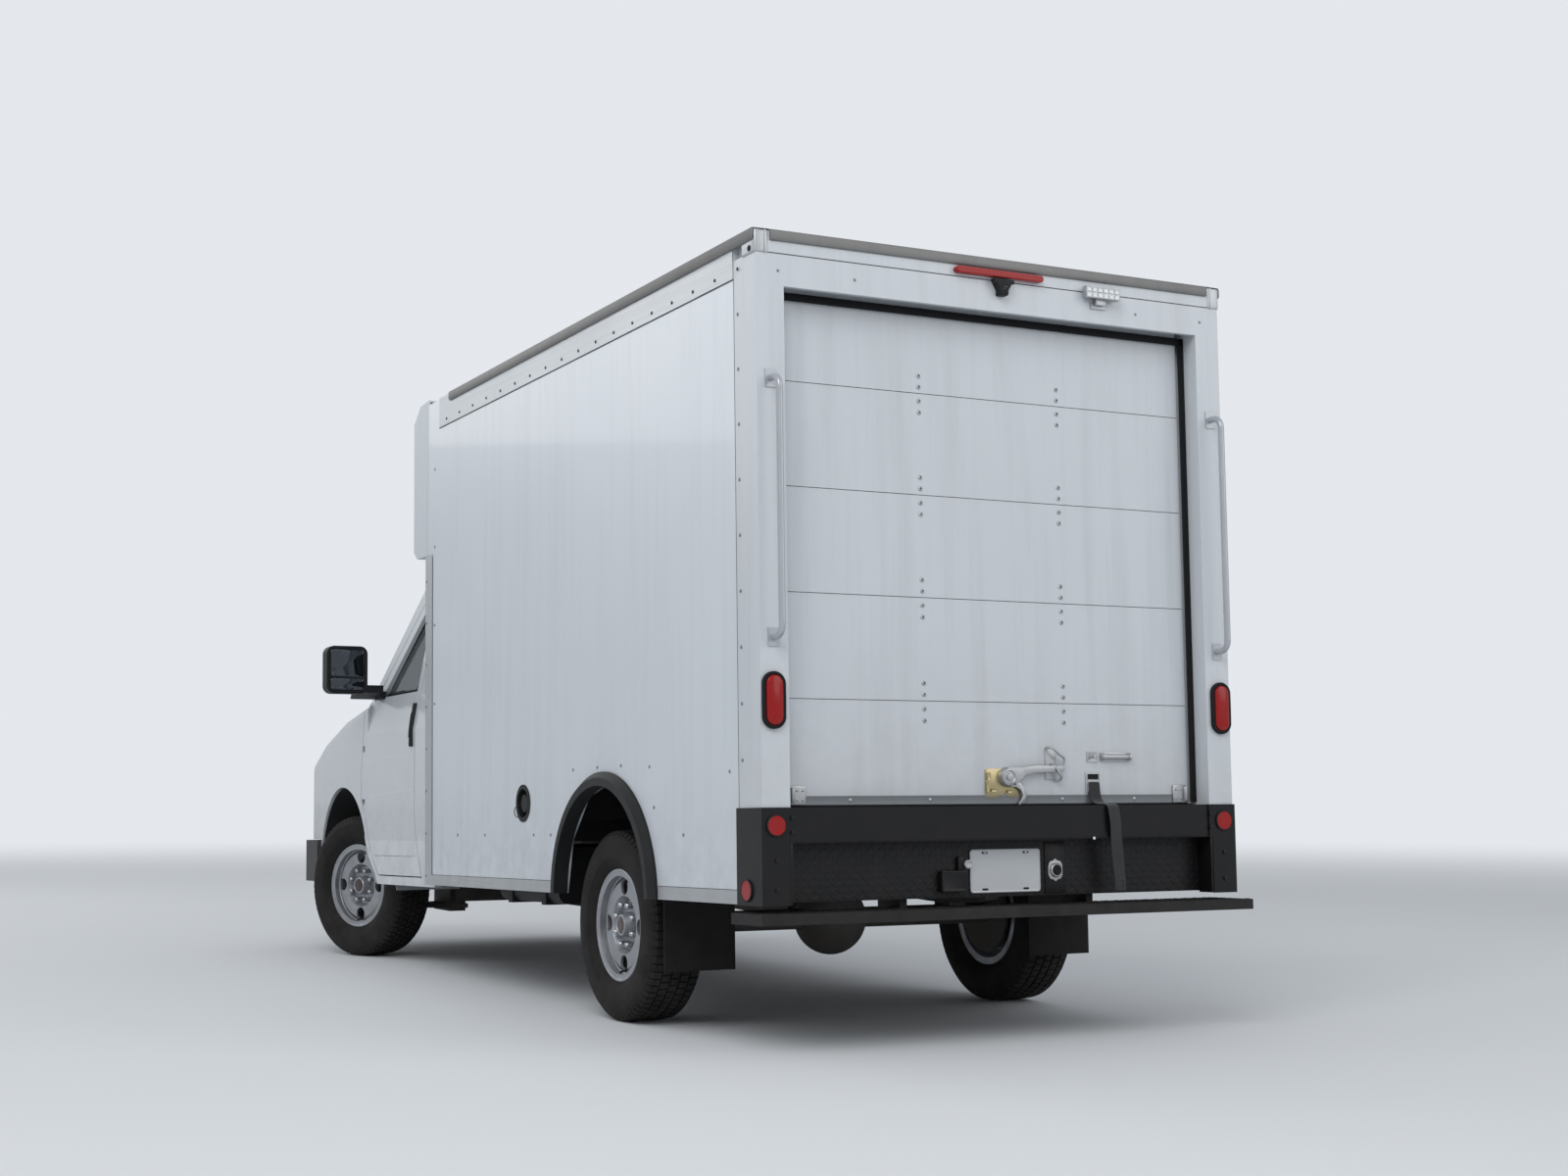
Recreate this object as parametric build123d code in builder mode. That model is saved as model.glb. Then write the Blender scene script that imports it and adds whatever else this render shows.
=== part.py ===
from build123d import *
import os
from math import cos, hypot, radians, sin, sqrt

# Box truck: a delivery body on a single-wheel van cutaway chassis. Millimetres.
# X runs forward from the rear axle, Y to the left and Z up from the ground.
# Sprung pieces are drawn level, and the stance then tips them nose-down about the rear axle.

os.makedirs("parts", exist_ok=True)

# Wheels, axles and stance
WHEELBASE = 3531
RAKE = 1.375                     # degrees, nose-down, as the empty truck stands
TYRE_RADIUS = 374                # loaded radius
TYRE_WIDTH = 245
TREAD_HALF = 92
TYRE_BULGE_RADIUS = 302
RIM_FLANGE_RADIUS = 220.5
RIM_BARREL_RADIUS = 205
RIM_BARREL_WALL = 12
RIM_HALF_WIDTH = 90
RIM_LIP = 5
BEAD_SEAT_HALF = 78
DISC_OFFSET = 28                 # mounting face, outboard of the wheel's middle
REAR_WHEEL_Y = 863
FRONT_WHEEL_Y = 870
KINGPIN_Y = FRONT_WHEEL_Y - 80
STEER_REST = 22                  # degrees to the left, as parked
LUG_COUNT = 8
LUG_CIRCLE = 165.1
LUG_FLATS = 22
HAND_HOLE_COUNT = 4
HAND_HOLE_DIAMETER = 64
HAND_HOLE_CIRCLE = 300
STUB_RADIUS = 30
ROTOR_RADIUS = 160
RUN_CLEARANCE = 0.3              # between curved faces that turn or seat on each other
PANEL_GAP = 6                    # round a door or hood

# Ends of the load body
BOX_REAR_X = -1336
BOX_FRONT_X = WHEELBASE - 1419

# Chassis frame
RAIL_Y = 430                     # outer face of each web
RAIL_FLANGE = 65
RAIL_WALL = 8
RAIL_HEIGHT = 160
RAIL_TOP_REAR = 700
RAIL_TOP_FRONT = 610
RAIL_REAR_X = BOX_REAR_X + 186
RAIL_FRONT_X = WHEELBASE + 719
RAIL_STEP_X = (WHEELBASE - 1971, WHEELBASE - 1571)   # where the rail steps down under the cab
SHAFT_RADIUS = 45
GEARBOX_X = (WHEELBASE - 881, WHEELBASE - 191)
GEARBOX_Z = 535
GEARBOX_RADIUS = 80
ENGINE_X = (GEARBOX_X[1] + RUN_CLEARANCE, WHEELBASE + 499)
ENGINE_HALF = 290
ENGINE_Z = (560, 1060)
ENGINE_MOUNT_X = (WHEELBASE + 109, WHEELBASE + 209)
GEARBOX_MOUNT_X = GEARBOX_X[0] + 70
AXLE_TUBE_RADIUS = 42
DIFF_RADIUS = 150
LEAF_Y = 590
LEAF_WIDTH = 65
LEAF_THICKNESS = 11
LEAF_COUNT = 4
LEAF_HALF_SPAN = 700
LEAF_EYE_Z = 560
LEAF_EYE_RADIUS = 28

# Load body
BOX_HALF = 1018
SKIRT_Z = 490
ROOF_Z = 2827
ROOF_CROWN = 14
WALL = 40
ROOF_WALL = 40
FLOOR_Z = 821
FLOOR_SHEET = 31
SILL_HEIGHT = 90
SILL_WIDTH = 50
SILL_PITCH = 380
POST_WIDTH = 111
POST_DEPTH = 167
POST_WALL = 20
HEADER_Z = (ROOF_Z - 192, ROOF_Z - 76)
ROOF_RAIL_Z = ROOF_Z - 140
ROOF_RAIL_FRONT_X = BOX_FRONT_X - 162
TRIM = 4
REAR_RAIL_HALF = BOX_HALF - 21
ARCH_Z = 478                     # centre of the rear arches
ARCH_RADIUS = 448
ARCH_SIDES = 12
FLARE_BAND = 52
FLARE_STAND = 34
WHEEL_BOX_Z = 965
WHEEL_BOX_IN_Y = 690
WHEEL_BOX_SHEET = 5
CORNER_TRIM_REACH = 38
CAP_Z = 2086                     # underside of the nose cap

# Roll-up rear door
DOOR_PANELS = 5
DOOR_PANEL = 25
DOOR_RECESS = 90
DOOR_BOTTOM_Z = FLOOR_Z + 5
DOOR_TOP_EDGE = HEADER_Z[0] + 61
DOOR_PANEL_PITCH = (DOOR_TOP_EDGE - DOOR_BOTTOM_Z) / DOOR_PANELS
DOOR_SIDE_GAP = 29               # from each post to the door's edge
DOOR_HALF = BOX_HALF - POST_WIDTH - DOOR_SIDE_GAP
DOOR_SEAM = 0.4
TRACK_RADIUS = 200
BEND_DROP = 176                  # from the closed door's top edge down to the tracks' bend
TRACK_BEND_Z = DOOR_TOP_EDGE - BEND_DROP
TRACK_FRONT_X = BOX_REAR_X + 2236
TRACK_SECTION = 46
TRACK_WALL = 3
TRACK_STAY_Z = (TRACK_BEND_Z + TRACK_RADIUS - 20, TRACK_BEND_Z + TRACK_RADIUS + 23)
TRACK_DEPTH = 25
ROLLER_RADIUS = 19
HINGE_INSET = 58
HINGE_Y = (HINGE_INSET - DOOR_HALF, -305, 305, DOOR_HALF - HINGE_INSET)

# Rear bumper and step
BEAM_X = (BOX_REAR_X - 1, BOX_REAR_X + 60)
BEAM_Z = (FLOOR_Z - 123, FLOOR_Z)
BEAM_WALL = 7
BRACKET_HALF = BOX_HALF + 1
BRACKET_IN_Y = BOX_HALF - 105
BRACKET_X = (BOX_REAR_X - 7, BOX_REAR_X + 181)
BRACKET_BOTTOM_Z = SKIRT_Z - 3
BRACKET_SKIN = 5
STEP_REAR_X = BOX_REAR_X - 60
STEP_FRONT_X = BOX_REAR_X + 166
STEP_HALF = BOX_HALF + 36
STEP_Z = (424, 465)
STEP_WALL = 5
KICK_X = BOX_REAR_X + 74
KICK_SHEET = 5
REFLECTOR_RADIUS = 38

# Cab
CAB_REAR_X = BOX_FRONT_X + 3
SILL_Z = 476
CAB_SILL_HALF = 984
CAB_HALF = 1006
BELT_HALF = 972
BELT_Z = 1427
CAB_RAIL_HALF = 868
CAB_RAIL_Z = 1962
CAB_ROOF_HALF = 780
CAB_ROOF_Z = 2026
CAB_ROOF_TOP = 2060
SHOULDER_Z = (700, 1250)         # the widest band of the cab's sides
CAB_WALL = 55
GLASS = 6
COWL_X = WHEELBASE - 91
COWL_Z = 1390
HEADER_X = COWL_X - 677
HEADER_RISE = 600                # height of the windshield's slope from cowl to header
GLASS_BOW = 223                  # how far its sides trail its middle
GLASS_HALF = 950
GLASS_FOOT_HALF = 905
GLASS_HEAD_HALF = 800
NOSE_X = WHEELBASE + 861
CLIP_WALL = 28
FRONT_ARCH_X = WHEELBASE + 49
FRONT_ARCH_Z = 528
FRONT_ARCH_RADIUS = 457
ARCH_TAIL = ((WHEELBASE - 397, 628), (WHEELBASE - 490, 528), (WHEELBASE - 531, 440))
ARCH_LIP = 60                    # strip of fender between the arch and the door
WHEELHOUSE_IN_Y = 536
WHEELHOUSE_SHEET = 4
DOOR_BELT_X = WHEELBASE - 366
DOOR_FRONT_X = WHEELBASE - 291
DOOR_FRONT_Z = 1040
DOOR_REAR_X = CAB_REAR_X + 247
DOOR_LOW_Z = 525
DOOR_TOP_Z = 1950
WINDOW_BORDER = 58
HINGE_X = WHEELBASE - 385
HINGE_Y_OUT = CAB_HALF - 6
HINGE_LEVELS = (900, 1180)       # middles of each door's two hinges
HINGE_PIN_RADIUS = 4.5
HINGE_PIN_HALF = 30
HINGE_ARM_HALF = (4, 15)         # half thickness, half height
DOOR_IN_Y = 916                  # inner face of the door's front top corner
DOOR_CORNER_X = DOOR_BELT_X - 75
DOOR_CORNER_Z = 1300
HOOD_REAR_X = WHEELBASE - 39
HOOD_FRONT_X = WHEELBASE + 791
HOOD_HALF = (800, 690)           # at its rear and front edges
COWL_GAP = 32
GRILLE_HALF = 545
GRILLE_Z = (742, 1000)
GRILLE_BARS = 4
LAMP_Y = (590, 862)
LAMP_Z = (862, 1052)
BUMPER_X = WHEELBASE + 925
BUMPER_Z = (470, 700)
BUMPER_REAR_X = WHEELBASE + 515
BUMPER_WALL = 42
CAB_FLOOR_Z = (622, 652)
FIREWALL_X = WHEELBASE - 231
FIREWALL = 12
SEAT_Y = 470
MIRROR_X = WHEELBASE - 571
MIRROR_Y = (1075, 1290)
MIRROR_Z = (1455, 1700)
MIRROR_DEPTH = 110

# Stance: the middle of the whole length is the origin
CENTRE_X = (STEP_REAR_X + BUMPER_X) / 2
level = Location((-CENTRE_X, 0, 0))
tip = Location((0, 0, TYRE_RADIUS)) * Location((0, 0, 0), (0, RAKE, 0)) * Location((0, 0, -TYRE_RADIUS))
stance = level * tip


def side_plane(y):
    """Side view: local X is forward, local Y is up, and extrusions run to the right."""
    return Plane(origin=(0, y, 0), x_dir=(1, 0, 0), z_dir=(0, -1, 0))


def cross_plane(x):
    """Cross-section: local X is left, local Y is up, and extrusions run forward."""
    return Plane(origin=(x, 0, 0), x_dir=(0, 1, 0), z_dir=(1, 0, 0))


def cross_slice(y):
    """Slice across a wheel's axle: local X is forward, and extrusions run to the left."""
    return Plane(origin=(0, y, 0), x_dir=(1, 0, 0), z_dir=(0, 1, 0))


def block(x, y, z, mode=Mode.ADD):
    """Box given by its low and high limit along each axis."""
    with Locations(((x[0] + x[1]) / 2, (y[0] + y[1]) / 2, (z[0] + z[1]) / 2)):
        Box(x[1] - x[0], y[1] - y[0], z[1] - z[0], mode=mode)


def rod(start, end, radius, mode=Mode.ADD):
    """Round bar between two points."""
    run = Vector(*end) - Vector(*start)
    with Locations(Plane(origin=start, z_dir=run)):
        Cylinder(radius, run.length, align=(Align.CENTER, Align.CENTER, Align.MIN), mode=mode)


def hand_in(builder, label, place=stance):
    """Put a finished piece where the truck stands and write it."""
    solid = builder.part.moved(place)
    solid.label = label
    export_step(solid, f"parts/{label}.step")


# Chassis frame: two channel rails that step down under the cab, with cross members
def rail_outline(inset):
    """Side outline of a rail, drawn in by the wall on every side."""
    rear, front = RAIL_REAR_X - inset, RAIL_FRONT_X + inset
    low_rear, low_front = RAIL_TOP_REAR - RAIL_HEIGHT + inset, RAIL_TOP_FRONT - RAIL_HEIGHT + inset
    step_rear, step_front = RAIL_STEP_X
    return (
        (rear, low_rear),
        (step_rear, low_rear),
        (step_front, low_front),
        (front, low_front),
        (front, RAIL_TOP_FRONT - inset),
        (step_front, RAIL_TOP_FRONT - inset),
        (step_rear, RAIL_TOP_REAR - inset),
        (rear, RAIL_TOP_REAR - inset),
    )


# Cross members: X of the middle, low Z, high Z
CROSS_MEMBERS = (
    (RAIL_REAR_X + 50, 560, 690),
    (-640, 600, 690),
    (640, 600, 690),
    (RAIL_STEP_X[0] - 160, 600, 690),
    (GEARBOX_MOUNT_X, 438, 450),
    (RAIL_FRONT_X - 70, 470, 590),
)
CROSS_HALF_LENGTH = 35

with BuildPart() as frame:
    with BuildSketch(side_plane(RAIL_Y)):
        Polygon(*rail_outline(0), align=None)
    extrude(amount=RAIL_FLANGE)
    with BuildSketch(side_plane(RAIL_Y - RAIL_WALL)):
        Polygon(*rail_outline(RAIL_WALL), align=None)
    extrude(amount=RAIL_FLANGE, mode=Mode.SUBTRACT)
    mirror(about=Plane.XZ)
    for x, low, high in CROSS_MEMBERS:
        inside = RAIL_Y - RAIL_WALL
        block((x - CROSS_HALF_LENGTH, x + CROSS_HALF_LENGTH), (-inside, inside), (low, high))
hand_in(frame, "frame")

# Engine: one plain block between the rails
with BuildPart() as engine:
    block(ENGINE_X, (-ENGINE_HALF, ENGINE_HALF), ENGINE_Z)
    reach = RAIL_Y - RAIL_FLANGE - RUN_CLEARANCE
    block(ENGINE_MOUNT_X, (-reach, reach), (RAIL_TOP_FRONT - 30, RAIL_TOP_FRONT))
hand_in(engine, "engine")

# Gearbox and propeller shaft, from the engine's back to the rear axle's pinion
PINION_X = 210
PINION_Z = TYRE_RADIUS + 20
YOKE_RADIUS = 58
YOKE_LENGTH = 90
with BuildPart() as driveline:
    with BuildSketch(cross_plane(GEARBOX_X[0])):
        with Locations((0, GEARBOX_Z)):
            Circle(GEARBOX_RADIUS * 0.7)
    with BuildSketch(cross_plane(GEARBOX_X[1])):
        with Locations((0, GEARBOX_Z)):
            Circle(GEARBOX_RADIUS)
    loft(ruled=True)
    shaft_run = Vector(GEARBOX_X[0] - PINION_X, 0, GEARBOX_Z - PINION_Z)
    pinion = Vector(PINION_X, 0, PINION_Z)
    rod(pinion, pinion + shaft_run, SHAFT_RADIUS)
    for along in (0.02, 0.93):
        yoke = pinion + shaft_run * along
        rod(yoke, yoke + shaft_run.normalized() * YOKE_LENGTH, YOKE_RADIUS)
    half = CROSS_HALF_LENGTH - 5
    block((GEARBOX_MOUNT_X - half, GEARBOX_MOUNT_X + half), (-60, 60), (450 + RUN_CLEARANCE, GEARBOX_Z - 40))
hand_in(driveline, "driveline")


# Rear axle with its leaf springs
def leaf(layer):
    """One leaf of the left spring: a flat bow under the eyes, shorter with each layer."""
    half = LEAF_HALF_SPAN * (1 - layer / (LEAF_COUNT + 1.5))
    top = LEAF_SEAT_Z - layer * LEAF_THICKNESS
    drop = LEAF_EYE_Z - LEAF_SEAT_Z
    end = top + drop * (half / LEAF_HALF_SPAN) ** 2
    with BuildPart() as bow:
        with BuildSketch(side_plane(LEAF_Y + LEAF_WIDTH / 2)):
            with BuildLine():
                ThreePointArc((-half, end), (0, top), (half, end))
                Line((half, end), (half, end - LEAF_THICKNESS))
                low_end, low_middle = end - LEAF_THICKNESS, top - LEAF_THICKNESS
                ThreePointArc((half, low_end), (0, low_middle), (-half, low_end))
                Line((-half, end - LEAF_THICKNESS), (-half, end))
            make_face()
        extrude(amount=LEAF_WIDTH)
    return bow.part


LEAF_SEAT_Z = TYRE_RADIUS + AXLE_TUBE_RADIUS + LEAF_COUNT * LEAF_THICKNESS + 8
HANGER_X = (LEAF_HALF_SPAN, -LEAF_HALF_SPAN)
HANGER_WALL = 10
BACKPLATE_RADIUS = 165
with BuildPart() as rear_axle:
    rod((0, -REAR_WHEEL_Y + 95, TYRE_RADIUS), (0, REAR_WHEEL_Y - 95, TYRE_RADIUS), AXLE_TUBE_RADIUS)
    rod((0, -REAR_WHEEL_Y - 20, TYRE_RADIUS), (0, REAR_WHEEL_Y + 20, TYRE_RADIUS), STUB_RADIUS)
    with Locations((0, 0, TYRE_RADIUS)):
        Sphere(DIFF_RADIUS)
    snout_z = TYRE_RADIUS + (PINION_Z - TYRE_RADIUS) * 0.94
    rod((0, 0, TYRE_RADIUS), (PINION_X - 12, 0, snout_z), SHAFT_RADIUS + 20)
    for layer in range(LEAF_COUNT):
        add(leaf(layer))
    block((-60, 60), (LEAF_Y - 40, LEAF_Y + 40), (TYRE_RADIUS, LEAF_SEAT_Z + 6))
    for x in HANGER_X:
        eye_foot, eye_head = (x, RAIL_Y + RUN_CLEARANCE, LEAF_EYE_Z), (x, LEAF_Y + LEAF_WIDTH / 2, LEAF_EYE_Z)
        rod(eye_foot, eye_head, LEAF_EYE_RADIUS)
        block(
            (x - 40, x + 40),
            (RAIL_Y + RUN_CLEARANCE, RAIL_Y + RUN_CLEARANCE + HANGER_WALL),
            (LEAF_EYE_Z - 40, RAIL_TOP_REAR - 10),
        )
    rod((0, REAR_WHEEL_Y - 100, TYRE_RADIUS), (0, REAR_WHEEL_Y - 88, TYRE_RADIUS), BACKPLATE_RADIUS)
    mirror(about=Plane.XZ)
hand_in(rear_axle, "rear_axle")

# Front suspension: a subframe under the rails, with an upper and a lower arm to each kingpin
ARM_WALL = 24
LOWER_ARM_Z = TYRE_RADIUS - 118
UPPER_ARM_Z = TYRE_RADIUS + 118
ARM_SPREAD = 170
ARM_TIP_HALF = 34
ARM_NECK_Y = 560
STUD_RADIUS = 10
SUBFRAME_X = (WHEELBASE - 151, WHEELBASE + 149)
with BuildPart() as subframe:
    rail_bottom = RAIL_TOP_FRONT - RAIL_HEIGHT
    block(SUBFRAME_X, (-RAIL_Y, RAIL_Y), (rail_bottom - 90, rail_bottom - RUN_CLEARANCE))
    opening = (SUBFRAME_X[0] + 60, SUBFRAME_X[1] - 60)
    block(opening, (-ENGINE_HALF, ENGINE_HALF), (440, 475), mode=Mode.SUBTRACT)
with BuildPart() as front_suspension:
    add(subframe.part.moved(tip))
    for middle, root_y in ((LOWER_ARM_Z, RAIL_Y - 70), (UPPER_ARM_Z, RAIL_Y + 4)):
        with BuildSketch(Plane.XY.offset(middle - ARM_WALL / 2)):
            Polygon(
                (WHEELBASE - ARM_SPREAD, root_y),
                (WHEELBASE - ARM_TIP_HALF * 2, ARM_NECK_Y),
                (WHEELBASE - ARM_TIP_HALF, KINGPIN_Y),
                (WHEELBASE + ARM_TIP_HALF, KINGPIN_Y),
                (WHEELBASE + ARM_TIP_HALF * 2, ARM_NECK_Y),
                (WHEELBASE + ARM_SPREAD, root_y),
                align=None,
            )
            with Locations((WHEELBASE, KINGPIN_Y)):
                Circle(ARM_TIP_HALF)
                Circle(STUD_RADIUS + RUN_CLEARANCE, mode=Mode.SUBTRACT)
        extrude(amount=ARM_WALL)
    pivot_z = (LOWER_ARM_Z - 30, LOWER_ARM_Z + 90)
    block((WHEELBASE - 130, WHEELBASE + 130), (RAIL_Y - 70, RAIL_Y + 20), pivot_z)
    block((WHEELBASE - 130, WHEELBASE + 130), (RAIL_Y + 2, RAIL_Y + 20), (LOWER_ARM_Z, UPPER_ARM_Z + 20))
    mirror(about=Plane.XZ)
hand_in(front_suspension, "front_suspension", level)


# Wheels: the tyre and its steel disc wheel with the hub and brake rotor, their outer side to the left
def tyre():
    """Tyre as a turned ring: bore, bulging sides and flat tread."""
    bore = (RIM_BARREL_RADIUS + RUN_CLEARANCE, BEAD_SEAT_HALF - RUN_CLEARANCE * 2)
    half = TYRE_WIDTH / 2
    with BuildPart() as ring:
        with BuildSketch(Plane.XY):
            Polygon(
                (bore[0], -bore[1]),
                (TYRE_BULGE_RADIUS, -half),
                (TYRE_RADIUS, -TREAD_HALF),
                (TYRE_RADIUS, TREAD_HALF),
                (TYRE_BULGE_RADIUS, half),
                (bore[0], bore[1]),
                align=None,
            )
        revolve(axis=Axis.Y)
    return ring


def rim():
    """Wheel disc, barrel and flanges in one, with its lugs, cap, hub and rotor."""
    barrel_in = RIM_BARREL_RADIUS - RIM_BARREL_WALL
    flange = RIM_HALF_WIDTH
    dish = DISC_OFFSET
    with BuildPart() as wheel:
        with BuildSketch(Plane.XY):
            Polygon(
                (barrel_in, -flange),
                (RIM_FLANGE_RADIUS, -flange - 2),
                (RIM_FLANGE_RADIUS, -flange + RIM_LIP),
                (RIM_BARREL_RADIUS, -BEAD_SEAT_HALF),
                (RIM_BARREL_RADIUS, BEAD_SEAT_HALF),
                (RIM_FLANGE_RADIUS, flange - RIM_LIP),
                (RIM_FLANGE_RADIUS, flange + 2),
                (barrel_in, flange),
                align=None,
            )
        revolve(axis=Axis.Y)
        with BuildSketch(Plane.XY):
            Polygon(
                (STUB_RADIUS + RUN_CLEARANCE, dish),
                (LUG_CIRCLE / 2 + 22, dish),
                (LUG_CIRCLE / 2 + 38, dish + 32),
                (LUG_CIRCLE / 2 + 84, dish + 32),
                (barrel_in, dish + 8),
                (barrel_in, dish + 20),
                (LUG_CIRCLE / 2 + 86, dish + 42),
                (LUG_CIRCLE / 2 + 32, dish + 42),
                (LUG_CIRCLE / 2 + 16, dish + 10),
                (STUB_RADIUS + RUN_CLEARANCE, dish + 10),
                align=None,
            )
        revolve(axis=Axis.Y)
        disc_face = cross_slice(dish)
        with BuildSketch(disc_face):
            with PolarLocations(HAND_HOLE_CIRCLE / 2, HAND_HOLE_COUNT):
                Circle(HAND_HOLE_DIAMETER / 2)
        extrude(amount=60, mode=Mode.SUBTRACT)
        with BuildSketch(disc_face.offset(8)):
            with PolarLocations(LUG_CIRCLE / 2, LUG_COUNT, start_angle=22.5):
                RegularPolygon(LUG_FLATS / 2, 6, major_radius=False)
        extrude(amount=30)
        with BuildSketch(disc_face.offset(10)):
            Circle(52)
        extrude(amount=46, taper=12)
        with BuildSketch(Plane.XY):
            Polygon(
                (STUB_RADIUS + RUN_CLEARANCE, -48),
                (64, -48),
                (64, -30),
                (ROTOR_RADIUS, -30),
                (ROTOR_RADIUS, -4),
                (70, -4),
                (70, dish),
                (STUB_RADIUS + RUN_CLEARANCE, dish),
                align=None,
            )
        revolve(axis=Axis.Y)
    return wheel


def knuckle():
    """Steering knuckle about the wheel's middle: upright, stub axle, studs and steering arm."""
    pin_y = KINGPIN_Y - FRONT_WHEEL_Y
    reach = (UPPER_ARM_Z - LOWER_ARM_Z - ARM_WALL) / 2 - RUN_CLEARANCE
    with BuildPart() as upright:
        block((-30, 30), (pin_y - 22, pin_y + 22), (-reach, reach))
        rod((0, pin_y, 0), (0, 22, 0), STUB_RADIUS)
        rod((0, pin_y - 10, 0), (0, -56, 0), 52)
        rod((0, pin_y, -reach - ARM_WALL), (0, pin_y, reach + ARM_WALL), STUD_RADIUS)
        with BuildSketch(Plane.XY.offset(-62)):
            Polygon((20, pin_y + 10), (20, pin_y - 22), (-150, pin_y - 62), (-158, pin_y - 38), align=None)
        extrude(amount=18)
        block((74, 150), (-66, -34), (-60, 60))
        block((20, 80), (pin_y - 6, -54), (-24, 24))
    return upright


# Wheel stations: name and place; the front ones stand steered about their kingpins
WHEEL_STATIONS = {
    "rear_left": Location((0, REAR_WHEEL_Y, TYRE_RADIUS)),
    "rear_right": Location((0, -REAR_WHEEL_Y, TYRE_RADIUS), (0, 0, 180)),
}
KINGPINS = {"left": (KINGPIN_Y, 0), "right": (-KINGPIN_Y, 180)}
for side, (kingpin_y, facing) in KINGPINS.items():
    steered = Location((WHEELBASE, kingpin_y, TYRE_RADIUS), (0, 0, STEER_REST + facing))
    WHEEL_STATIONS["front_" + side] = steered * Location((0, FRONT_WHEEL_Y - KINGPIN_Y, 0))

one_tyre = tyre()
one_rim = rim()
for station, place in WHEEL_STATIONS.items():
    hand_in(one_tyre, "tyre_" + station, level * place)
    hand_in(one_rim, "rim_" + station, level * place)

left_knuckle = knuckle()
with BuildPart() as right_knuckle:
    add(left_knuckle.part)
    mirror(about=Plane.YZ, mode=Mode.REPLACE)
hand_in(left_knuckle, "knuckle_left", level * WHEEL_STATIONS["front_left"])
hand_in(right_knuckle, "knuckle_right", level * WHEEL_STATIONS["front_right"])

# Fuel tank hung outside the left rail, with its straps, and the filler cup in the body's side
TANK_X = (BOX_FRONT_X - 1312, BOX_FRONT_X - 612)
TANK_Y = (470, 880)
TANK_Z = (430, 672)
STRAP_X = (TANK_X[0] + 160, TANK_X[1] - 140)
FILLER_X = TANK_X[0] + 62
FILLER_Z = 864
FILLER_RADIUS = 80
FILLER_PIPE_RADIUS = 20
FILLER_PIPE_Y = 946
with BuildPart() as fuel_tank:
    block(TANK_X, TANK_Y, TANK_Z)
    fillet(fuel_tank.edges().filter_by(Axis.X), radius=45)
    for x in STRAP_X:
        block((x - 25, x + 25), (RAIL_Y + RUN_CLEARANCE, TANK_Y[1] + 6), (TANK_Z[1], TANK_Z[1] + 10))
        block((x - 25, x + 25), (TANK_Y[0] - 6, TANK_Y[1] + 6), (TANK_Z[0] - 6, TANK_Z[1] + 4))
    for start, end in (
        ((TANK_Y[1] - 60, TANK_Z[1] - 50), (FILLER_PIPE_Y, TANK_Z[1] + 60)),
        ((FILLER_PIPE_Y, TANK_Z[1] + 60), (FILLER_PIPE_Y, FILLER_Z - 10)),
        ((FILLER_PIPE_Y, FILLER_Z - 10), (BOX_HALF - WALL - RUN_CLEARANCE, FILLER_Z - 10)),
    ):
        rod((FILLER_X, *start), (FILLER_X, *end), FILLER_PIPE_RADIUS)
    for bend in ((FILLER_PIPE_Y, TANK_Z[1] + 60), (FILLER_PIPE_Y, FILLER_Z - 10)):
        with Locations((FILLER_X, *bend)):
            Sphere(FILLER_PIPE_RADIUS + 3)
hand_in(fuel_tank, "fuel_tank")

with BuildPart() as fuel_filler:
    with BuildSketch(side_plane(BOX_HALF + TRIM)):
        with Locations((FILLER_X, FILLER_Z)):
            Circle(FILLER_RADIUS)
    extrude(amount=TRIM - RUN_CLEARANCE)
    with BuildSketch(side_plane(BOX_HALF + TRIM)):
        with Locations((FILLER_X, FILLER_Z)):
            Circle(FILLER_RADIUS - 12)
    extrude(amount=TRIM + WALL - RUN_CLEARANCE)
    with BuildSketch(side_plane(BOX_HALF + TRIM)):
        with Locations((FILLER_X, FILLER_Z)):
            Circle(FILLER_RADIUS - 18)
    extrude(amount=WALL - 4, mode=Mode.SUBTRACT)
    rod((FILLER_X, BOX_HALF - WALL + 5, FILLER_Z), (FILLER_X, BOX_HALF - 4, FILLER_Z), 38)
hand_in(fuel_filler, "fuel_filler")

# Exhaust on the right: silencer, and a tail pipe over the axle
SILENCER_X = (BOX_FRONT_X - 862, BOX_FRONT_X - 212)
EXHAUST_Y = -640
EXHAUST_Z = 520
PIPE_RADIUS = 32
with BuildPart() as exhaust:
    with BuildSketch(cross_plane(SILENCER_X[0])):
        with Locations((EXHAUST_Y, EXHAUST_Z)):
            SlotOverall(300, 180)
    extrude(amount=SILENCER_X[1] - SILENCER_X[0])
    rod((SILENCER_X[1], EXHAUST_Y, EXHAUST_Z), (SILENCER_X[1] + 720, EXHAUST_Y, EXHAUST_Z), PIPE_RADIUS)
    rod((SILENCER_X[0], EXHAUST_Y, EXHAUST_Z), (SILENCER_X[0] - 390, EXHAUST_Y, EXHAUST_Z), PIPE_RADIUS)
    hanger = SILENCER_X[0] + 290
    block((hanger, hanger + 40), (EXHAUST_Y - 50, -RAIL_Y - RUN_CLEARANCE), (EXHAUST_Z + 80, EXHAUST_Z + 92))
hand_in(exhaust, "exhaust")


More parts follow.
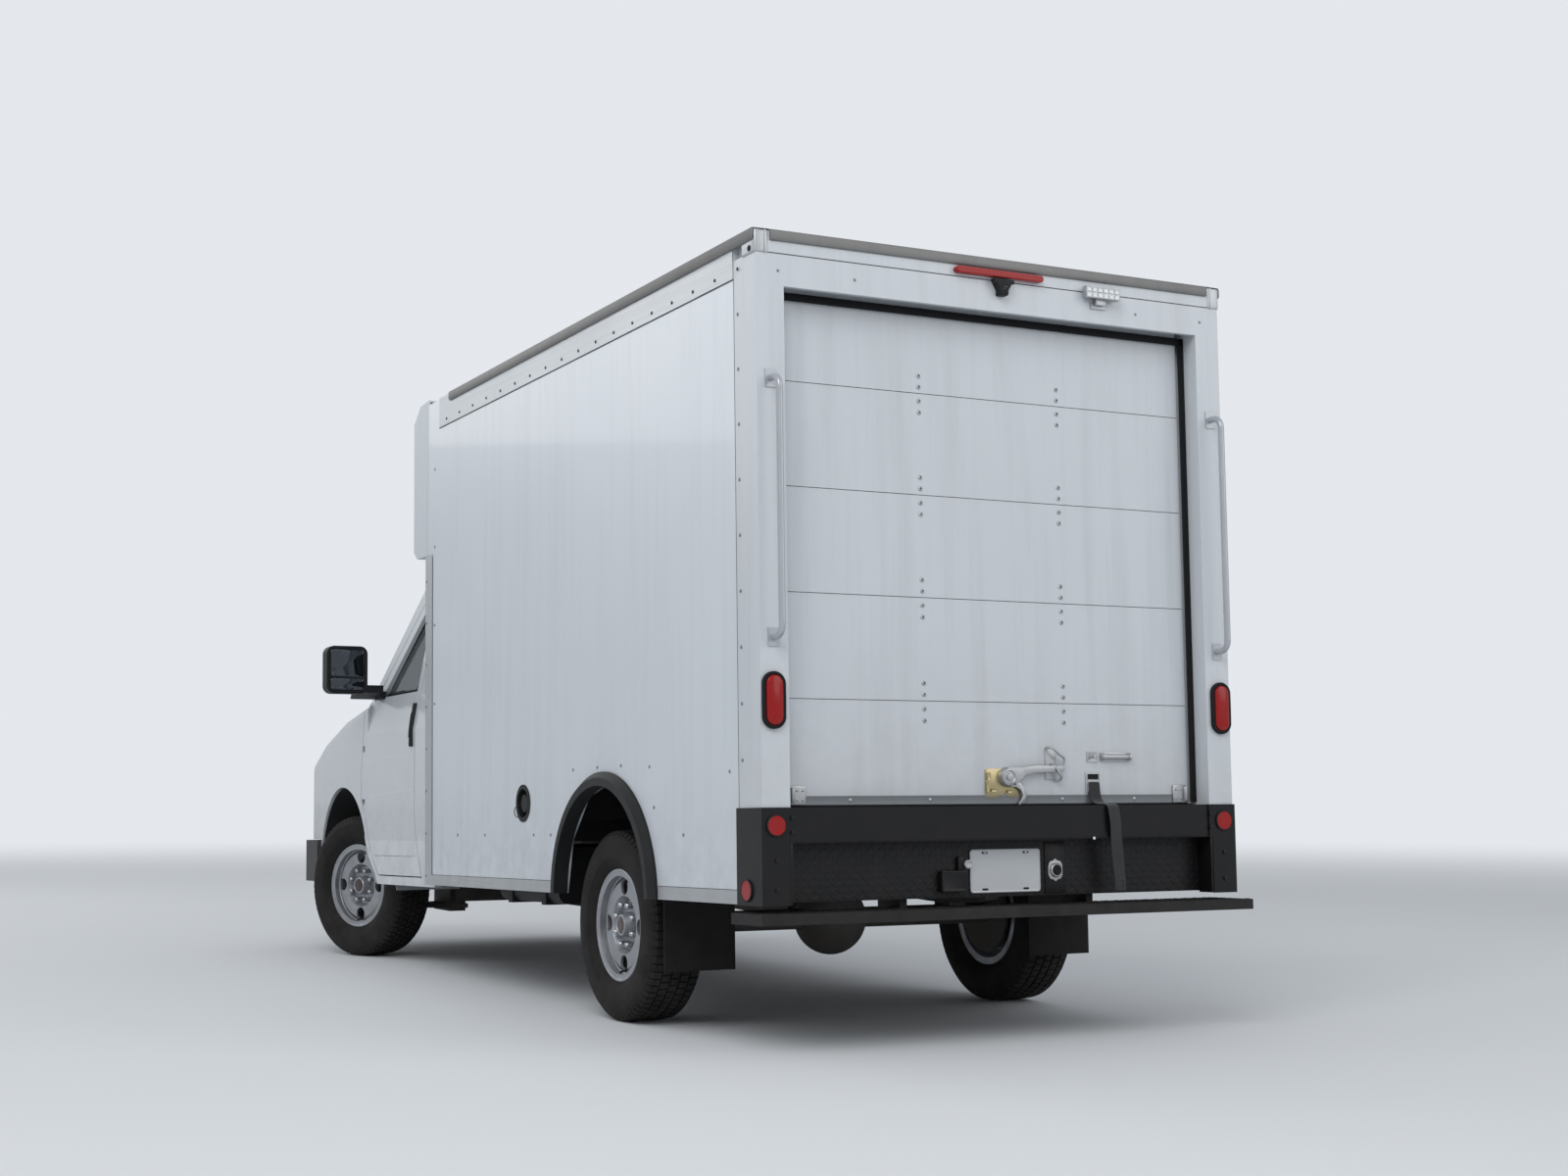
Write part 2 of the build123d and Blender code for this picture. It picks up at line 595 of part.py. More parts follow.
# Load floor: a deck on cross sills, open over each rear wheel, and the boxes that stand in those openings
DECK_X = (BOX_REAR_X + POST_DEPTH, BOX_FRONT_X - WALL)
DECK_HALF = BOX_HALF - WALL
WHEEL_BOX_HALF = ARCH_RADIUS + 52
WELL_HALF = WHEEL_BOX_HALF - WHEEL_BOX_SHEET
WELL_IN_Y = WHEEL_BOX_IN_Y + WHEEL_BOX_SHEET
with BuildPart() as box_floor:
    block(DECK_X, (-DECK_HALF, DECK_HALF), (FLOOR_Z - FLOOR_SHEET, FLOOR_Z))
    for step in range(int((DECK_X[1] - DECK_X[0]) / SILL_PITCH) + 1):
        x = DECK_X[0] + SILL_WIDTH + step * SILL_PITCH
        reach = WHEEL_BOX_IN_Y - 12 if abs(x) < WHEEL_BOX_HALF else DECK_HALF
        along = (x - SILL_WIDTH / 2, x + SILL_WIDTH / 2)
        block(along, (-reach, reach), (RAIL_TOP_REAR, FLOOR_Z - FLOOR_SHEET))
    for side in (-1, 1):
        across = sorted((side * WHEEL_BOX_IN_Y, side * DECK_HALF))
        block((-WHEEL_BOX_HALF, WHEEL_BOX_HALF), across, (RAIL_TOP_REAR, FLOOR_Z), mode=Mode.SUBTRACT)
    pipe_foot = (FILLER_X, FILLER_PIPE_Y, RAIL_TOP_REAR)
    rod(pipe_foot, (FILLER_X, FILLER_PIPE_Y, FLOOR_Z), FILLER_PIPE_RADIUS + 5, mode=Mode.SUBTRACT)
hand_in(box_floor, "box_floor")

with BuildPart() as wheel_boxes:
    foot = FLOOR_Z - FLOOR_SHEET
    block((-WHEEL_BOX_HALF, WHEEL_BOX_HALF), (WHEEL_BOX_IN_Y, DECK_HALF), (foot, WHEEL_BOX_Z))
    under = (foot, WHEEL_BOX_Z - WHEEL_BOX_SHEET)
    block((-WELL_HALF, WELL_HALF), (WELL_IN_Y, DECK_HALF), under, mode=Mode.SUBTRACT)
    mirror(about=Plane.XZ)
hand_in(wheel_boxes, "wheel_boxes")


# Side walls with their rear wheel arches
def box_wall(has_filler):
    """Left wall: one panel from the skirt to the roof, its arch cut straight-sided behind the flare."""
    with BuildPart() as wall:
        with BuildSketch(side_plane(BOX_HALF)):
            Polygon(
                (DECK_X[0] + RUN_CLEARANCE, SKIRT_Z),
                (BOX_FRONT_X, SKIRT_Z),
                (BOX_FRONT_X, ROOF_Z - ROOF_WALL),
                (DECK_X[0] + RUN_CLEARANCE, ROOF_Z - ROOF_WALL),
                align=None,
            )
            with Locations((0, ARCH_Z)):
                RegularPolygon(ARCH_RADIUS, ARCH_SIDES, major_radius=False, mode=Mode.SUBTRACT)
            with Locations((0, SKIRT_Z - 50)):
                Rectangle(2 * ARCH_RADIUS, 100, mode=Mode.SUBTRACT)
            if has_filler:
                with Locations((FILLER_X, FILLER_Z)):
                    Circle(FILLER_RADIUS - 12 + RUN_CLEARANCE, mode=Mode.SUBTRACT)
        extrude(amount=WALL)
    return wall


box_wall_left = box_wall(True)
with BuildPart() as box_wall_right:
    add(box_wall(False).part)
    mirror(about=Plane.XZ, mode=Mode.REPLACE)
hand_in(box_wall_left, "box_wall_left")
hand_in(box_wall_right, "box_wall_right")

# Bulkhead behind the cab, and the roof panel with its low crown
with BuildPart() as box_bulkhead:
    upright = (RAIL_TOP_FRONT + 50, ROOF_Z - ROOF_WALL)
    block((BOX_FRONT_X - WALL, BOX_FRONT_X), (-DECK_HALF, DECK_HALF), upright)
hand_in(box_bulkhead, "box_bulkhead")

with BuildPart() as box_roof:
    with BuildSketch(cross_plane(DECK_X[0] + RUN_CLEARANCE)):
        with BuildLine():
            low = ROOF_Z - ROOF_WALL
            Polyline((-BOX_HALF, ROOF_Z), (-BOX_HALF, low), (BOX_HALF, low), (BOX_HALF, ROOF_Z))
            ThreePointArc((BOX_HALF, ROOF_Z), (0, ROOF_Z + ROOF_CROWN), (-BOX_HALF, ROOF_Z))
        make_face()
    extrude(amount=BOX_FRONT_X - DECK_X[0] - RUN_CLEARANCE)
hand_in(box_roof, "box_roof")

# Rails: a folded strip along each roof edge, one at each skirt and a rounded trim at each front corner
RAIL_STRIP = 60
SKIRT_RAIL = 48
with BuildPart() as box_rails:
    with BuildSketch(cross_plane(DECK_X[0] + RUN_CLEARANCE)):
        Polygon(
            (BOX_HALF + RUN_CLEARANCE, ROOF_RAIL_Z),
            (BOX_HALF + TRIM, ROOF_RAIL_Z),
            (BOX_HALF + TRIM, ROOF_Z + TRIM),
            (BOX_HALF - RAIL_STRIP, ROOF_Z + TRIM),
            (BOX_HALF - RAIL_STRIP, ROOF_Z + RUN_CLEARANCE + ROOF_CROWN * 0.12),
            (BOX_HALF + RUN_CLEARANCE, ROOF_Z + RUN_CLEARANCE),
            align=None,
        )
    extrude(amount=ROOF_RAIL_FRONT_X - DECK_X[0])
    flare_end = ARCH_RADIUS + FLARE_BAND + 6
    for along in ((BRACKET_X[1] + 1, -flare_end), (flare_end, BOX_FRONT_X - 60)):
        block(along, (BOX_HALF + RUN_CLEARANCE, BOX_HALF + TRIM), (SKIRT_Z, SKIRT_Z + SKIRT_RAIL))
    with BuildSketch(Plane.XY.offset(SKIRT_Z)):
        with BuildLine():
            back, front = BOX_FRONT_X - 60, BOX_FRONT_X + CORNER_TRIM_REACH
            seat, out = BOX_HALF + RUN_CLEARANCE, BOX_HALF + TRIM
            Polyline((front - TRIM, out), (back, out), (back, seat), (BOX_FRONT_X, seat))
            lap = CAB_HALF + TRIM
            Polyline((BOX_FRONT_X, seat), (BOX_FRONT_X + 1, lap), (front, lap), (front, out - TRIM))
            RadiusArc((front, out - TRIM), (front - TRIM, out), -TRIM)
        make_face()
    extrude(amount=CAP_Z - 2 - SKIRT_Z)
    mirror(about=Plane.XZ)
hand_in(box_rails, "box_rails")

# Rear frame: two posts and a header in folded sheet, a sill, and the door's curved tracks
FRAME_IN = BOX_HALF - POST_WIDTH
TRACK_X = BOX_REAR_X + DOOR_RECESS + DOOR_PANEL + 4
POST_X = (BOX_REAR_X, DECK_X[0])


def track_band(half, depth, start_y):
    """Band along the track's path: up, round the bend and forward under the roof."""
    bend = TRACK_BEND_Z
    middle_x, top = TRACK_X + TRACK_RADIUS, TRACK_BEND_Z + TRACK_RADIUS
    slant = sin(radians(45))
    with BuildPart() as band:
        with BuildSketch(side_plane(start_y)):
            with BuildLine():
                outer, inner = TRACK_RADIUS + half, TRACK_RADIUS - half
                Line((middle_x - outer, FLOOR_Z + 5), (middle_x - outer, bend))
                mid = (middle_x - outer * slant, bend + outer * slant)
                ThreePointArc((middle_x - outer, bend), mid, (middle_x, bend + outer))
                Line((middle_x, bend + outer), (TRACK_FRONT_X, top + half))
                Polyline((TRACK_FRONT_X, top + half), (TRACK_FRONT_X, top - half), (middle_x, top - half))
                mid = (middle_x - inner * slant, bend + inner * slant)
                ThreePointArc((middle_x, bend + inner), mid, (middle_x - inner, bend))
                Line((middle_x - inner, bend), (middle_x - inner, FLOOR_Z + 5))
                Line((middle_x - inner, FLOOR_Z + 5), (middle_x - outer, FLOOR_Z + 5))
            make_face()
        extrude(amount=depth)
    return band.part


with BuildPart() as rear_frame:
    block(POST_X, (FRAME_IN, BOX_HALF), (BRACKET_BOTTOM_Z + 10, HEADER_Z[1]))
    block(
        (POST_X[0] + POST_WALL, POST_X[1] - POST_WALL),
        (FRAME_IN + POST_WALL, BOX_HALF - POST_WALL),
        (BRACKET_BOTTOM_Z, HEADER_Z[0]),
        mode=Mode.SUBTRACT,
    )
    add(track_band(TRACK_SECTION / 2, TRACK_DEPTH, FRAME_IN))
    channel = track_band(TRACK_SECTION / 2 - TRACK_WALL, TRACK_DEPTH, FRAME_IN - TRACK_WALL)
    add(channel, mode=Mode.SUBTRACT)
    stay_y = (FRAME_IN - TRACK_WALL, DECK_HALF - RUN_CLEARANCE)
    block((TRACK_FRONT_X - 40, TRACK_FRONT_X), stay_y, TRACK_STAY_Z)
    mirror(about=Plane.XZ)
    block((POST_X[0], POST_X[0] + POST_WALL), (-FRAME_IN, FRAME_IN), HEADER_Z)
    block((POST_X[0], POST_X[1]), (-FRAME_IN, FRAME_IN), (HEADER_Z[1] - POST_WALL, HEADER_Z[1]))
    block((POST_X[0], POST_X[1]), (-REAR_RAIL_HALF, REAR_RAIL_HALF), (HEADER_Z[1], ROOF_Z))
    block((BEAM_X[1] + RUN_CLEARANCE, POST_X[1]), (-FRAME_IN, FRAME_IN), (FLOOR_Z - SILL_HEIGHT, FLOOR_Z))
hand_in(rear_frame, "rear_frame")

# Nose cap: a moulded shell over the cab, faired back to the roof
# Side outline: X, Z
CAP_OUTLINE = (
    (BOX_FRONT_X + 1, CAP_Z),
    (BOX_FRONT_X + 178, CAP_Z),
    (BOX_FRONT_X + 218, CAP_Z + 32),
    (BOX_FRONT_X + 340, CAP_Z + 104),
    (BOX_FRONT_X + 334, CAP_Z + 154),
    (BOX_FRONT_X + 338, CAP_Z + 309),
    (BOX_FRONT_X + 320, ROOF_Z - 233),
    (BOX_FRONT_X + 254, ROOF_Z - 85),
    (BOX_FRONT_X + 128, ROOF_Z + 14),
    (BOX_FRONT_X + 1, ROOF_Z + 25),
)
CAP_WALL = 8
CAP_HALF = BOX_HALF
CAP_SIDE_X = BOX_FRONT_X + 188
CAP_BOW_X = BOX_FRONT_X + 358


def cap_form(inset):
    """The cap's outer form, drawn in by the inset, open at the back."""
    rear = BOX_FRONT_X + 1
    with BuildPart() as form:
        with BuildSketch(side_plane(CAP_HALF - inset)):
            Polygon(*CAP_OUTLINE, align=None)
            if inset:
                offset(amount=-inset, kind=Kind.INTERSECTION)
        extrude(amount=2 * (CAP_HALF - inset))
        with BuildSketch(Plane.XY.offset(2000)):
            with BuildLine():
                half = CAP_HALF - inset
                Polyline((CAP_SIDE_X - inset, half), (rear, half), (rear, -half), (CAP_SIDE_X - inset, -half))
                corner = (CAP_SIDE_X + 84 - inset, half - 40)
                ThreePointArc((CAP_SIDE_X - inset, half), (CAP_SIDE_X + 58 - inset, half - 10), corner)
                ThreePointArc(corner, (CAP_BOW_X - inset, 0), (corner[0], -corner[1]))
                bend = (CAP_SIDE_X + 58 - inset, -half + 10)
                ThreePointArc((corner[0], -corner[1]), bend, (CAP_SIDE_X - inset, -half))
            make_face()
        extrude(amount=1000, mode=Mode.INTERSECT)
    return form


with BuildPart() as nose_cap:
    add(cap_form(0).part)
    add(cap_form(CAP_WALL).part.moved(Location((-CAP_WALL - 1, 0, 0))), mode=Mode.SUBTRACT)
hand_in(nose_cap, "nose_cap")

# Roll-up door: five panels a hair apart, each with its hinge leaves and rollers inside
DOOR_X = BOX_REAR_X + DOOR_RECESS
HINGE_LEAF = (36, 60)
HINGE_WALL = 3
SPINDLE_RADIUS = 5
ROLLER_Y = (DOOR_HALF + 8, FRAME_IN - TRACK_WALL - 3)
with BuildPart() as roll_door:
    for panel in range(DOOR_PANELS):
        low = DOOR_BOTTOM_Z + panel * DOOR_PANEL_PITCH
        top = low + DOOR_PANEL_PITCH - DOOR_SEAM
        inside = DOOR_X + DOOR_PANEL
        block((DOOR_X, inside), (-DOOR_HALF, DOOR_HALF), (low, top))
        for y in HINGE_Y:
            leaf_y = (y - HINGE_LEAF[0], y + HINGE_LEAF[0])
            block((inside, inside + HINGE_WALL), leaf_y, (top - HINGE_LEAF[1], top))
            rod((inside + 6, y - HINGE_LEAF[0], top - 10), (inside + 6, y + HINGE_LEAF[0], top - 10), 8)
        roller_z = top - 10 if panel < DOOR_PANELS - 1 else top - 60
        climb = max(0, roller_z - TRACK_BEND_Z)
        roller_x = TRACK_X + TRACK_RADIUS - sqrt(TRACK_RADIUS**2 - climb**2)
        for side in (-1, 1):
            end = HINGE_Y[-1] + HINGE_LEAF[0]
            inner, outer = sorted((side * (end - 20), side * end))
            block((inside, roller_x + 9), (inner, outer), (roller_z - 9, roller_z + 9))
            near, far = (roller_x, side * ROLLER_Y[0], roller_z), (roller_x, side * ROLLER_Y[1], roller_z)
            rod((roller_x, side * (end - 5), roller_z), near, SPINDLE_RADIUS)
            rod(near, far, ROLLER_RADIUS)
hand_in(roll_door, "roll_door")

# Latch on the door: plate, pivot, swinging arm with its hook, keeper, slide bolt and strap bracket
LATCH_Y, LATCH_Z = -40, 926
with BuildPart() as door_latch:
    seat = DOOR_X - RUN_CLEARANCE
    block((seat - 4, seat), (-82, 75), (847, 953))
    rod((seat, LATCH_Y, LATCH_Z), (seat - 26, LATCH_Y, LATCH_Z), 42)
    with BuildSketch(cross_plane(seat - 26)):
        Polygon(
            (LATCH_Y + 30, LATCH_Z + 32),
            (LATCH_Y - 240, LATCH_Z + 40),
            (LATCH_Y - 240, LATCH_Z + 22),
            (LATCH_Y - 110, LATCH_Z + 18),
            (LATCH_Y - 60, LATCH_Z - 36),
            (LATCH_Y + 30, LATCH_Z - 34),
            align=None,
        )
    extrude(amount=10)
    with BuildSketch(cross_plane(seat - 16)):
        with Locations((LATCH_Y - 74, LATCH_Z - 62)):
            Circle(44)
        with Locations((LATCH_Y - 62, LATCH_Z - 76)):
            Circle(38, mode=Mode.SUBTRACT)
    extrude(amount=12)
    block((seat - 30, seat), (LATCH_Y - 236, LATCH_Y - 200), (LATCH_Z + 10, LATCH_Z + 88))
    block((seat - 4, seat), (LATCH_Y - 262, LATCH_Y - 186), (LATCH_Z + 30, LATCH_Z + 96))
    block((seat - 5, seat), (-409, -380), (975, 1027))
    block((seat - 5, seat), (-604, -409), (980, 1022))
    rod((seat - 15, -600, 1001), (seat - 15, -412, 1001), 10)
    block((seat - 8, seat), (-455, -399), (866, 948))
hand_in(door_latch, "door_latch")

# Pull strap: a band from its bracket over the sill, hanging down before the beam
STRAP_WIDTH = 50
STRAP_THICK = 4
STRAP_Y = -452
# Side path of the strap's outer face: X, Z
STRAP_PATH = (
    (DOOR_X - 10.6, 900),
    (DOOR_X - 10.6, 862),
    (DOOR_X - 50, 832),
    (BRACKET_X[0] - 6, 824),
    (BRACKET_X[0] - 13, 800),
    (BRACKET_X[0] - 13, 500),
)
with BuildPart() as pull_strap:
    with BuildSketch(side_plane(STRAP_Y + STRAP_WIDTH / 2)):
        with BuildLine():
            Polyline(*STRAP_PATH)
            offset(amount=STRAP_THICK / 2, side=Side.BOTH)
        make_face()
    extrude(amount=STRAP_WIDTH)
hand_in(pull_strap, "pull_strap")

# Grab handles on both posts: a bar bowed off two small pads
HANDLE_Y = BOX_HALF - 53
HANDLE_Z = (1384, 2325)
HANDLE_REACH = 65
HANDLE_RADIUS = 12
HANDLE_BEND = 40
with BuildPart() as grab_handles:
    seat = BOX_REAR_X - RUN_CLEARANCE
    with BuildLine(side_plane(HANDLE_Y)):
        FilletPolyline(
            (seat, HANDLE_Z[0] + 20),
            (seat - HANDLE_REACH, HANDLE_Z[0] + 20),
            (seat - HANDLE_REACH, HANDLE_Z[1] - 20),
            (seat, HANDLE_Z[1] - 20),
            radius=HANDLE_BEND,
        )
    with BuildSketch(Plane(origin=(seat, HANDLE_Y, HANDLE_Z[0] + 20), z_dir=(-1, 0, 0))):
        Circle(HANDLE_RADIUS)
    sweep()
    for low in (HANDLE_Z[0], HANDLE_Z[1] - 40):
        block((seat - 4, seat), (HANDLE_Y - 22, HANDLE_Y + 22), (low - 12, low + 52))
    mirror(about=Plane.XZ)
hand_in(grab_handles, "grab_handles")

# Rear bumper: a deep beam between two end brackets, with the kick plate under it
BEAM_HALF = FRAME_IN - RUN_CLEARANCE
with BuildPart() as rear_bumper:
    across = (-BEAM_HALF, BEAM_HALF)
    block(BEAM_X, across, BEAM_Z)
    hollow_z = (BEAM_Z[0] + BEAM_WALL, BEAM_Z[1] - BEAM_WALL)
    block((BEAM_X[0] + BEAM_WALL, BEAM_X[1]), across, hollow_z, mode=Mode.SUBTRACT)
    block((BEAM_X[0] + 1, KICK_X), across, (BEAM_Z[0], BEAM_Z[0] + BEAM_WALL))
    block((KICK_X - KICK_SHEET, KICK_X), across, (STEP_Z[1] + 30, BEAM_Z[0] + BEAM_WALL))
    for side in (-1, 1):
        inner, outer = sorted((side * BRACKET_IN_Y, side * BRACKET_HALF))
        block((BRACKET_X[0], BOX_REAR_X - RUN_CLEARANCE), (inner, outer), (BRACKET_BOTTOM_Z, BEAM_Z[1]))
        tab_in, tab_out = sorted((side * (BEAM_HALF - 8), side * (BRACKET_IN_Y + 1)))
        block((BRACKET_X[0], BOX_REAR_X - RUN_CLEARANCE), (tab_in, tab_out), BEAM_Z)
        skin_in, skin_out = sorted((side * (BOX_HALF + RUN_CLEARANCE), side * (BOX_HALF + BRACKET_SKIN)))
        block((BRACKET_X[0], BRACKET_X[1]), (skin_in, skin_out), (BRACKET_BOTTOM_Z, BEAM_Z[1]))
        inner, outer = sorted((side * (BRACKET_HALF - 3), side * (BOX_HALF + BRACKET_SKIN)))
        block((BRACKET_X[0], BOX_REAR_X - RUN_CLEARANCE), (inner, outer), (BRACKET_BOTTOM_Z, BEAM_Z[1]))
        inner, outer = sorted((side * (RAIL_Y - RAIL_FLANGE), side * RAIL_Y))
        stay_x = (KICK_X - KICK_SHEET, RAIL_REAR_X - RUN_CLEARANCE)
        block(stay_x, (inner, outer), (RAIL_TOP_REAR - RAIL_HEIGHT, RAIL_TOP_REAR))
hand_in(rear_bumper, "rear_bumper")

# Step: a folded tread pan with raised cleats, on two arms from the rails
CLEAT_PITCH = 62
with BuildPart() as rear_step:
    block((STEP_REAR_X, STEP_FRONT_X), (-STEP_HALF, STEP_HALF), (STEP_Z[0], STEP_Z[1] - 3))
    block(
        (STEP_REAR_X + STEP_WALL, STEP_FRONT_X + 10),
        (-STEP_HALF + STEP_WALL, STEP_HALF - STEP_WALL),
        (STEP_Z[0] - 10, STEP_Z[1] - 3 - STEP_WALL),
        mode=Mode.SUBTRACT,
    )
    for side in (-1, 1):
        inner, outer = sorted((side * (RAIL_Y - 40), side * (RAIL_Y - 10)))
        hanger_z = (STEP_Z[1] - 3 - STEP_WALL, RAIL_TOP_REAR - RAIL_HEIGHT - RUN_CLEARANCE)
        block((KICK_X + 20, RAIL_REAR_X + 60), (inner, outer), hanger_z)
        block((STEP_REAR_X + 20, RAIL_REAR_X + 60), (inner, outer), (STEP_Z[0] + 4, STEP_Z[1] - 3))
    with BuildSketch(Plane.XY.offset(STEP_Z[1] - 3)):
        with GridLocations(54, CLEAT_PITCH, 3, int(2 * STEP_HALF / CLEAT_PITCH) - 1):
            with Locations(((STEP_REAR_X + STEP_FRONT_X) / 2, 0)):
                Rectangle(38, 9, rotation=35)
    extrude(amount=3)
hand_in(rear_step, "rear_step")

# Arch flares, and mud flaps hung behind the rear wheels
with BuildPart() as arch_flares:
    with BuildSketch(side_plane(BOX_HALF + RUN_CLEARANCE + FLARE_STAND)):
        with Locations((0, ARCH_Z)):
            Circle(ARCH_RADIUS + FLARE_BAND)
            Circle(ARCH_RADIUS - 4, mode=Mode.SUBTRACT)
        with Locations((0, SKIRT_Z - 500)):
            Rectangle(2 * ARCH_RADIUS + 400, 1000, mode=Mode.SUBTRACT)
    extrude(amount=FLARE_STAND)
    outer_edge = arch_flares.edges().group_by(Axis.Y)[-1].sort_by(Edge.length)[-1]
    chamfer(outer_edge, length=FLARE_STAND * 0.7)
    with BuildSketch(side_plane(BOX_HALF + RUN_CLEARANCE + 1)):
        with Locations((0, ARCH_Z)):
            Circle(ARCH_RADIUS - RUN_CLEARANCE)
            Circle(ARCH_RADIUS - 4, mode=Mode.SUBTRACT)
        with Locations((0, SKIRT_Z - 500)):
            Rectangle(2 * ARCH_RADIUS + 400, 1000, mode=Mode.SUBTRACT)
    extrude(amount=30)
    mirror(about=Plane.XZ)
hand_in(arch_flares, "arch_flares")

FLAP_X = -452
FLAP_Y = (676, BOX_HALF - 32)
FLAP_Z = (216, RAIL_TOP_REAR - 20)
with BuildPart() as mud_flaps:
    block((FLAP_X - 6, FLAP_X), (FLAP_Y[0], FLAP_Y[1] - 12), FLAP_Z)
    block((FLAP_X, FLAP_X + 24), (RAIL_Y + RUN_CLEARANCE, FLAP_Y[1] - 12), (FLAP_Z[1] - 30, FLAP_Z[1]))
    mirror(about=Plane.XZ)
hand_in(mud_flaps, "mud_flaps")

# Rear lamps: oval tail lamps, round reflectors, the high lamp, the camera and the work lamp
TAIL_LAMP = (BOX_HALF - 48, 1187, 87, 192)
with BuildPart() as rear_lamps:
    for side in (-1, 1):
        with BuildSketch(cross_plane(BOX_REAR_X - RUN_CLEARANCE)):
            with Locations((side * TAIL_LAMP[0], TAIL_LAMP[1])):
                SlotOverall(TAIL_LAMP[3], TAIL_LAMP[2], rotation=90)
        extrude(amount=-16, taper=12)
        with BuildSketch(cross_plane(BRACKET_X[0] - RUN_CLEARANCE)):
            with Locations((side * (BOX_HALF - 51), (BEAM_Z[0] + BEAM_Z[1]) / 2)):
                Circle(REFLECTOR_RADIUS)
        extrude(amount=-7, taper=10)
        skin_y = side * (BOX_HALF + BRACKET_SKIN + RUN_CLEARANCE)
        with BuildSketch(Plane(origin=(0, skin_y, 0), x_dir=(side, 0, 0), z_dir=(0, side, 0))):
            with Locations(((BOX_REAR_X + 101) * side, -SKIRT_Z - 49)):
                Circle(REFLECTOR_RADIUS)
        extrude(amount=7, taper=10)
    block((BOX_REAR_X - 16, BOX_REAR_X - RUN_CLEARANCE), (-192, 208), (2756, 2784))
    block((BOX_REAR_X - 45, BOX_REAR_X - RUN_CLEARANCE), (-37, 37), (2700, 2750))
    block((BOX_REAR_X - 62, BOX_REAR_X - 12), (-517, -367), (2708, 2766))
    block((BOX_REAR_X - 20, BOX_REAR_X - RUN_CLEARANCE), (-467, -417), (2672, 2740))
hand_in(rear_lamps, "rear_lamps")


# Cab: one outer form and one inner form give its shell, which the panels are then cut from
def cab_section(x, inset):
    """Cross-section of the cab's body and roof, drawn in by the inset."""
    with BuildSketch(cross_plane(x)) as section:
        with BuildLine():
            low, mid = SHOULDER_Z
            Polyline(
                (0, SILL_Z - inset),
                (CAB_SILL_HALF - inset, SILL_Z - inset),
                (CAB_HALF - inset, low),
                (CAB_HALF - inset, mid),
                (BELT_HALF - inset, BELT_Z),
                (CAB_RAIL_HALF - inset, CAB_RAIL_Z - inset / 2),
            )
            rail = (CAB_RAIL_HALF - inset, CAB_RAIL_Z - inset / 2)
            roof = (CAB_ROOF_HALF - inset, CAB_ROOF_Z - inset)
            ThreePointArc(rail, (CAB_RAIL_HALF - 24 - inset, CAB_ROOF_Z - 19 - inset), roof)
            ThreePointArc(roof, (CAB_ROOF_HALF / 2, CAB_ROOF_TOP - 7 - inset), (0, CAB_ROOF_TOP - inset))
            mirror(about=Plane.YZ)
        make_face()
    return section.sketch


# Nose sections: X, half width, top Z, shoulder radius, crown
NOSE_SECTIONS = (
    (DOOR_BELT_X - 40, 1003, 1412, 36, 16),
    (WHEELBASE + 29, 1004, 1352, 62, 22),
    (WHEELBASE + 449, 990, 1262, 84, 24),
    (WHEELBASE + 729, 965, 1176, 88, 22),
    (NOSE_X, 930, 1086, 84, 16),
)
NOSE_CORNER_X = NOSE_X - 202
NOSE_CORNER_Y = 700


def nose_form(inset):
    """Hood and fenders as one solid through the nose sections, its front corners rounded in plan."""
    with BuildPart() as nose:
        for x, half, top, shoulder, crown in NOSE_SECTIONS:
            x_in = x - inset if x == NOSE_X else x
            with BuildSketch(cross_plane(x_in)):
                with BuildLine():
                    out, up, round_in = half - inset, top - inset, shoulder - inset / 3
                    flat = out - round_in
                    low, high = SILL_Z - inset, up - round_in
                    Polyline((-out, high), (-out, low), (out, low), (out, high))
                    slant = round_in * (1 - sin(radians(45)))
                    ThreePointArc((out, up - round_in), (out - slant, up - slant), (flat, up))
                    ThreePointArc((flat, up), (0, up + crown), (-flat, up))
                    ThreePointArc((-flat, up), (-out + slant, up - slant), (-out, up - round_in))
                make_face()
        loft(ruled=True)
        with BuildSketch(Plane.XY.offset(SILL_Z - inset - 10)):
            with BuildLine():
                back, half = DOOR_BELT_X - 60, CAB_HALF + 10 - inset
                front = NOSE_X + 4 - inset
                corner, wing = (front - 34, NOSE_CORNER_Y), (NOSE_CORNER_X, half)
                bend = (front - 78, half - 92)
                Polyline(wing, (back, half), (back, -half), (wing[0], -half))
                ThreePointArc((wing[0], -half), (bend[0], -bend[1]), (corner[0], -corner[1]))
                ThreePointArc((corner[0], -corner[1]), (front, 0), corner)
                ThreePointArc(corner, bend, wing)
            make_face()
        extrude(amount=1100, mode=Mode.INTERSECT)
    return nose


def glass_prism(inset):
    """Everything behind the windshield's bowed, raked surface, above the belt."""
    run = (HEADER_X - COWL_X) / HEADER_RISE
    slope = hypot(run, 1)
    foot = BELT_Z - 40
    middle = COWL_X + (foot - COWL_Z) * run - inset * slope
    with BuildPart() as prism:
        with BuildSketch(Plane.XY.offset(foot)):
            with BuildLine():
                half = CAB_HALF + 20
                bow = GLASS_BOW * (half / GLASS_HALF) ** 2
                back = CAB_REAR_X - 1115
                Polyline((middle - bow, half), (back, half), (back, -half), (middle - bow, -half))
                ThreePointArc((middle - bow, -half), (middle, 0), (middle - bow, half))
            make_face()
        extrude(amount=(CAB_ROOF_TOP + 40 - foot) * slope, dir=(run, 0, 1))
    return prism.part


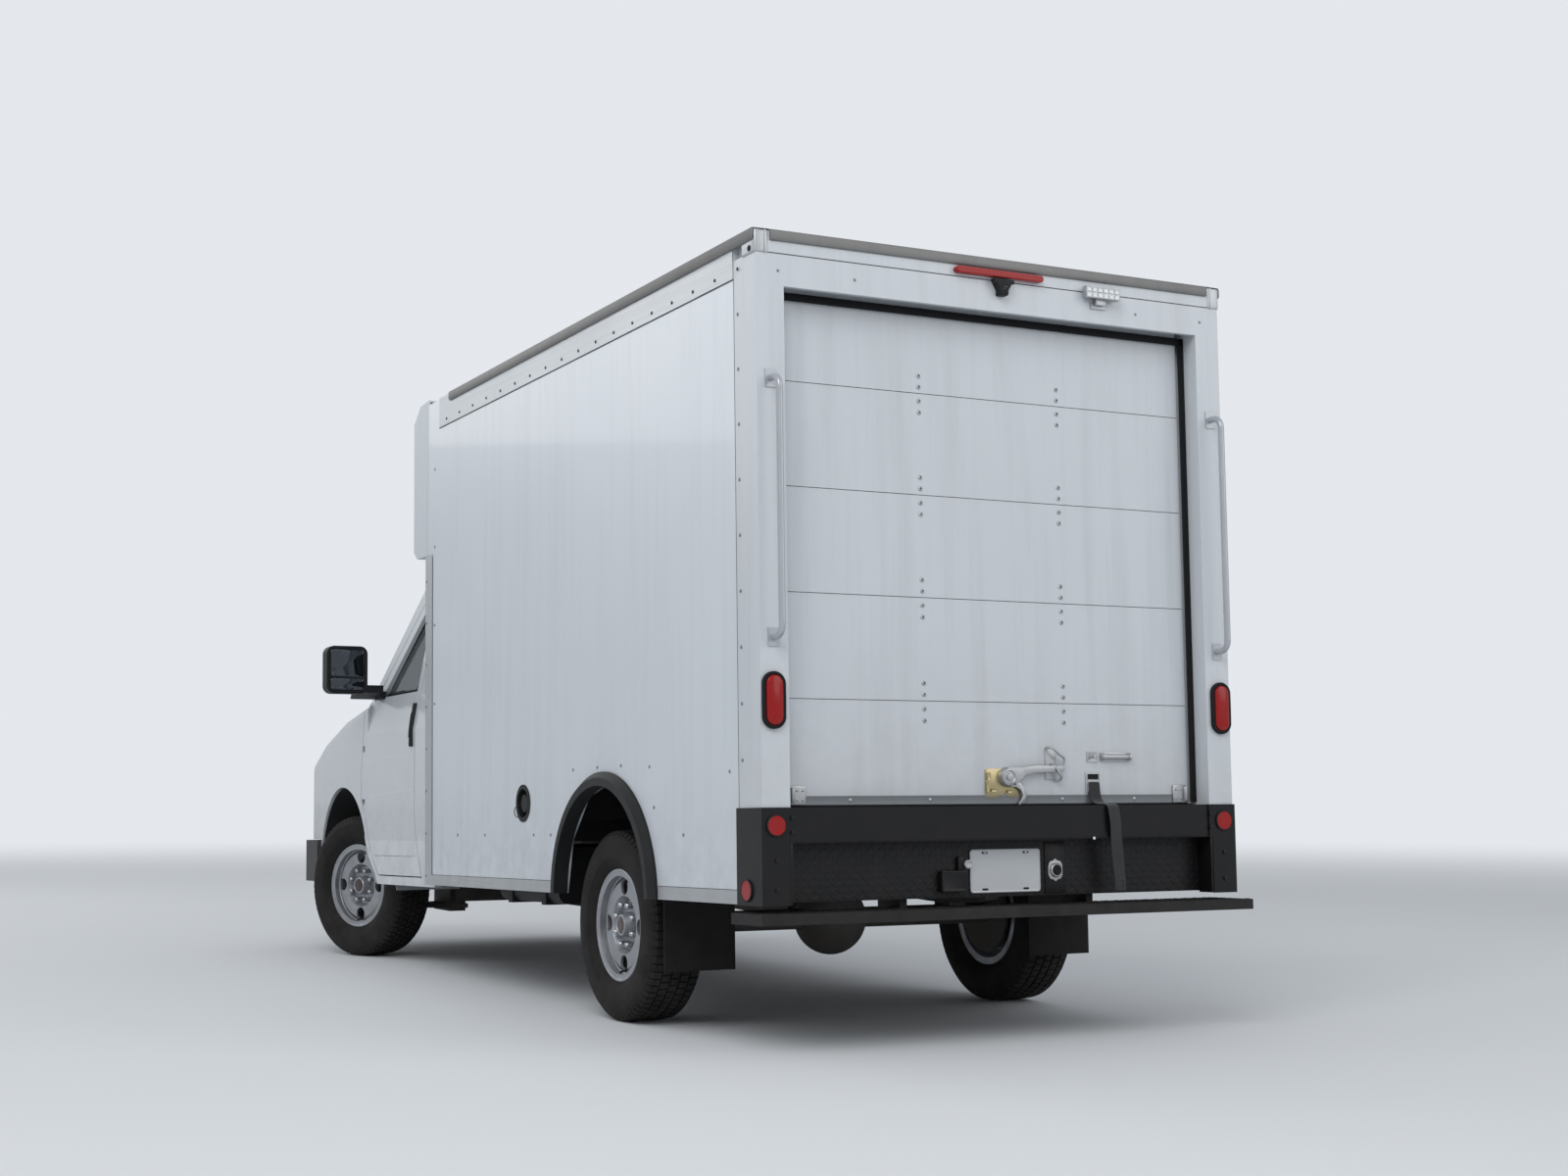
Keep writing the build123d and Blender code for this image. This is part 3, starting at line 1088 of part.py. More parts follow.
def cab_form(inset, rear):
    """The cab's whole form as one solid, drawn in by the inset."""
    with BuildPart() as house:
        extrude(cab_section(rear, inset), amount=COWL_X - rear)
        add(glass_prism(inset), mode=Mode.INTERSECT)
    with BuildPart() as form:
        extrude(cab_section(rear, inset), amount=DOOR_BELT_X - rear)
        split(bisect_by=Plane.XY.offset(BELT_Z - inset / 4), keep=Keep.BOTTOM)
        add(house.part)
        add(nose_form(inset * CLIP_WALL / CAB_WALL).part)
    return form


def arch_prism(margin, near_y, depth):
    """The front wheel arch's outline through a side, widened by the margin."""
    radius = FRONT_ARCH_RADIUS + margin
    tail = [(x - margin, z) for x, z in ARCH_TAIL]
    front_x = FRONT_ARCH_X + sqrt(radius**2 - (ARCH_TAIL[0][1] - FRONT_ARCH_Z) ** 2)
    with BuildPart() as arch:
        with BuildSketch(side_plane(near_y)):
            with BuildLine():
                crest = (FRONT_ARCH_X, FRONT_ARCH_Z + radius)
                rise = ARCH_TAIL[0][1] - FRONT_ARCH_Z
                start = (FRONT_ARCH_X - sqrt(radius**2 - rise**2), ARCH_TAIL[0][1])
                ThreePointArc(start, crest, (front_x, ARCH_TAIL[0][1]))
                Polyline((front_x, ARCH_TAIL[0][1]), (front_x + 10, ARCH_TAIL[2][1]), tail[2], tail[1], start)
            make_face()
        extrude(amount=depth)
    return arch.part


def door_prism(margin, near_y, depth):
    """The left door's outline through the side, widened by the margin."""
    run = (HEADER_X - COWL_X) / HEADER_RISE
    pillar = 92
    base_x = COWL_X - GLASS_BOW - pillar + (BELT_Z - COWL_Z) * run + margin * hypot(run, 1)
    top = DOOR_TOP_Z + margin
    top_x = base_x + (top - BELT_Z) * run
    rear = DOOR_REAR_X - margin * 1.5
    low = DOOR_LOW_Z - margin
    arch = FRONT_ARCH_RADIUS + ARCH_LIP - margin * 1.5
    lip_z = 900
    lip_x = FRONT_ARCH_X - sqrt(arch**2 - (lip_z - FRONT_ARCH_Z) ** 2)
    foot_z = ARCH_TAIL[0][1]
    foot_x = FRONT_ARCH_X - sqrt(arch**2 - (foot_z - FRONT_ARCH_Z) ** 2)
    mid_z = (lip_z + foot_z) / 2
    mid_x = FRONT_ARCH_X - sqrt(arch**2 - (mid_z - FRONT_ARCH_Z) ** 2)
    with BuildPart() as door:
        with BuildSketch(side_plane(near_y)):
            with BuildLine():
                Polyline(
                    (foot_x, foot_z),
                    (ARCH_TAIL[1][0] - ARCH_LIP + margin, low),
                    (rear - 60, low),
                    (rear, low + 330),
                    (rear - margin * 0.3, BELT_Z),
                    (rear - margin * 1.8, top),
                    (top_x, top),
                    (base_x + margin * run, BELT_Z + margin),
                    (DOOR_BELT_X + margin, BELT_Z + margin),
                    (DOOR_FRONT_X + margin, DOOR_FRONT_Z),
                    (lip_x, lip_z),
                )
                ThreePointArc((lip_x, lip_z), (mid_x, mid_z), (foot_x, foot_z))
            make_face()
        extrude(amount=depth)
        block(
            (DOOR_CORNER_X, DOOR_FRONT_X + margin + 1),
            (near_y - depth - 1, DOOR_IN_Y - margin * 1.7),
            (DOOR_CORNER_Z, BELT_Z + margin),
            mode=Mode.SUBTRACT,
        )
    return door.part


def window_prism(margin, near_y, depth):
    """The left door's window, in from the door's edge by its border less the margin."""
    run = (HEADER_X - COWL_X) / HEADER_RISE
    border = WINDOW_BORDER - margin
    sill = BELT_Z + 14 - margin
    top = DOOR_TOP_Z - border
    front = COWL_X - GLASS_BOW - 92 + (sill - COWL_Z) * run - border * hypot(run, 1)
    with BuildPart() as window:
        with BuildSketch(side_plane(near_y)):
            Polygon(
                (DOOR_REAR_X + border, sill),
                (front, sill),
                (front + (top - sill) * run, top),
                (DOOR_REAR_X + border, top),
                align=None,
            )
        extrude(amount=depth)
    return window.part


outer_form = cab_form(0, CAB_REAR_X).part
inner_form = cab_form(CAB_WALL, CAB_REAR_X + CAB_WALL).part
FAR_Y = CAB_HALF + 60            # where cuts through a side begin
SIDE_CUT = 320
FENDER_X = WHEELBASE - 381


def mirrored(part):
    """The same piece on the right side."""
    with BuildPart() as other:
        add(part)
        mirror(about=Plane.XZ, mode=Mode.REPLACE)
    return other.part


def glass_outline(margin):
    """The windshield's outline seen from the front, widened by the margin, as a prism along X."""
    low, high = COWL_Z + 20 - margin, CAB_RAIL_Z + 6 + margin
    foot, head = GLASS_FOOT_HALF + margin, GLASS_HEAD_HALF + margin
    with BuildPart() as prism:
        with BuildSketch(cross_plane(CAB_REAR_X + 300)) as outline:
            Polygon((foot, low), (head, high), (-head, high), (-foot, low), align=None)
            fillet(outline.vertices(), radius=30)
        extrude(amount=COWL_X - CAB_REAR_X)
    return prism.part


nose_solid = nose_form(0).part
with BuildPart() as cab_shell:
    add(outer_form)
    add(inner_form, mode=Mode.SUBTRACT)
    split(bisect_by=Plane.XY.offset(SILL_Z), keep=Keep.TOP)
with BuildPart() as fender_zone:
    add(nose_solid)
    split(bisect_by=Plane.YZ.offset(FENDER_X), keep=Keep.TOP)

# Doors: whole-thickness panels with a framed window
door_cut = door_prism(0, FAR_Y, SIDE_CUT)
wide_cut = door_prism(PANEL_GAP, FAR_Y, SIDE_CUT)
with BuildPart() as door_left:
    add(cab_shell.part)
    add(door_cut, mode=Mode.INTERSECT)
    add(window_prism(0, FAR_Y, SIDE_CUT), mode=Mode.SUBTRACT)
    pocket_out = HINGE_Y_OUT + HINGE_PIN_RADIUS + RUN_CLEARANCE
    pocket_half = HINGE_ARM_HALF[1] + 1
    for z in HINGE_LEVELS:
        block(
            (HINGE_X - 8, DOOR_FRONT_X + 1),
            (DOOR_IN_Y, pocket_out),
            (z - pocket_half, z + pocket_half),
            mode=Mode.SUBTRACT,
        )
        reach = HINGE_PIN_HALF + RUN_CLEARANCE
        bore = HINGE_PIN_RADIUS + RUN_CLEARANCE
        rod((HINGE_X, HINGE_Y_OUT, z - reach), (HINGE_X, HINGE_Y_OUT, z + reach), bore, mode=Mode.SUBTRACT)
hand_in(door_left, "door_left")
with BuildPart() as door_right:
    add(mirrored(door_left.part))
hand_in(door_right, "door_right")

with BuildPart() as glass_left:
    add(cab_form(CAB_WALL / 2 - GLASS / 2, CAB_REAR_X + CAB_WALL).part)
    add(cab_form(CAB_WALL / 2 + GLASS / 2, CAB_REAR_X + CAB_WALL).part, mode=Mode.SUBTRACT)
    add(window_prism(-RUN_CLEARANCE, FAR_Y, SIDE_CUT), mode=Mode.INTERSECT)
hand_in(glass_left, "glass_left")
with BuildPart() as glass_right:
    add(mirrored(glass_left.part))
hand_in(glass_right, "glass_right")

# Cab body: roof, pillars, back and rockers, open at the doors and the windshield
with BuildPart() as cab_body:
    add(cab_shell.part)
    add(fender_zone.part, mode=Mode.SUBTRACT)
    add(wide_cut, mode=Mode.SUBTRACT)
    add(mirrored(wide_cut), mode=Mode.SUBTRACT)
    add(glass_outline(RUN_CLEARANCE), mode=Mode.SUBTRACT)
    add(arch_prism(0, FAR_Y, SIDE_CUT), mode=Mode.SUBTRACT)
    add(mirrored(arch_prism(0, FAR_Y, SIDE_CUT)), mode=Mode.SUBTRACT)
    half = CAB_HALF - CAB_WALL - 1
    through = (CAB_REAR_X - 1, CAB_REAR_X + CAB_WALL + 1)
    block(through, (-half, half), (SILL_Z - 1, CAB_FLOOR_Z[0]), mode=Mode.SUBTRACT)
hand_in(cab_body, "cab_body")

with BuildPart() as windshield:
    add(glass_prism(0))
    add(glass_prism(GLASS), mode=Mode.SUBTRACT)
    add(glass_outline(0), mode=Mode.INTERSECT)
hand_in(windshield, "windshield")


# Hood, and the fenders round it with their wheelhouses
def hood_prism(margin, rear_margin):
    """The hood's plan outline as an upright prism, widened by the margins."""
    with BuildPart() as prism:
        with BuildSketch(Plane.XY.offset(1000)):
            slope = (HOOD_HALF[1] - HOOD_HALF[0]) / (HOOD_FRONT_X - HOOD_REAR_X)
            rear, front = HOOD_REAR_X - rear_margin, HOOD_FRONT_X + margin
            rear_half = HOOD_HALF[0] + margin - rear_margin * slope
            front_half = HOOD_HALF[1] + margin + margin * slope
            corners = ((rear, rear_half), (rear, -rear_half), (front, -front_half), (front, front_half))
            Polygon(*corners, align=None)
        extrude(amount=600)
    return prism.part


with BuildPart() as hood:
    add(nose_solid)
    add(nose_form(CLIP_WALL).part, mode=Mode.SUBTRACT)
    add(hood_prism(0, 0), mode=Mode.INTERSECT)
hand_in(hood, "hood")

LAMP_X = NOSE_X - 252
with BuildPart() as lamp_pockets:
    block((LAMP_X, NOSE_X + 60), LAMP_Y, LAMP_Z)
    mirror(about=Plane.XZ)
WHEELHOUSE_Y = CAB_HALF - CLIP_WALL + 4
SUPPORT_X = (NOSE_X - 192, NOSE_X - 176)
SUPPORT_Z = 706
STOP_Y = 640
STOP_RADIUS = 14
DOOR_SWEEP_Y = 885
DOOR_SWEEP_X = DOOR_FRONT_X + 22
with BuildPart() as wheelhouse:
    add(arch_prism(WHEELHOUSE_SHEET, WHEELHOUSE_Y, WHEELHOUSE_Y - WHEELHOUSE_IN_Y))
    add(arch_prism(0, WHEELHOUSE_Y, WHEELHOUSE_Y - WHEELHOUSE_IN_Y - WHEELHOUSE_SHEET), mode=Mode.SUBTRACT)
    arch_back = ARCH_TAIL[2][0] - 100
    inner_sheet = (WHEELHOUSE_IN_Y - 1, WHEELHOUSE_IN_Y + WHEELHOUSE_SHEET)
    block((arch_back, NOSE_X), inner_sheet, (SILL_Z - 76, 640), mode=Mode.SUBTRACT)
    sweep_y = (DOOR_SWEEP_Y, WHEELHOUSE_Y + 1)
    block((arch_back, DOOR_SWEEP_X), sweep_y, (SILL_Z - 76, 1000), mode=Mode.SUBTRACT)
with BuildPart() as radiator_support:
    block(SUPPORT_X, (-CAB_HALF, CAB_HALF), (SUPPORT_Z, 1100))
    for side in (-1, 1):
        stop = (sum(SUPPORT_X) / 2, side * STOP_Y)
        rod((*stop, 1090), (*stop, 1220), STOP_RADIUS)
    add(nose_form(CLIP_WALL + RUN_CLEARANCE).part, mode=Mode.INTERSECT)
    block(SUPPORT_X, (930, 955), (SUPPORT_Z, 900))
    block(SUPPORT_X, (-955, -930), (SUPPORT_Z, 900))
with BuildPart() as fenders:
    add(fender_zone.part)
    add(inner_form, mode=Mode.SUBTRACT)
    add(hood_prism(PANEL_GAP, COWL_GAP), mode=Mode.SUBTRACT)
    for cut in (wide_cut, arch_prism(0, FAR_Y, SIDE_CUT)):
        add(cut, mode=Mode.SUBTRACT)
        add(mirrored(cut), mode=Mode.SUBTRACT)
    add(lamp_pockets.part, mode=Mode.SUBTRACT)
    block((NOSE_X - 200, NOSE_X + 60), (-GRILLE_HALF, GRILLE_HALF), GRILLE_Z, mode=Mode.SUBTRACT)
    across = (-CAB_HALF - 60, CAB_HALF + 60)
    block((BUMPER_REAR_X - 4, NOSE_X + 60), across, (SILL_Z - 60, BUMPER_Z[1] + 4), mode=Mode.SUBTRACT)
    split(bisect_by=Plane.XY.offset(SILL_Z), keep=Keep.TOP)
    add(wheelhouse.part)
    add(mirrored(wheelhouse.part))
    add(radiator_support.part)
hand_in(fenders, "fenders")

# Headlamps fill their pockets
with BuildPart() as headlamps:
    block((LAMP_X + 1, NOSE_X + 60), (LAMP_Y[0] + 1, LAMP_Y[1] - 1), (LAMP_Z[0] + 1, LAMP_Z[1] - 1))
    mirror(about=Plane.XZ)
    add(nose_solid, mode=Mode.INTERSECT)
    add(nose_form(CLIP_WALL + 30).part, mode=Mode.SUBTRACT)
hand_in(headlamps, "headlamps")

# Grille: bars on the nose's bow, before a closed back
GRILLE_DEPTH = 60
GRILLE_FRAME = 26
with BuildPart() as grille:
    inner = GRILLE_HALF - RUN_CLEARANCE
    mouth_z = (GRILLE_Z[0] + RUN_CLEARANCE, GRILLE_Z[1] - RUN_CLEARANCE)
    block((NOSE_X - 160, NOSE_X + 60), (-inner, inner), mouth_z)
    add(nose_form(4).part, mode=Mode.INTERSECT)
    add(nose_form(4 + GRILLE_DEPTH).part, mode=Mode.SUBTRACT)
    window = (GRILLE_Z[1] - GRILLE_Z[0] - GRILLE_FRAME) / (GRILLE_BARS + 1) - GRILLE_FRAME
    for bar in range(GRILLE_BARS + 1):
        low = GRILLE_Z[0] + GRILLE_FRAME + bar * (window + GRILLE_FRAME)
        block(
            (NOSE_X - GRILLE_DEPTH + 10, NOSE_X + 60),
            (-GRILLE_HALF + GRILLE_FRAME, GRILLE_HALF - GRILLE_FRAME),
            (low, low + window),
            mode=Mode.SUBTRACT,
        )
hand_in(grille, "grille")


# Front bumper: a bowed bar wrapped round the nose, on two brackets from the rails
def bumper_plan(inset):
    """Plan outline of the bumper's outer face, drawn in by the inset."""
    with BuildSketch(Plane.XY.offset(BUMPER_Z[0])) as plan:
        with BuildLine():
            front, half = BUMPER_X - inset, CAB_HALF - inset
            corner, wing = (front - 40, 730), (front - 190, half)
            bend = (front - 86, half - 84)
            Polyline(wing, (BUMPER_REAR_X, half), (BUMPER_REAR_X, -half), (wing[0], -half))
            ThreePointArc((wing[0], -half), (bend[0], -bend[1]), (corner[0], -corner[1]))
            ThreePointArc((corner[0], -corner[1]), (front, 0), corner)
            ThreePointArc(corner, bend, wing)
        make_face()
    return plan.sketch


with BuildPart() as front_bumper:
    height = BUMPER_Z[1] - BUMPER_Z[0]
    extrude(bumper_plan(0), amount=height)
    extrude(bumper_plan(BUMPER_WALL), amount=height, mode=Mode.SUBTRACT)
    for side in (-1, 1):
        inner, outer = sorted((side * (RAIL_Y - 60), side * (RAIL_Y - 10)))
        horn_x = (RAIL_FRONT_X + RUN_CLEARANCE, BUMPER_X - BUMPER_WALL)
        block(horn_x, (inner, outer), (RAIL_TOP_FRONT - RAIL_HEIGHT + 30, RAIL_TOP_FRONT))
hand_in(front_bumper, "front_bumper")

# Cab floor and firewall on rubber mounts
MOUNT_X = (CAB_REAR_X + 185, FIREWALL_X - 350)
MOUNT_RADIUS = 38
FLOOR_FRONT_X = FIREWALL_X - 230
FIREWALL_TOP_Z = COWL_Z - 36
with BuildPart() as cab_floor:
    block((CAB_REAR_X + CAB_WALL + RUN_CLEARANCE, FLOOR_FRONT_X), (-938, 938), CAB_FLOOR_Z)
    block((FLOOR_FRONT_X - 1, FIREWALL_X), (-WHEELHOUSE_IN_Y + 1, WHEELHOUSE_IN_Y - 1), CAB_FLOOR_Z)
    block((FIREWALL_X - FIREWALL, FIREWALL_X), (-890, 890), (CAB_FLOOR_Z[0], FIREWALL_TOP_Z))
    for side in (-1, 1):
        inner, outer = sorted((side * (DOOR_SWEEP_Y - 25), side * DOOR_SWEEP_Y))
        block((FLOOR_FRONT_X - 10, FIREWALL_X), (inner, outer), (CAB_FLOOR_Z[0], FIREWALL_TOP_Z))
    liner = arch_prism(WHEELHOUSE_SHEET + RUN_CLEARANCE, FAR_Y, FAR_Y - WHEELHOUSE_IN_Y + RUN_CLEARANCE)
    add(liner, mode=Mode.SUBTRACT)
    add(mirrored(liner), mode=Mode.SUBTRACT)
    for z in HINGE_LEVELS:
        for side in (-1, 1):
            pin = (HINGE_X, side * HINGE_Y_OUT)
            rod((*pin, z - HINGE_PIN_HALF), (*pin, z + HINGE_PIN_HALF), HINGE_PIN_RADIUS)
            inner, outer = sorted((side * (DOOR_SWEEP_Y - 1), side * HINGE_Y_OUT))
            thick, tall = HINGE_ARM_HALF
            block((HINGE_X - thick, HINGE_X + thick), (inner, outer), (z - tall, z + tall))
    for x in MOUNT_X:
        for side in (-1, 1):
            y = side * (RAIL_Y - 35)
            rod((x, y, RAIL_TOP_FRONT + RUN_CLEARANCE), (x, y, CAB_FLOOR_Z[0] + 1), MOUNT_RADIUS)
hand_in(cab_floor, "cab_floor")

# Dashboard, and the steering wheel on the column that it carries
DASH_HALF = 770
DASH_X = (FIREWALL_X - 310, FIREWALL_X - FIREWALL - RUN_CLEARANCE)
WHEEL_TILT = 32
COLUMN_RADIUS = 28
COLUMN_LENGTH = 240
WHEEL_RIM_RADIUS = 190
WHEEL_GRIP_RADIUS = 15
COLUMN_RUN = Vector(-cos(radians(WHEEL_TILT)), 0, sin(radians(WHEEL_TILT)))
COLUMN_FOOT = Vector(DASH_X[0] + 50, SEAT_Y, 1120)
WHEEL_HUB = COLUMN_FOOT + COLUMN_RUN * COLUMN_LENGTH
with BuildPart() as dash:
    with BuildSketch(side_plane(DASH_HALF)):
        Polygon(
            (DASH_X[1], 980),
            (DASH_X[0] + 100, 1000),
            (DASH_X[0], 1130),
            (DASH_X[0], 1260),
            (DASH_X[0] + 70, 1352),
            (DASH_X[0] + 190, 1378),
            (DASH_X[1], 1340),
            align=None,
        )
    extrude(amount=2 * DASH_HALF)
    rod(COLUMN_FOOT, WHEEL_HUB, COLUMN_RADIUS + RUN_CLEARANCE, mode=Mode.SUBTRACT)
hand_in(dash, "dash")

with BuildPart() as steering_wheel:
    rod(COLUMN_FOOT + COLUMN_RUN * RUN_CLEARANCE, WHEEL_HUB, COLUMN_RADIUS)
    with Locations(Plane(origin=WHEEL_HUB, x_dir=(0, 1, 0), z_dir=COLUMN_RUN)):
        Box(2 * WHEEL_RIM_RADIUS, 34, 14)
        Cylinder(58, 34)
    with BuildSketch(Plane(origin=WHEEL_HUB, x_dir=(0, 1, 0), z_dir=COLUMN_RUN.cross(Vector(0, 1, 0)))):
        with Locations((WHEEL_RIM_RADIUS, 0)):
            RegularPolygon(WHEEL_GRIP_RADIUS, 8)
    revolve(axis=Axis(WHEEL_HUB, COLUMN_RUN))
hand_in(steering_wheel, "steering_wheel")

# Seats: cushion, back and head restraint
SEAT_HALF = 235
CUSHION_X = (CAB_REAR_X + 445, CAB_REAR_X + 895)
CUSHION_Z = 1000
with BuildPart() as seats:
    for side in (-1, 1):
        low, high = side * SEAT_Y - SEAT_HALF, side * SEAT_Y + SEAT_HALF
        block(CUSHION_X, (low, high), (CAB_FLOOR_Z[1] + RUN_CLEARANCE, CUSHION_Z))
        with BuildSketch(side_plane(high)):
            back = CUSHION_X[0] - 120
            Polygon((back, 900), (back + 150, 900), (back + 60, 1560), (back - 50, 1560), align=None)
        extrude(amount=high - low)
        block((back - 45, back + 40), (side * SEAT_Y - 120, side * SEAT_Y + 120), (1550, 1750))
    fillet(seats.edges().filter_by(Axis.Y).group_by(Axis.Z)[-1], radius=20)
hand_in(seats, "seats")

# Mirrors: a tall head on an arm from the door's front corner
with BuildPart() as mirror_left:
    block((MIRROR_X - MIRROR_DEPTH / 2, MIRROR_X + MIRROR_DEPTH / 2), MIRROR_Y, MIRROR_Z)
    fillet(mirror_left.edges().filter_by(Axis.X), radius=40)
    fillet(mirror_left.faces().sort_by(Axis.X)[-1].edges(), radius=36)
    with BuildSketch(side_plane(MIRROR_Y[0] + 30)):
        arm = MIRROR_X
        foot = ((arm + 110, 1436), (arm + 150, 1440), (arm + 100, 1496))
        Polygon((arm - 55, 1500), (arm - 55, 1462), *foot, align=None)
    extrude(amount=MIRROR_Y[0] + 30 - 990)
    block((MIRROR_X - 30, MIRROR_X + 80), (BELT_HALF - 20, 995), (BELT_Z + 4, 1470))
    add(cab_form(-RUN_CLEARANCE, CAB_REAR_X).part, mode=Mode.SUBTRACT)
hand_in(mirror_left, "mirror_left")
with BuildPart() as mirror_right:
    add(mirrored(mirror_left.part))
hand_in(mirror_right, "mirror_right")
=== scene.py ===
import bmesh
import bpy
from math import cos, pi, radians, sin
from mathutils import Matrix, Vector


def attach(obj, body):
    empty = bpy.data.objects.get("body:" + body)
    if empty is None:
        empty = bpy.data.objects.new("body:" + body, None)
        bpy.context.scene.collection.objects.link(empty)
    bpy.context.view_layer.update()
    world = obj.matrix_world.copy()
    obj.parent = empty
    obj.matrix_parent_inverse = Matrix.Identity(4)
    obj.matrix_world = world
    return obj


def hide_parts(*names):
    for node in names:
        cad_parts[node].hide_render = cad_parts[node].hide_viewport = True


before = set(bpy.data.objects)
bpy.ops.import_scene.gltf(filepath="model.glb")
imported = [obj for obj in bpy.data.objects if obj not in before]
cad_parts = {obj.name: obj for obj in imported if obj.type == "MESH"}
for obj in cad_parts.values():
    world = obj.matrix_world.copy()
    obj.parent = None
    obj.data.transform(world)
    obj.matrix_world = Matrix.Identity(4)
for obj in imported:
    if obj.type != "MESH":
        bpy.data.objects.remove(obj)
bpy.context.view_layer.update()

# The truck is drawn level in metres, with X forward from the rear axle and Z up from the ground.
# Its stance then tips it nose-down about the rear axle, as the solids are tipped.
RAKE = radians(1.375)
AXLE_Z = 0.374
MIDDLE_X = 1.53
STANCE = (
    Matrix.Translation((-MIDDLE_X, 0, AXLE_Z)) @ Matrix.Rotation(RAKE, 4, "Y") @ Matrix.Translation((0, 0, -AXLE_Z))
)
ON_THE_ROAD = Matrix.Translation((-MIDDLE_X, 0, 0))
OUT_LEFT = Matrix.Rotation(-pi / 2, 4, "X")
OUT_RIGHT = Matrix.Rotation(pi / 2, 4, "X")
OUT_REAR = Matrix.Rotation(-pi / 2, 4, "Y")
UPWARD = Matrix.Identity(4)
WELD = 0.00002
FACING = 0.9
SIDES = ((1, "left"), (-1, "right"))

# Distances that several pieces share
POST_FACE = -1.3362
BEAM_FACE = -1.3432
WALL_OUT = 1.0182
RAIL_OUT = 1.0222
SEAT_OUT = 0.47
WHEELBASE = 3.531
REAR_HUB_OUT = 0.863
KINGPIN_OUT = 0.79
HUB_FROM_KINGPIN = 0.08
STEERED = 22
TREAD_LUGS = 72


# Workshop helpers
def free():
    """Nothing selected, in object mode."""
    if bpy.context.mode != "OBJECT":
        bpy.ops.object.mode_set(mode="OBJECT")
    bpy.ops.object.select_all(action="DESELECT")


def take(piece):
    free()
    piece.select_set(True)
    bpy.context.view_layer.objects.active = piece


def set_down(piece):
    """The place goes into the mesh."""
    take(piece)
    bpy.ops.object.transform_apply(location=True, rotation=True, scale=True)
    return piece


def slab(name, low, high):
    free()
    size = [b - a for a, b in zip(low, high)]
    middle = [(a + b) / 2 for a, b in zip(low, high)]
    bpy.ops.mesh.primitive_cube_add(size=1, location=middle, scale=size)
    piece = bpy.context.object
    piece.name = name
    return set_down(piece)


def side_slab(name, side, x, y, z):
    """Block on one side of the truck: ranges of X, of distance from the middle, and of Z."""
    across = sorted(side * edge for edge in y)
    return slab(name, (x[0], across[0], z[0]), (x[1], across[1], z[1]))


def bar(name, foot, head, radius, sides=32):
    """Round bar between two points."""
    free()
    foot, head = Vector(foot), Vector(head)
    turn = (head - foot).to_track_quat("Z", "Y").to_euler()
    bpy.ops.mesh.primitive_cone_add(
        vertices=sides,
        radius1=radius,
        radius2=radius,
        depth=(head - foot).length,
        location=(foot + head) / 2,
        rotation=turn,
    )
    piece = bpy.context.object
    piece.name = name
    return set_down(piece)


def dome(name, centre, size, rings=12, segments=24):
    free()
    bpy.ops.mesh.primitive_uv_sphere_add(segments=segments, ring_count=rings, location=centre, scale=size)
    piece = bpy.context.object
    piece.name = name
    return set_down(piece)


def choose(piece, test, kind="FACE"):
    """Opens the piece for work with the faces, edges or points chosen that pass the test."""
    take(piece)
    bpy.ops.object.mode_set(mode="EDIT")
    bpy.ops.mesh.select_mode(type=kind)
    bpy.ops.mesh.select_all(action="DESELECT")
    mesh = bmesh.from_edit_mesh(piece.data)
    for face in mesh.faces if kind == "FACE" else ():
        face.select_set(bool(test(face.calc_center_median(), face.normal)))
    for edge in mesh.edges if kind == "EDGE" else ():
        edge.select_set(bool(test((edge.verts[0].co + edge.verts[1].co) / 2, edge.verts[1].co - edge.verts[0].co)))
    for point in mesh.verts if kind == "VERT" else ():
        point.select_set(bool(test(point.co, point.normal)))
    bmesh.update_edit_mesh(piece.data)


def pressed(piece, *steps, out=OUT_REAR):
    """The face that looks along out is stepped: each step is its width and its depth."""
    direction = out @ Vector((0, 0, 1))
    choose(piece, lambda at, up: up.dot(direction) > FACING)
    for width, depth in steps:
        bpy.ops.mesh.inset(thickness=width, depth=depth)
    free()
    return piece


def shift(piece, test, value, **more):
    """Moves the points that pass the test."""
    choose(piece, test, "VERT")
    bpy.ops.transform.translate(value=value, **more)


def resized(piece, test, value, centre, kind="VERT"):
    """Scales what passes the test about a centre."""
    choose(piece, test, kind)
    bpy.ops.transform.resize(value=value, center_override=centre)


def apply(piece, kind, **values):
    take(piece)
    bpy.ops.object.modifier_add(type=kind)
    work = piece.modifiers[-1]
    for key, value in values.items():
        setattr(work, key, value)
    bpy.ops.object.modifier_apply(modifier=work.name)
    return piece


def soften(piece, width, segments=2, angle=30):
    return apply(piece, "BEVEL", width=width, segments=segments, limit_method="ANGLE", angle_limit=radians(angle))


def chain(name, points):
    """A thin line of points, drawn by extruding one corner from place to place."""
    free()
    bpy.ops.mesh.primitive_plane_add(size=0.001, location=points[0])
    piece = bpy.context.object
    piece.name = name
    set_down(piece)
    choose(piece, lambda at, up: True, "VERT")
    bpy.ops.mesh.merge(type="CENTER")
    for near, far in zip(points, points[1:]):
        bpy.ops.mesh.extrude_region_move(TRANSFORM_OT_translate={"value": Vector(far) - Vector(near)})
    return piece


def turned(name, outline, centre, axis, steps=48, closed=True):
    """Spun shape: outline gives (along the axis, radius) pairs."""
    axis = Vector(axis).normalized()
    side = axis.orthogonal().normalized()
    points = [Vector(centre) + axis * along + side * radius for along, radius in outline]
    if closed:
        points.append(points[0])
    piece = chain(name, points)
    bpy.ops.mesh.select_all(action="SELECT")
    bpy.ops.mesh.spin(steps=steps, angle=2 * pi, center=centre, axis=axis)
    bpy.ops.mesh.select_all(action="SELECT")
    bpy.ops.mesh.remove_doubles(threshold=WELD)
    bpy.ops.mesh.normals_make_consistent(inside=False)
    free()
    return piece


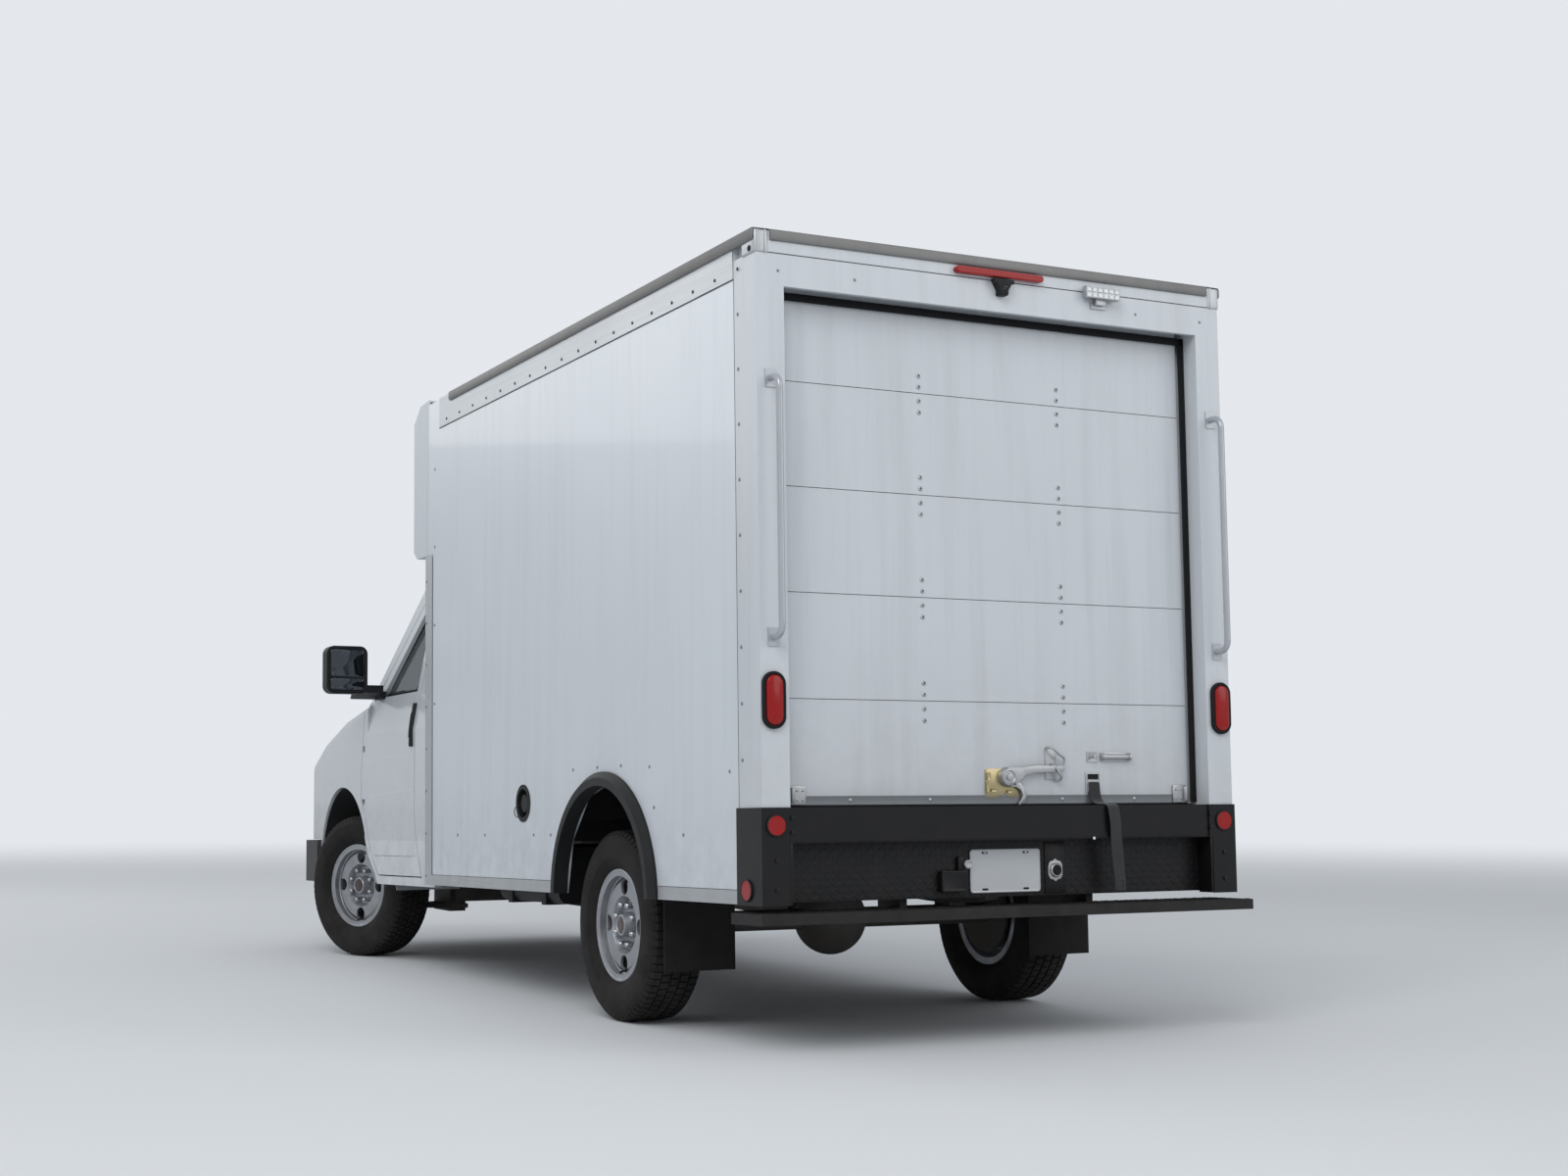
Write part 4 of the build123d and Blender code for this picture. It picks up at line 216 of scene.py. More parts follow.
def sheet_of(name, outline, thickness):
    """Flat plate: its outline filled and pushed out by the thickness vector."""
    piece = chain(name, list(outline) + [outline[0]])
    bpy.ops.mesh.select_all(action="SELECT")
    bpy.ops.mesh.remove_doubles(threshold=WELD)
    bpy.ops.mesh.select_all(action="SELECT")
    bpy.ops.mesh.edge_face_add()
    bpy.ops.mesh.select_all(action="SELECT")
    bpy.ops.mesh.extrude_region_move(TRANSFORM_OT_translate={"value": thickness})
    bpy.ops.mesh.select_all(action="SELECT")
    bpy.ops.mesh.normals_make_consistent(inside=False)
    free()
    return piece


def swept(name, points, radius, smooth_run=True, sides=4, flat=None):
    """Round or flat bar that follows points."""
    line = bpy.data.curves.new(name, "CURVE")
    line.dimensions = "3D"
    run = line.splines.new("NURBS" if smooth_run else "POLY")
    run.points.add(len(points) - 1)
    for knot, place in zip(run.points, points):
        knot.co = (*place, 1)
    if smooth_run:
        run.order_u = 3
        run.use_endpoint_u = True
        run.resolution_u = 8
    line.bevel_depth = radius
    line.bevel_resolution = sides
    if flat:
        line.extrude = flat / 2
        line.bevel_resolution = 1
    line.use_fill_caps = True
    piece = bpy.data.objects.new(name, line)
    bpy.context.scene.collection.objects.link(piece)
    take(piece)
    bpy.ops.object.convert(target="MESH")
    return set_down(bpy.context.object)


def twin(model, name=None):
    """A copy with its own mesh."""
    copy = model.copy()
    copy.data = model.data.copy()
    if name:
        copy.name = name
    bpy.context.scene.collection.objects.link(copy)
    return copy


def joined(name, pieces):
    free()
    for piece in pieces:
        piece.select_set(True)
    bpy.context.view_layer.objects.active = pieces[0]
    bpy.ops.object.join()
    pieces[0].name = name
    return set_down(pieces[0])


def spread(name, model, places):
    """One model copied to every place, each copy with its own mesh, and joined."""
    copies = []
    for place in places:
        copy = twin(model)
        copy.matrix_world = place
        copies.append(copy)
    bpy.data.objects.remove(model)
    return joined(name, copies)


def mirrored(piece, name):
    """The same piece on the truck's right side."""
    copy = twin(piece, name)
    copy.scale = (1, -1, 1)
    set_down(copy)
    choose(copy, lambda at, up: True)
    bpy.ops.mesh.normals_make_consistent(inside=False)
    free()
    return copy


def facing(turn, places):
    return [Matrix.Translation(place) @ turn for place in places]


def fit(piece, material, body="chassis", slot=None, stands_for=(), place=STANCE, angle=35):
    """Stands the finished piece where the truck stands, and gives it its finish and its body."""
    take(piece)
    piece.matrix_world = place @ piece.matrix_world
    set_down(piece)
    bpy.ops.object.shade_smooth_by_angle(angle=radians(angle))
    piece.data.materials.clear()
    piece.data.materials.append(material)
    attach(piece, body)
    slot = slot or SLOTS[material]
    if stands_for:
        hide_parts(*stands_for)
    free()
    return piece


# Shared effects
def plug(tree, node, links):
    """Joins a node's inputs to what feeds them, or sets them."""
    for socket, source in dict(links).items():
        if hasattr(source, "is_output"):
            tree.links.new(source, node.inputs[socket])
        else:
            node.inputs[socket].default_value = source
    return node


def wire(tree, kind, links=(), **values):
    """One new node, with its inputs joined or set and its own settings."""
    node = tree.nodes.new(kind)
    for key, value in values.items():
        setattr(node, key, value)
    return plug(tree, node, links)


def own_place(tree):
    return wire(tree, "ShaderNodeTexCoord").outputs["Object"]


def noise(tree, place, scale, detail, rough=0.5):
    links = {"Vector": place, "Scale": scale, "Detail": detail, "Roughness": rough}
    return wire(tree, "ShaderNodeTexNoise", links).outputs


def maths(tree, operation, *inputs, clamp=False):
    return wire(tree, "ShaderNodeMath", dict(enumerate(inputs)), operation=operation, use_clamp=clamp).outputs[0]


def vectors(tree, operation, *inputs):
    return wire(tree, "ShaderNodeVectorMath", dict(enumerate(inputs)), operation=operation).outputs


def ranged(tree, value, start=0.0, end=1.0, low=0.0, high=1.0):
    """A value's range from start to end, spread from low to high."""
    links = {"Value": value, "From Min": start, "From Max": end, "To Min": low, "To Max": high}
    return wire(tree, "ShaderNodeMapRange", links).outputs["Result"]


def bumped(tree, height, strength, distance, under=None):
    links = {"Height": height, "Strength": strength, "Distance": distance}
    if under:
        links["Normal"] = under
    return wire(tree, "ShaderNodeBump", links).outputs[0]


def effect(name, inputs, output):
    tree = bpy.data.node_groups.new(name, "ShaderNodeTree")
    for label, value in inputs:
        tree.interface.new_socket(label, in_out="INPUT", socket_type="NodeSocketFloat").default_value = value
    tree.interface.new_socket(output, in_out="OUTPUT", socket_type="NodeSocketFloat")
    return tree, tree.nodes.new("NodeGroupInput").outputs, tree.nodes.new("NodeGroupOutput").inputs[output]


def road_dust():
    """Dirt thrown up from the road, thickest low down."""
    tree, given, end = effect("road dust", [("Top", 1.4), ("Amount", 0.5), ("Scale", 9.0)], "Mask")
    place = own_place(tree)
    height = wire(tree, "ShaderNodeSeparateXYZ", {"Vector": place}).outputs["Z"]
    fade = ranged(tree, height, given["Top"], 0.15)
    patchy = ranged(tree, noise(tree, place, given["Scale"], 7.0, 0.65)["Fac"], 0.3, 0.75)
    both = maths(tree, "MULTIPLY", fade, patchy)
    tree.links.new(maths(tree, "MULTIPLY", both, given["Amount"], clamp=True), end)
    return tree


def rain_streaks():
    """Faint runs that water leaves down an upright panel."""
    tree, given, end = effect("rain streaks", [("Amount", 0.3), ("Fineness", 14.0)], "Mask")
    narrow = vectors(tree, "MULTIPLY", own_place(tree), (1.0, 1.0, 0.05))[0]
    thin = ranged(tree, noise(tree, narrow, given["Fineness"], 6.0, 0.6)["Fac"], 0.46, 0.74)
    tree.links.new(maths(tree, "MULTIPLY", thin, given["Amount"], clamp=True), end)
    return tree


def fine_grain():
    """Small pebbled skin of moulded plastic, rubber and cast metal."""
    tree, given, end = effect("fine grain", [("Scale", 900.0), ("Coarse", 0.3)], "Height")
    place = own_place(tree)
    small = wire(tree, "ShaderNodeTexVoronoi", {"Vector": place, "Scale": given["Scale"]}).outputs["Distance"]
    large = noise(tree, place, 60.0, 5.0, 0.6)["Fac"]
    tree.links.new(maths(tree, "MULTIPLY_ADD", large, given["Coarse"], small), end)
    return tree


def drawn_lines():
    """Lines that rolling or extruding leaves along the metal, or across it where Upright is 1."""
    tree, given, end = effect("drawn lines", [("Scale", 240.0), ("Upright", 0.0)], "Lines")
    apart = wire(tree, "ShaderNodeSeparateXYZ", {"Vector": own_place(tree)}).outputs
    level = maths(tree, "SUBTRACT", 1.0, given["Upright"])
    across = maths(tree, "MULTIPLY", apart["Z"], level)
    along = maths(tree, "MULTIPLY", apart["X"], given["Upright"])
    joint = wire(tree, "ShaderNodeCombineXYZ", {"X": along, "Y": apart["Y"], "Z": across}).outputs[0]
    tree.links.new(noise(tree, joint, given["Scale"], 3.0, 0.55)["Fac"], end)
    return tree


def scuffs():
    """Small scratches and rubbed spots."""
    tree, given, end = effect("scuffs", [("Scale", 30.0), ("Amount", 0.4)], "Mask")
    place = own_place(tree)
    shift = vectors(tree, "ADD", place, noise(tree, place, 4.0, 3.0)["Color"])[0]
    thin = ranged(tree, noise(tree, shift, given["Scale"], 9.0, 0.75)["Fac"], 0.6, 0.72)
    tree.links.new(maths(tree, "MULTIPLY", thin, given["Amount"]), end)
    return tree


EFFECTS = {
    "dust": road_dust(),
    "streaks": rain_streaks(),
    "grain": fine_grain(),
    "lines": drawn_lines(),
    "scuffs": scuffs(),
}
DUST_BROWN = (0.16, 0.135, 0.11, 1.0)


def put_effect(tree, name, output, **inputs):
    node = tree.nodes.new("ShaderNodeGroup")
    node.node_tree = EFFECTS[name]
    for key, value in inputs.items():
        node.inputs[key].default_value = value
    return node.outputs[output]


def blend_colour(tree, mask, under, over):
    node = wire(tree, "ShaderNodeMix", {0: mask, 6: under, 7: over}, data_type="RGBA")
    return node.outputs[2]


def new_finish(name):
    material = bpy.data.materials.new(name)
    material.use_nodes = True
    tree = material.node_tree
    return material, tree, tree.nodes["Principled BSDF"]


def finish(
    name,
    colour,
    rough,
    metal=0.0,
    shade=0.08,
    cloud=1.6,
    dust=0.0,
    dust_top=1.3,
    streaks=0.0,
    scuff=0.0,
    scuff_colour=None,
    grain=0.0,
    grain_scale=900.0,
    lines=0.0,
    upright=0.0,
    line_scale=240.0,
    wave=0.0,
    coat=0.0,
    sheen=0.0,
    glint=0.5,
):
    """A surface with its own tone, wear, dirt and texture."""
    material, tree, shader = new_finish(name)
    place = own_place(tree)
    tone = noise(tree, place, cloud, 4.0)["Fac"]
    dark = [c * (1 - shade) for c in colour] + [1.0]
    light = [min(1.0, c * (1 + shade)) for c in colour] + [1.0]
    now = blend_colour(tree, tone, dark, light)
    gloss = ranged(tree, tone, low=max(0.02, rough - 0.06), high=min(1.0, rough + 0.06))
    normal = drawn = None
    if lines:
        drawn = put_effect(tree, "lines", "Lines", Scale=line_scale, Upright=upright)
        now = blend_colour(tree, maths(tree, "MULTIPLY", drawn, lines), now, [c * 0.78 for c in colour] + [1.0])
        gloss = maths(tree, "MULTIPLY_ADD", drawn, 0.22, gloss)
    if scuff:
        mask = put_effect(tree, "scuffs", "Mask", Amount=scuff)
        now = blend_colour(tree, mask, now, (*(scuff_colour or [min(1.0, c * 1.8 + 0.03) for c in colour]), 1.0))
        gloss = maths(tree, "MULTIPLY_ADD", mask, 0.3, gloss)
    if streaks:
        mask = put_effect(tree, "streaks", "Mask", Amount=streaks)
        now = blend_colour(tree, mask, now, (*[c * 0.55 + 0.02 for c in colour], 1.0))
    if dust:
        mask = put_effect(tree, "dust", "Mask", Amount=dust, Top=dust_top)
        now = blend_colour(tree, mask, now, DUST_BROWN)
        gloss = maths(tree, "MULTIPLY_ADD", mask, 0.45, gloss)
    plug(tree, shader, {"Base Color": now, "Roughness": gloss, "Metallic": metal, "Coat Weight": coat,
                        "Coat Roughness": 0.06, "Sheen Weight": sheen, "Specular IOR Level": glint})
    if grain:
        pebble = put_effect(tree, "grain", "Height", Scale=grain_scale)
        normal = bumped(tree, pebble, grain, 0.0006)
    if lines:
        normal = bumped(tree, drawn, min(1.0, lines), 0.0003, normal)
    if wave:
        normal = bumped(tree, noise(tree, place, 1.3, 1.0)["Fac"], wave, 0.02, normal)
    if normal:
        tree.links.new(normal, shader.inputs["Normal"])
    return material


def glass(name, tint, rough, weight):
    """Window glass or a lamp's lens: clear, with a tint and a little dirt on it."""
    material, tree, shader = new_finish(name)
    film = noise(tree, own_place(tree), 5.0, 5.0)["Fac"]
    now = blend_colour(tree, film, (*tint, 1.0), (*[c * 0.85 for c in tint], 1.0))
    dirt = put_effect(tree, "dust", "Mask", Amount=0.12, Top=2.2)
    now = blend_colour(tree, dirt, now, (*[c * 0.5 for c in tint], 1.0))
    gloss = ranged(tree, film, low=rough, high=rough + 0.05)
    plug(tree, shader, {"Base Color": now, "Roughness": gloss, "Transmission Weight": weight, "IOR": 1.5})
    return material


def lens_red(name, fineness):
    """Moulded red lens: a fine square pattern of ribs under a glossy skin."""
    material, tree, shader = new_finish(name)
    ribs = wire(tree, "ShaderNodeTexChecker", {"Vector": own_place(tree), "Scale": fineness}).outputs["Fac"]
    now = blend_colour(tree, ribs, (0.36, 0.004, 0.004, 1.0), (0.24, 0.003, 0.004, 1.0))
    dirt = put_effect(tree, "dust", "Mask", Amount=0.08, Top=1.5)
    plug(tree, shader, {"Base Color": blend_colour(tree, dirt, now, DUST_BROWN), "Roughness": 0.16,
                        "Specular IOR Level": 0.3, "Coat Weight": 0.15, "Normal": bumped(tree, ribs, 0.25, 0.001)})
    return material


def planks():
    """Load floor: hardwood strips laid lengthways, worn lines between them, black below and at the edges."""
    material, tree, shader = new_finish("floor_wood")
    place = wire(tree, "ShaderNodeTexCoord").outputs
    strips = wire(
        tree,
        "ShaderNodeTexBrick",
        {
            "Vector": place["Object"],
            "Color1": (0.3, 0.19, 0.1, 1.0),
            "Color2": (0.24, 0.15, 0.08, 1.0),
            "Mortar": (0.05, 0.035, 0.025, 1.0),
            "Scale": 1.0,
            "Mortar Size": 0.0016,
            "Brick Width": 0.9,
            "Row Height": 0.032,
        },
    ).outputs
    fibre = vectors(tree, "MULTIPLY", place["Object"], (2.0, 60.0, 60.0))[0]
    grain = maths(tree, "MULTIPLY", noise(tree, fibre, 2.0, 6.0)["Fac"], 0.5)
    now = blend_colour(tree, grain, strips["Color"], (0.1, 0.065, 0.04, 1.0))
    now = blend_colour(tree, put_effect(tree, "scuffs", "Mask", Amount=0.3, Scale=9.0), now, (0.33, 0.27, 0.21, 1.0))
    upright = wire(tree, "ShaderNodeSeparateXYZ", {"Vector": place["Normal"]}).outputs["Z"]
    now = blend_colour(tree, maths(tree, "GREATER_THAN", upright, 0.5), (0.01, 0.01, 0.011, 1.0), now)
    worn = bumped(tree, strips["Fac"], 0.5, -0.001)
    plug(tree, shader, {"Base Color": now, "Roughness": 0.6, "Normal": worn})
    return material


def woven_seat():
    """Grey woven seat cloth."""
    material, tree, shader = new_finish("seat_cloth")
    thread = {"Vector": own_place(tree), "Scale": 330.0, "Distortion": 0.6}
    weft, warp = [wire(tree, "ShaderNodeTexWave", thread, bands_direction=way).outputs["Fac"] for way in "YZ"]
    weave = maths(tree, "MULTIPLY", weft, warp)
    now = blend_colour(tree, weave, (0.03, 0.032, 0.036, 1.0), (0.085, 0.088, 0.096, 1.0))
    raised = bumped(tree, weave, 0.5, 0.0008)
    plug(tree, shader, {"Base Color": now, "Roughness": 0.88, "Sheen Weight": 0.35, "Normal": raised})
    return material


def with_liner(name, colour, rough, coat, centre, radius, half):
    """White panel whose wheelhouse is black: within a radius of the axle line and inside the panel's skin."""
    material = finish(name, colour, rough, shade=0.02, streaks=0.06, dust=0.5, dust_top=1.1, coat=coat)
    tree = material.node_tree
    shader = tree.nodes["Principled BSDF"]
    from_axle = vectors(tree, "SUBTRACT", own_place(tree), centre)[0]
    across = wire(tree, "ShaderNodeSeparateXYZ", {"Vector": from_axle}).outputs
    upright = wire(tree, "ShaderNodeCombineXYZ", {"X": across["X"], "Z": across["Z"]}).outputs[0]
    near = maths(tree, "LESS_THAN", vectors(tree, "LENGTH", upright)["Value"], radius)
    inside = maths(tree, "LESS_THAN", maths(tree, "ABSOLUTE", across["Y"]), half)
    liner = maths(tree, "MULTIPLY", near, inside)
    paint = shader.inputs["Base Color"].links[0].from_socket
    gloss = shader.inputs["Roughness"].links[0].from_socket
    dark = blend_colour(tree, liner, paint, (0.008, 0.008, 0.009, 1.0))
    dull = maths(tree, "MULTIPLY_ADD", liner, 0.6, gloss, clamp=True)
    bare = ranged(tree, liner, low=coat, high=0.0)
    plug(tree, shader, {"Base Color": dark, "Roughness": dull, "Coat Weight": bare})
    return material


# Finishes
# The body whites are a cool blue-grey rather than full white: white paint with painted shade. The dim blue of the shade
# the truck stood in is taken partly into the colour.
box_white = finish("box_side_white", (0.62, 0.66, 0.7), 0.34, shade=0.03, streaks=0.16, dust=0.45, dust_top=1.0,
                   wave=0.1, coat=0.25)
door_white = finish("roll_door_white", (0.56, 0.59, 0.62), 0.4, shade=0.04, streaks=0.22, dust=0.3, dust_top=1.5,
                    scuff=0.06, scuff_colour=(0.3, 0.31, 0.32), grain=0.05, grain_scale=260.0)
post_white = finish("post_white", (0.58, 0.61, 0.64), 0.38, shade=0.04, streaks=0.22, dust=0.3, dust_top=1.4,
                    scuff=0.1, scuff_colour=(0.22, 0.22, 0.23))
cab_white = finish("cab_white", (0.6, 0.635, 0.67), 0.22, shade=0.02, streaks=0.06, dust=0.5, dust_top=1.1, coat=0.8)
cap_white = finish("cap_white", (0.58, 0.62, 0.65), 0.45, shade=0.04, streaks=0.18, grain=0.06, grain_scale=180.0)
aluminium = finish("extruded_aluminium", (0.55, 0.57, 0.59), 0.36, metal=0.85, shade=0.06, lines=0.5, dust=0.35,
                   dust_top=0.9, scuff=0.15, scuff_colour=(0.3, 0.31, 0.32))
zinc = finish("zinc_plate", (0.5, 0.51, 0.52), 0.34, metal=0.95, shade=0.14, cloud=30.0, lines=0.2, scuff=0.25,
              scuff_colour=(0.25, 0.24, 0.23), dust=0.2)
yellow_zinc = finish("yellow_zinc", (0.5, 0.42, 0.24), 0.36, metal=0.9, shade=0.18, cloud=40.0, scuff=0.2)
chassis_black = finish("chassis_black", (0.022, 0.022, 0.024), 0.55, shade=0.2, dust=0.75, dust_top=0.9, scuff=0.25,
                       scuff_colour=(0.12, 0.08, 0.055), grain=0.15, grain_scale=300.0)
engine_grey = finish("engine_grey", (0.16, 0.165, 0.17), 0.6, metal=0.5, shade=0.2, dust=0.4, grain=0.4,
                     grain_scale=240.0)
cast_grey = finish("cast_grey", (0.13, 0.125, 0.12), 0.7, metal=0.6, shade=0.25, dust=0.7, dust_top=0.8, scuff=0.4,
                   scuff_colour=(0.17, 0.08, 0.04), grain=0.5, grain_scale=200.0)
exhaust_steel = finish("exhaust_steel", (0.28, 0.25, 0.22), 0.5, metal=0.9, shade=0.25, cloud=6.0, scuff=0.5,
                       scuff_colour=(0.2, 0.1, 0.05), dust=0.5)
step_black = finish("step_black", (0.008, 0.008, 0.009), 0.55, shade=0.2, dust=0.16, dust_top=1.2, scuff=0.26,
                    scuff_colour=(0.06, 0.06, 0.065), grain=0.3, grain_scale=320.0, glint=0.3)
beam_black = finish("bumper_black", (0.004, 0.004, 0.005), 0.38, shade=0.2, dust=0.06, dust_top=1.1, scuff=0.08,
                    scuff_colour=(0.024, 0.024, 0.027), grain=0.08, glint=0.3)
rubber = finish("black_rubber", (0.006, 0.006, 0.007), 0.7, shade=0.2, dust=0.1, dust_top=1.4, grain=0.5,
                grain_scale=700.0, glint=0.25)
plastic = finish("black_plastic", (0.008, 0.009, 0.011), 0.52, shade=0.15, dust=0.1, dust_top=1.2, grain=0.55,
                 grain_scale=820.0, glint=0.3)
bumper_grey = finish("bumper_grey", (0.03, 0.032, 0.035), 0.55, shade=0.15, dust=0.2, grain=0.5, grain_scale=600.0)
handle_white = finish("handle_white", (0.44, 0.46, 0.49), 0.3, metal=0.3, shade=0.08, cloud=9.0, scuff=0.2,
                      scuff_colour=(0.2, 0.2, 0.21), coat=0.3)
strap_black = finish("strap_black", (0.02, 0.021, 0.023), 0.82, shade=0.2, sheen=0.4)
cabin_grey = finish("cabin_grey", (0.06, 0.062, 0.066), 0.62, shade=0.12, grain=0.6, grain_scale=600.0)
wheel_silver = finish("wheel_silver", (0.42, 0.44, 0.47), 0.4, metal=0.75, shade=0.1, cloud=12.0, dust=0.55,
                      dust_top=0.85, scuff=0.2, scuff_colour=(0.16, 0.13, 0.11), grain=0.1)
tyre_rubber = finish("tyre_rubber", (0.007, 0.007, 0.008), 0.76, shade=0.25, cloud=8.0, dust=0.2, dust_top=0.95,
                     scuff=0.13, scuff_colour=(0.03, 0.029, 0.028), grain=0.6, grain_scale=500.0, glint=0.25)
window_glass = glass("window_glass", (0.2, 0.24, 0.25), 0.02, 0.92)
lamp_clear = glass("lamp_clear", (0.85, 0.88, 0.9), 0.05, 0.85)
# The fenders take the cab's cool blue-grey: white paint with painted shade in the colour.
fender_white = with_liner("fender_white", (0.6, 0.635, 0.67), 0.22, 0.8, (2.05, 0.0, 0.44), 0.485, 0.978)
wheel_box_black = finish("undercoat_black", (0.012, 0.012, 0.012), 0.75, shade=0.3, dust=0.35, dust_top=1.1, grain=0.5,
                         grain_scale=260.0)
red_lens = lens_red("red_lens", 190.0)
floor_wood = planks()
seat_cloth = woven_seat()
rivet_dark = finish("rivet_dark", (0.035, 0.037, 0.042), 0.45, metal=0.4, shade=0.3, cloud=60.0)
rivet_pale = finish("rivet_pale", (0.22, 0.24, 0.27), 0.42, metal=0.5, shade=0.3, cloud=60.0, dust=0.4)
# The drip lips' aluminium is darkened to a brown-grey as painted shade: the dark band under each lip's overhang is
# shade. The streaks are real weathering.
lip_painted_shade_grey = finish("lip_aluminium_painted_shade", (0.26, 0.255, 0.25), 0.5, metal=0.55, shade=0.12, lines=0.4, streaks=0.3)
rail_grey = finish("rail_grey", (0.23, 0.25, 0.27), 0.42, metal=0.6, shade=0.12, lines=0.5, dust=0.3, scuff=0.2)
# Sealant's dark grey for the box's joints; the same finish makes the painted shade strips in the door's seams.
sealant_and_seam_shade = finish("sealant_and_painted_seam_shade", (0.05, 0.055, 0.065), 0.7, shade=0.3, cloud=20.0)
lens_dark = finish("camera_glass", (0.008, 0.009, 0.012), 0.08, shade=0.2, cloud=60.0, coat=1.0)
led_white = finish("led_white", (0.72, 0.74, 0.76), 0.18, shade=0.15, cloud=120.0, coat=0.5)
reflector_red = lens_red("reflector_red", 520.0)
plate_white = finish("plate_white", (0.52, 0.54, 0.56), 0.35, metal=0.2, shade=0.06, cloud=18.0, dust=0.2)
lug_chrome = finish("lug_chrome", (0.55, 0.57, 0.6), 0.22, metal=1.0, shade=0.1, cloud=80.0, dust=0.35, dust_top=1.3)
cap_chrome = finish("cap_ring_silver", (0.5, 0.52, 0.55), 0.3, metal=0.8, shade=0.1, cloud=40.0, dust=0.3)
cap_brown = finish("cap_disc_brown", (0.045, 0.022, 0.02), 0.35, shade=0.2, cloud=60.0, coat=0.4)
cap_red = finish("filler_cap_dark", (0.05, 0.014, 0.012), 0.45, shade=0.2, cloud=40.0, grain=0.3)
mirror_silver = finish("mirror_silver", (0.1, 0.11, 0.125), 0.03, metal=1.0, shade=0.02, cloud=4.0)
webbing = finish("webbing_black", (0.012, 0.012, 0.014), 0.8, shade=0.2, cloud=50.0, grain=0.7, grain_scale=1400.0,
                 sheen=0.3)
thread_grey = finish("thread_grey", (0.055, 0.057, 0.062), 0.8, shade=0.2, cloud=90.0)
lamp_white = finish("dial_white", (0.55, 0.56, 0.58), 0.5, shade=0.05, cloud=60.0)
amber_lens = finish("amber_lens", (0.62, 0.2, 0.02), 0.15, shade=0.15, cloud=90.0, coat=0.4)

# Which of the truck's named materials a finish belongs to
SLOTS = {}
for slot, finishes in {
    "aluminium": (aluminium, lip_painted_shade_grey, rail_grey),
    "zinc": (zinc, yellow_zinc, rivet_dark, rivet_pale, plate_white, cast_grey),
    "black_rubber": (rubber, sealant_and_seam_shade),
    "black_plastic": (plastic, lens_dark, cap_red),
    "red_lens": (red_lens, reflector_red),
    "lamp_clear": (lamp_clear, led_white, mirror_silver, amber_lens),
    "chassis_black": (beam_black, chassis_black),
    "step_black": (step_black,),
    "tyre": (tyre_rubber,),
    "wheel_steel": (lug_chrome, cap_chrome, cap_brown, wheel_silver),
    "cab_white": (cab_white,),
    "strap_black": (webbing,),
    "seat_fabric": (seat_cloth, thread_grey),
    "cabin_grey": (cabin_grey, lamp_white),
}.items():
    SLOTS.update(dict.fromkeys(finishes, slot))

# What each node's own solids are finished in
NODE_FINISH = (
    (chassis_black, "frame front_suspension"),
    (engine_grey, "engine"),
    (cast_grey, "driveline rear_axle knuckle_left knuckle_right"),
    (exhaust_steel, "exhaust"),
    (plastic, "fuel_tank fuel_filler arch_flares grille mirror_left mirror_right"),
    (floor_wood, "box_floor"),
    (wheel_box_black, "wheel_boxes"),
    (box_white, "box_wall_left box_wall_right box_bulkhead box_roof"),
    (aluminium, "box_rails"),
    (post_white, "rear_frame"),
    (cap_white, "nose_cap"),
    (door_white, "roll_door"),
    (zinc, "door_latch"),
    (strap_black, "pull_strap"),
    (handle_white, "grab_handles"),
    (beam_black, "rear_bumper"),
    (step_black, "rear_step"),
    (rubber, "mud_flaps"),
    (red_lens, "rear_lamps"),
    (cab_white, "cab_body hood door_left door_right"),
    (cabin_grey, "cab_floor dash steering_wheel"),
    (fender_white, "fenders"),
    (lamp_clear, "headlamps"),
    (bumper_grey, "front_bumper"),
    (window_glass, "windshield glass_left glass_right"),
    (seat_cloth, "seats"),
    (tyre_rubber, "tyre_rear_left tyre_rear_right tyre_front_left tyre_front_right"),
    (wheel_silver, "rim_rear_left rim_rear_right rim_front_left rim_front_right"),
)
for material, nodes in NODE_FINISH:
    for node in nodes.split():
        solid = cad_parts[node]
        if not solid.material_slots:
            solid.data.materials.append(material)
        for place in solid.material_slots:
            place.material = material


# Load body: rivets, seams, drip lips
DOOR_SEAMS = (1.2, 1.574, 1.948, 2.322)


def rivet(radius=0.007, height=0.0035):
    """Dome-head rivet, its head up along Z."""
    head = dome("rivet", (0, 0, 0), (radius, radius, height), rings=8, segments=12)
    choose(head, lambda at, up: True)
    bpy.ops.mesh.bisect(plane_co=(0, 0, 0), plane_no=(0, 0, 1), clear_inner=True, use_fill=True)
    free()
    return head


def rivet_rows():
    rail = [(-1.208 + 0.1795 * step, RAIL_OUT, 2.714) for step in range(18)]
    post = [(-1.199 + 0.00001 * step, WALL_OUT, 2.554 - 0.196 * step) for step in range(10)]
    trim = [(2.13, RAIL_OUT, 0.533 + 0.2035 * step) for step in range(8)]
    wall = [(2.022, WALL_OUT, z) for z in (1.356, 1.736, 2.116, 2.495)]
    low = [(x, WALL_OUT, 0.729) for x in (1.692, 1.333, 0.743, 0.553, -0.723)]
    arch = [(0.309, WALL_OUT, 0.993), (0.062, WALL_OUT, 0.997), (-0.169, WALL_OUT, 0.997), (-0.432, WALL_OUT, 0.985)]
    arch += [(-0.47, WALL_OUT, 0.832), (-1.1, WALL_OUT, 0.95)]
    for side, out in ((1, OUT_LEFT), (-1, OUT_RIGHT)):
        word = "left" if side == 1 else "right"
        for name, row, material in (
            ("rail_rivets_", rail, rivet_dark),
            ("wall_rivets_", post + wall + low + arch, rivet_pale),
            ("trim_rivets_", trim, rivet_pale),
        ):
            places = facing(out, [(x, side * y, z) for x, y, z in row])
            fit(spread(name + word, rivet(), places), material)
    header = [(-1.3372, y, 2.688) for y in (-0.93, -0.62, 0.62, 0.93)]
    fit(spread("header_rivets", rivet(0.005, 0.002), facing(OUT_REAR, header)), rivet_pale)


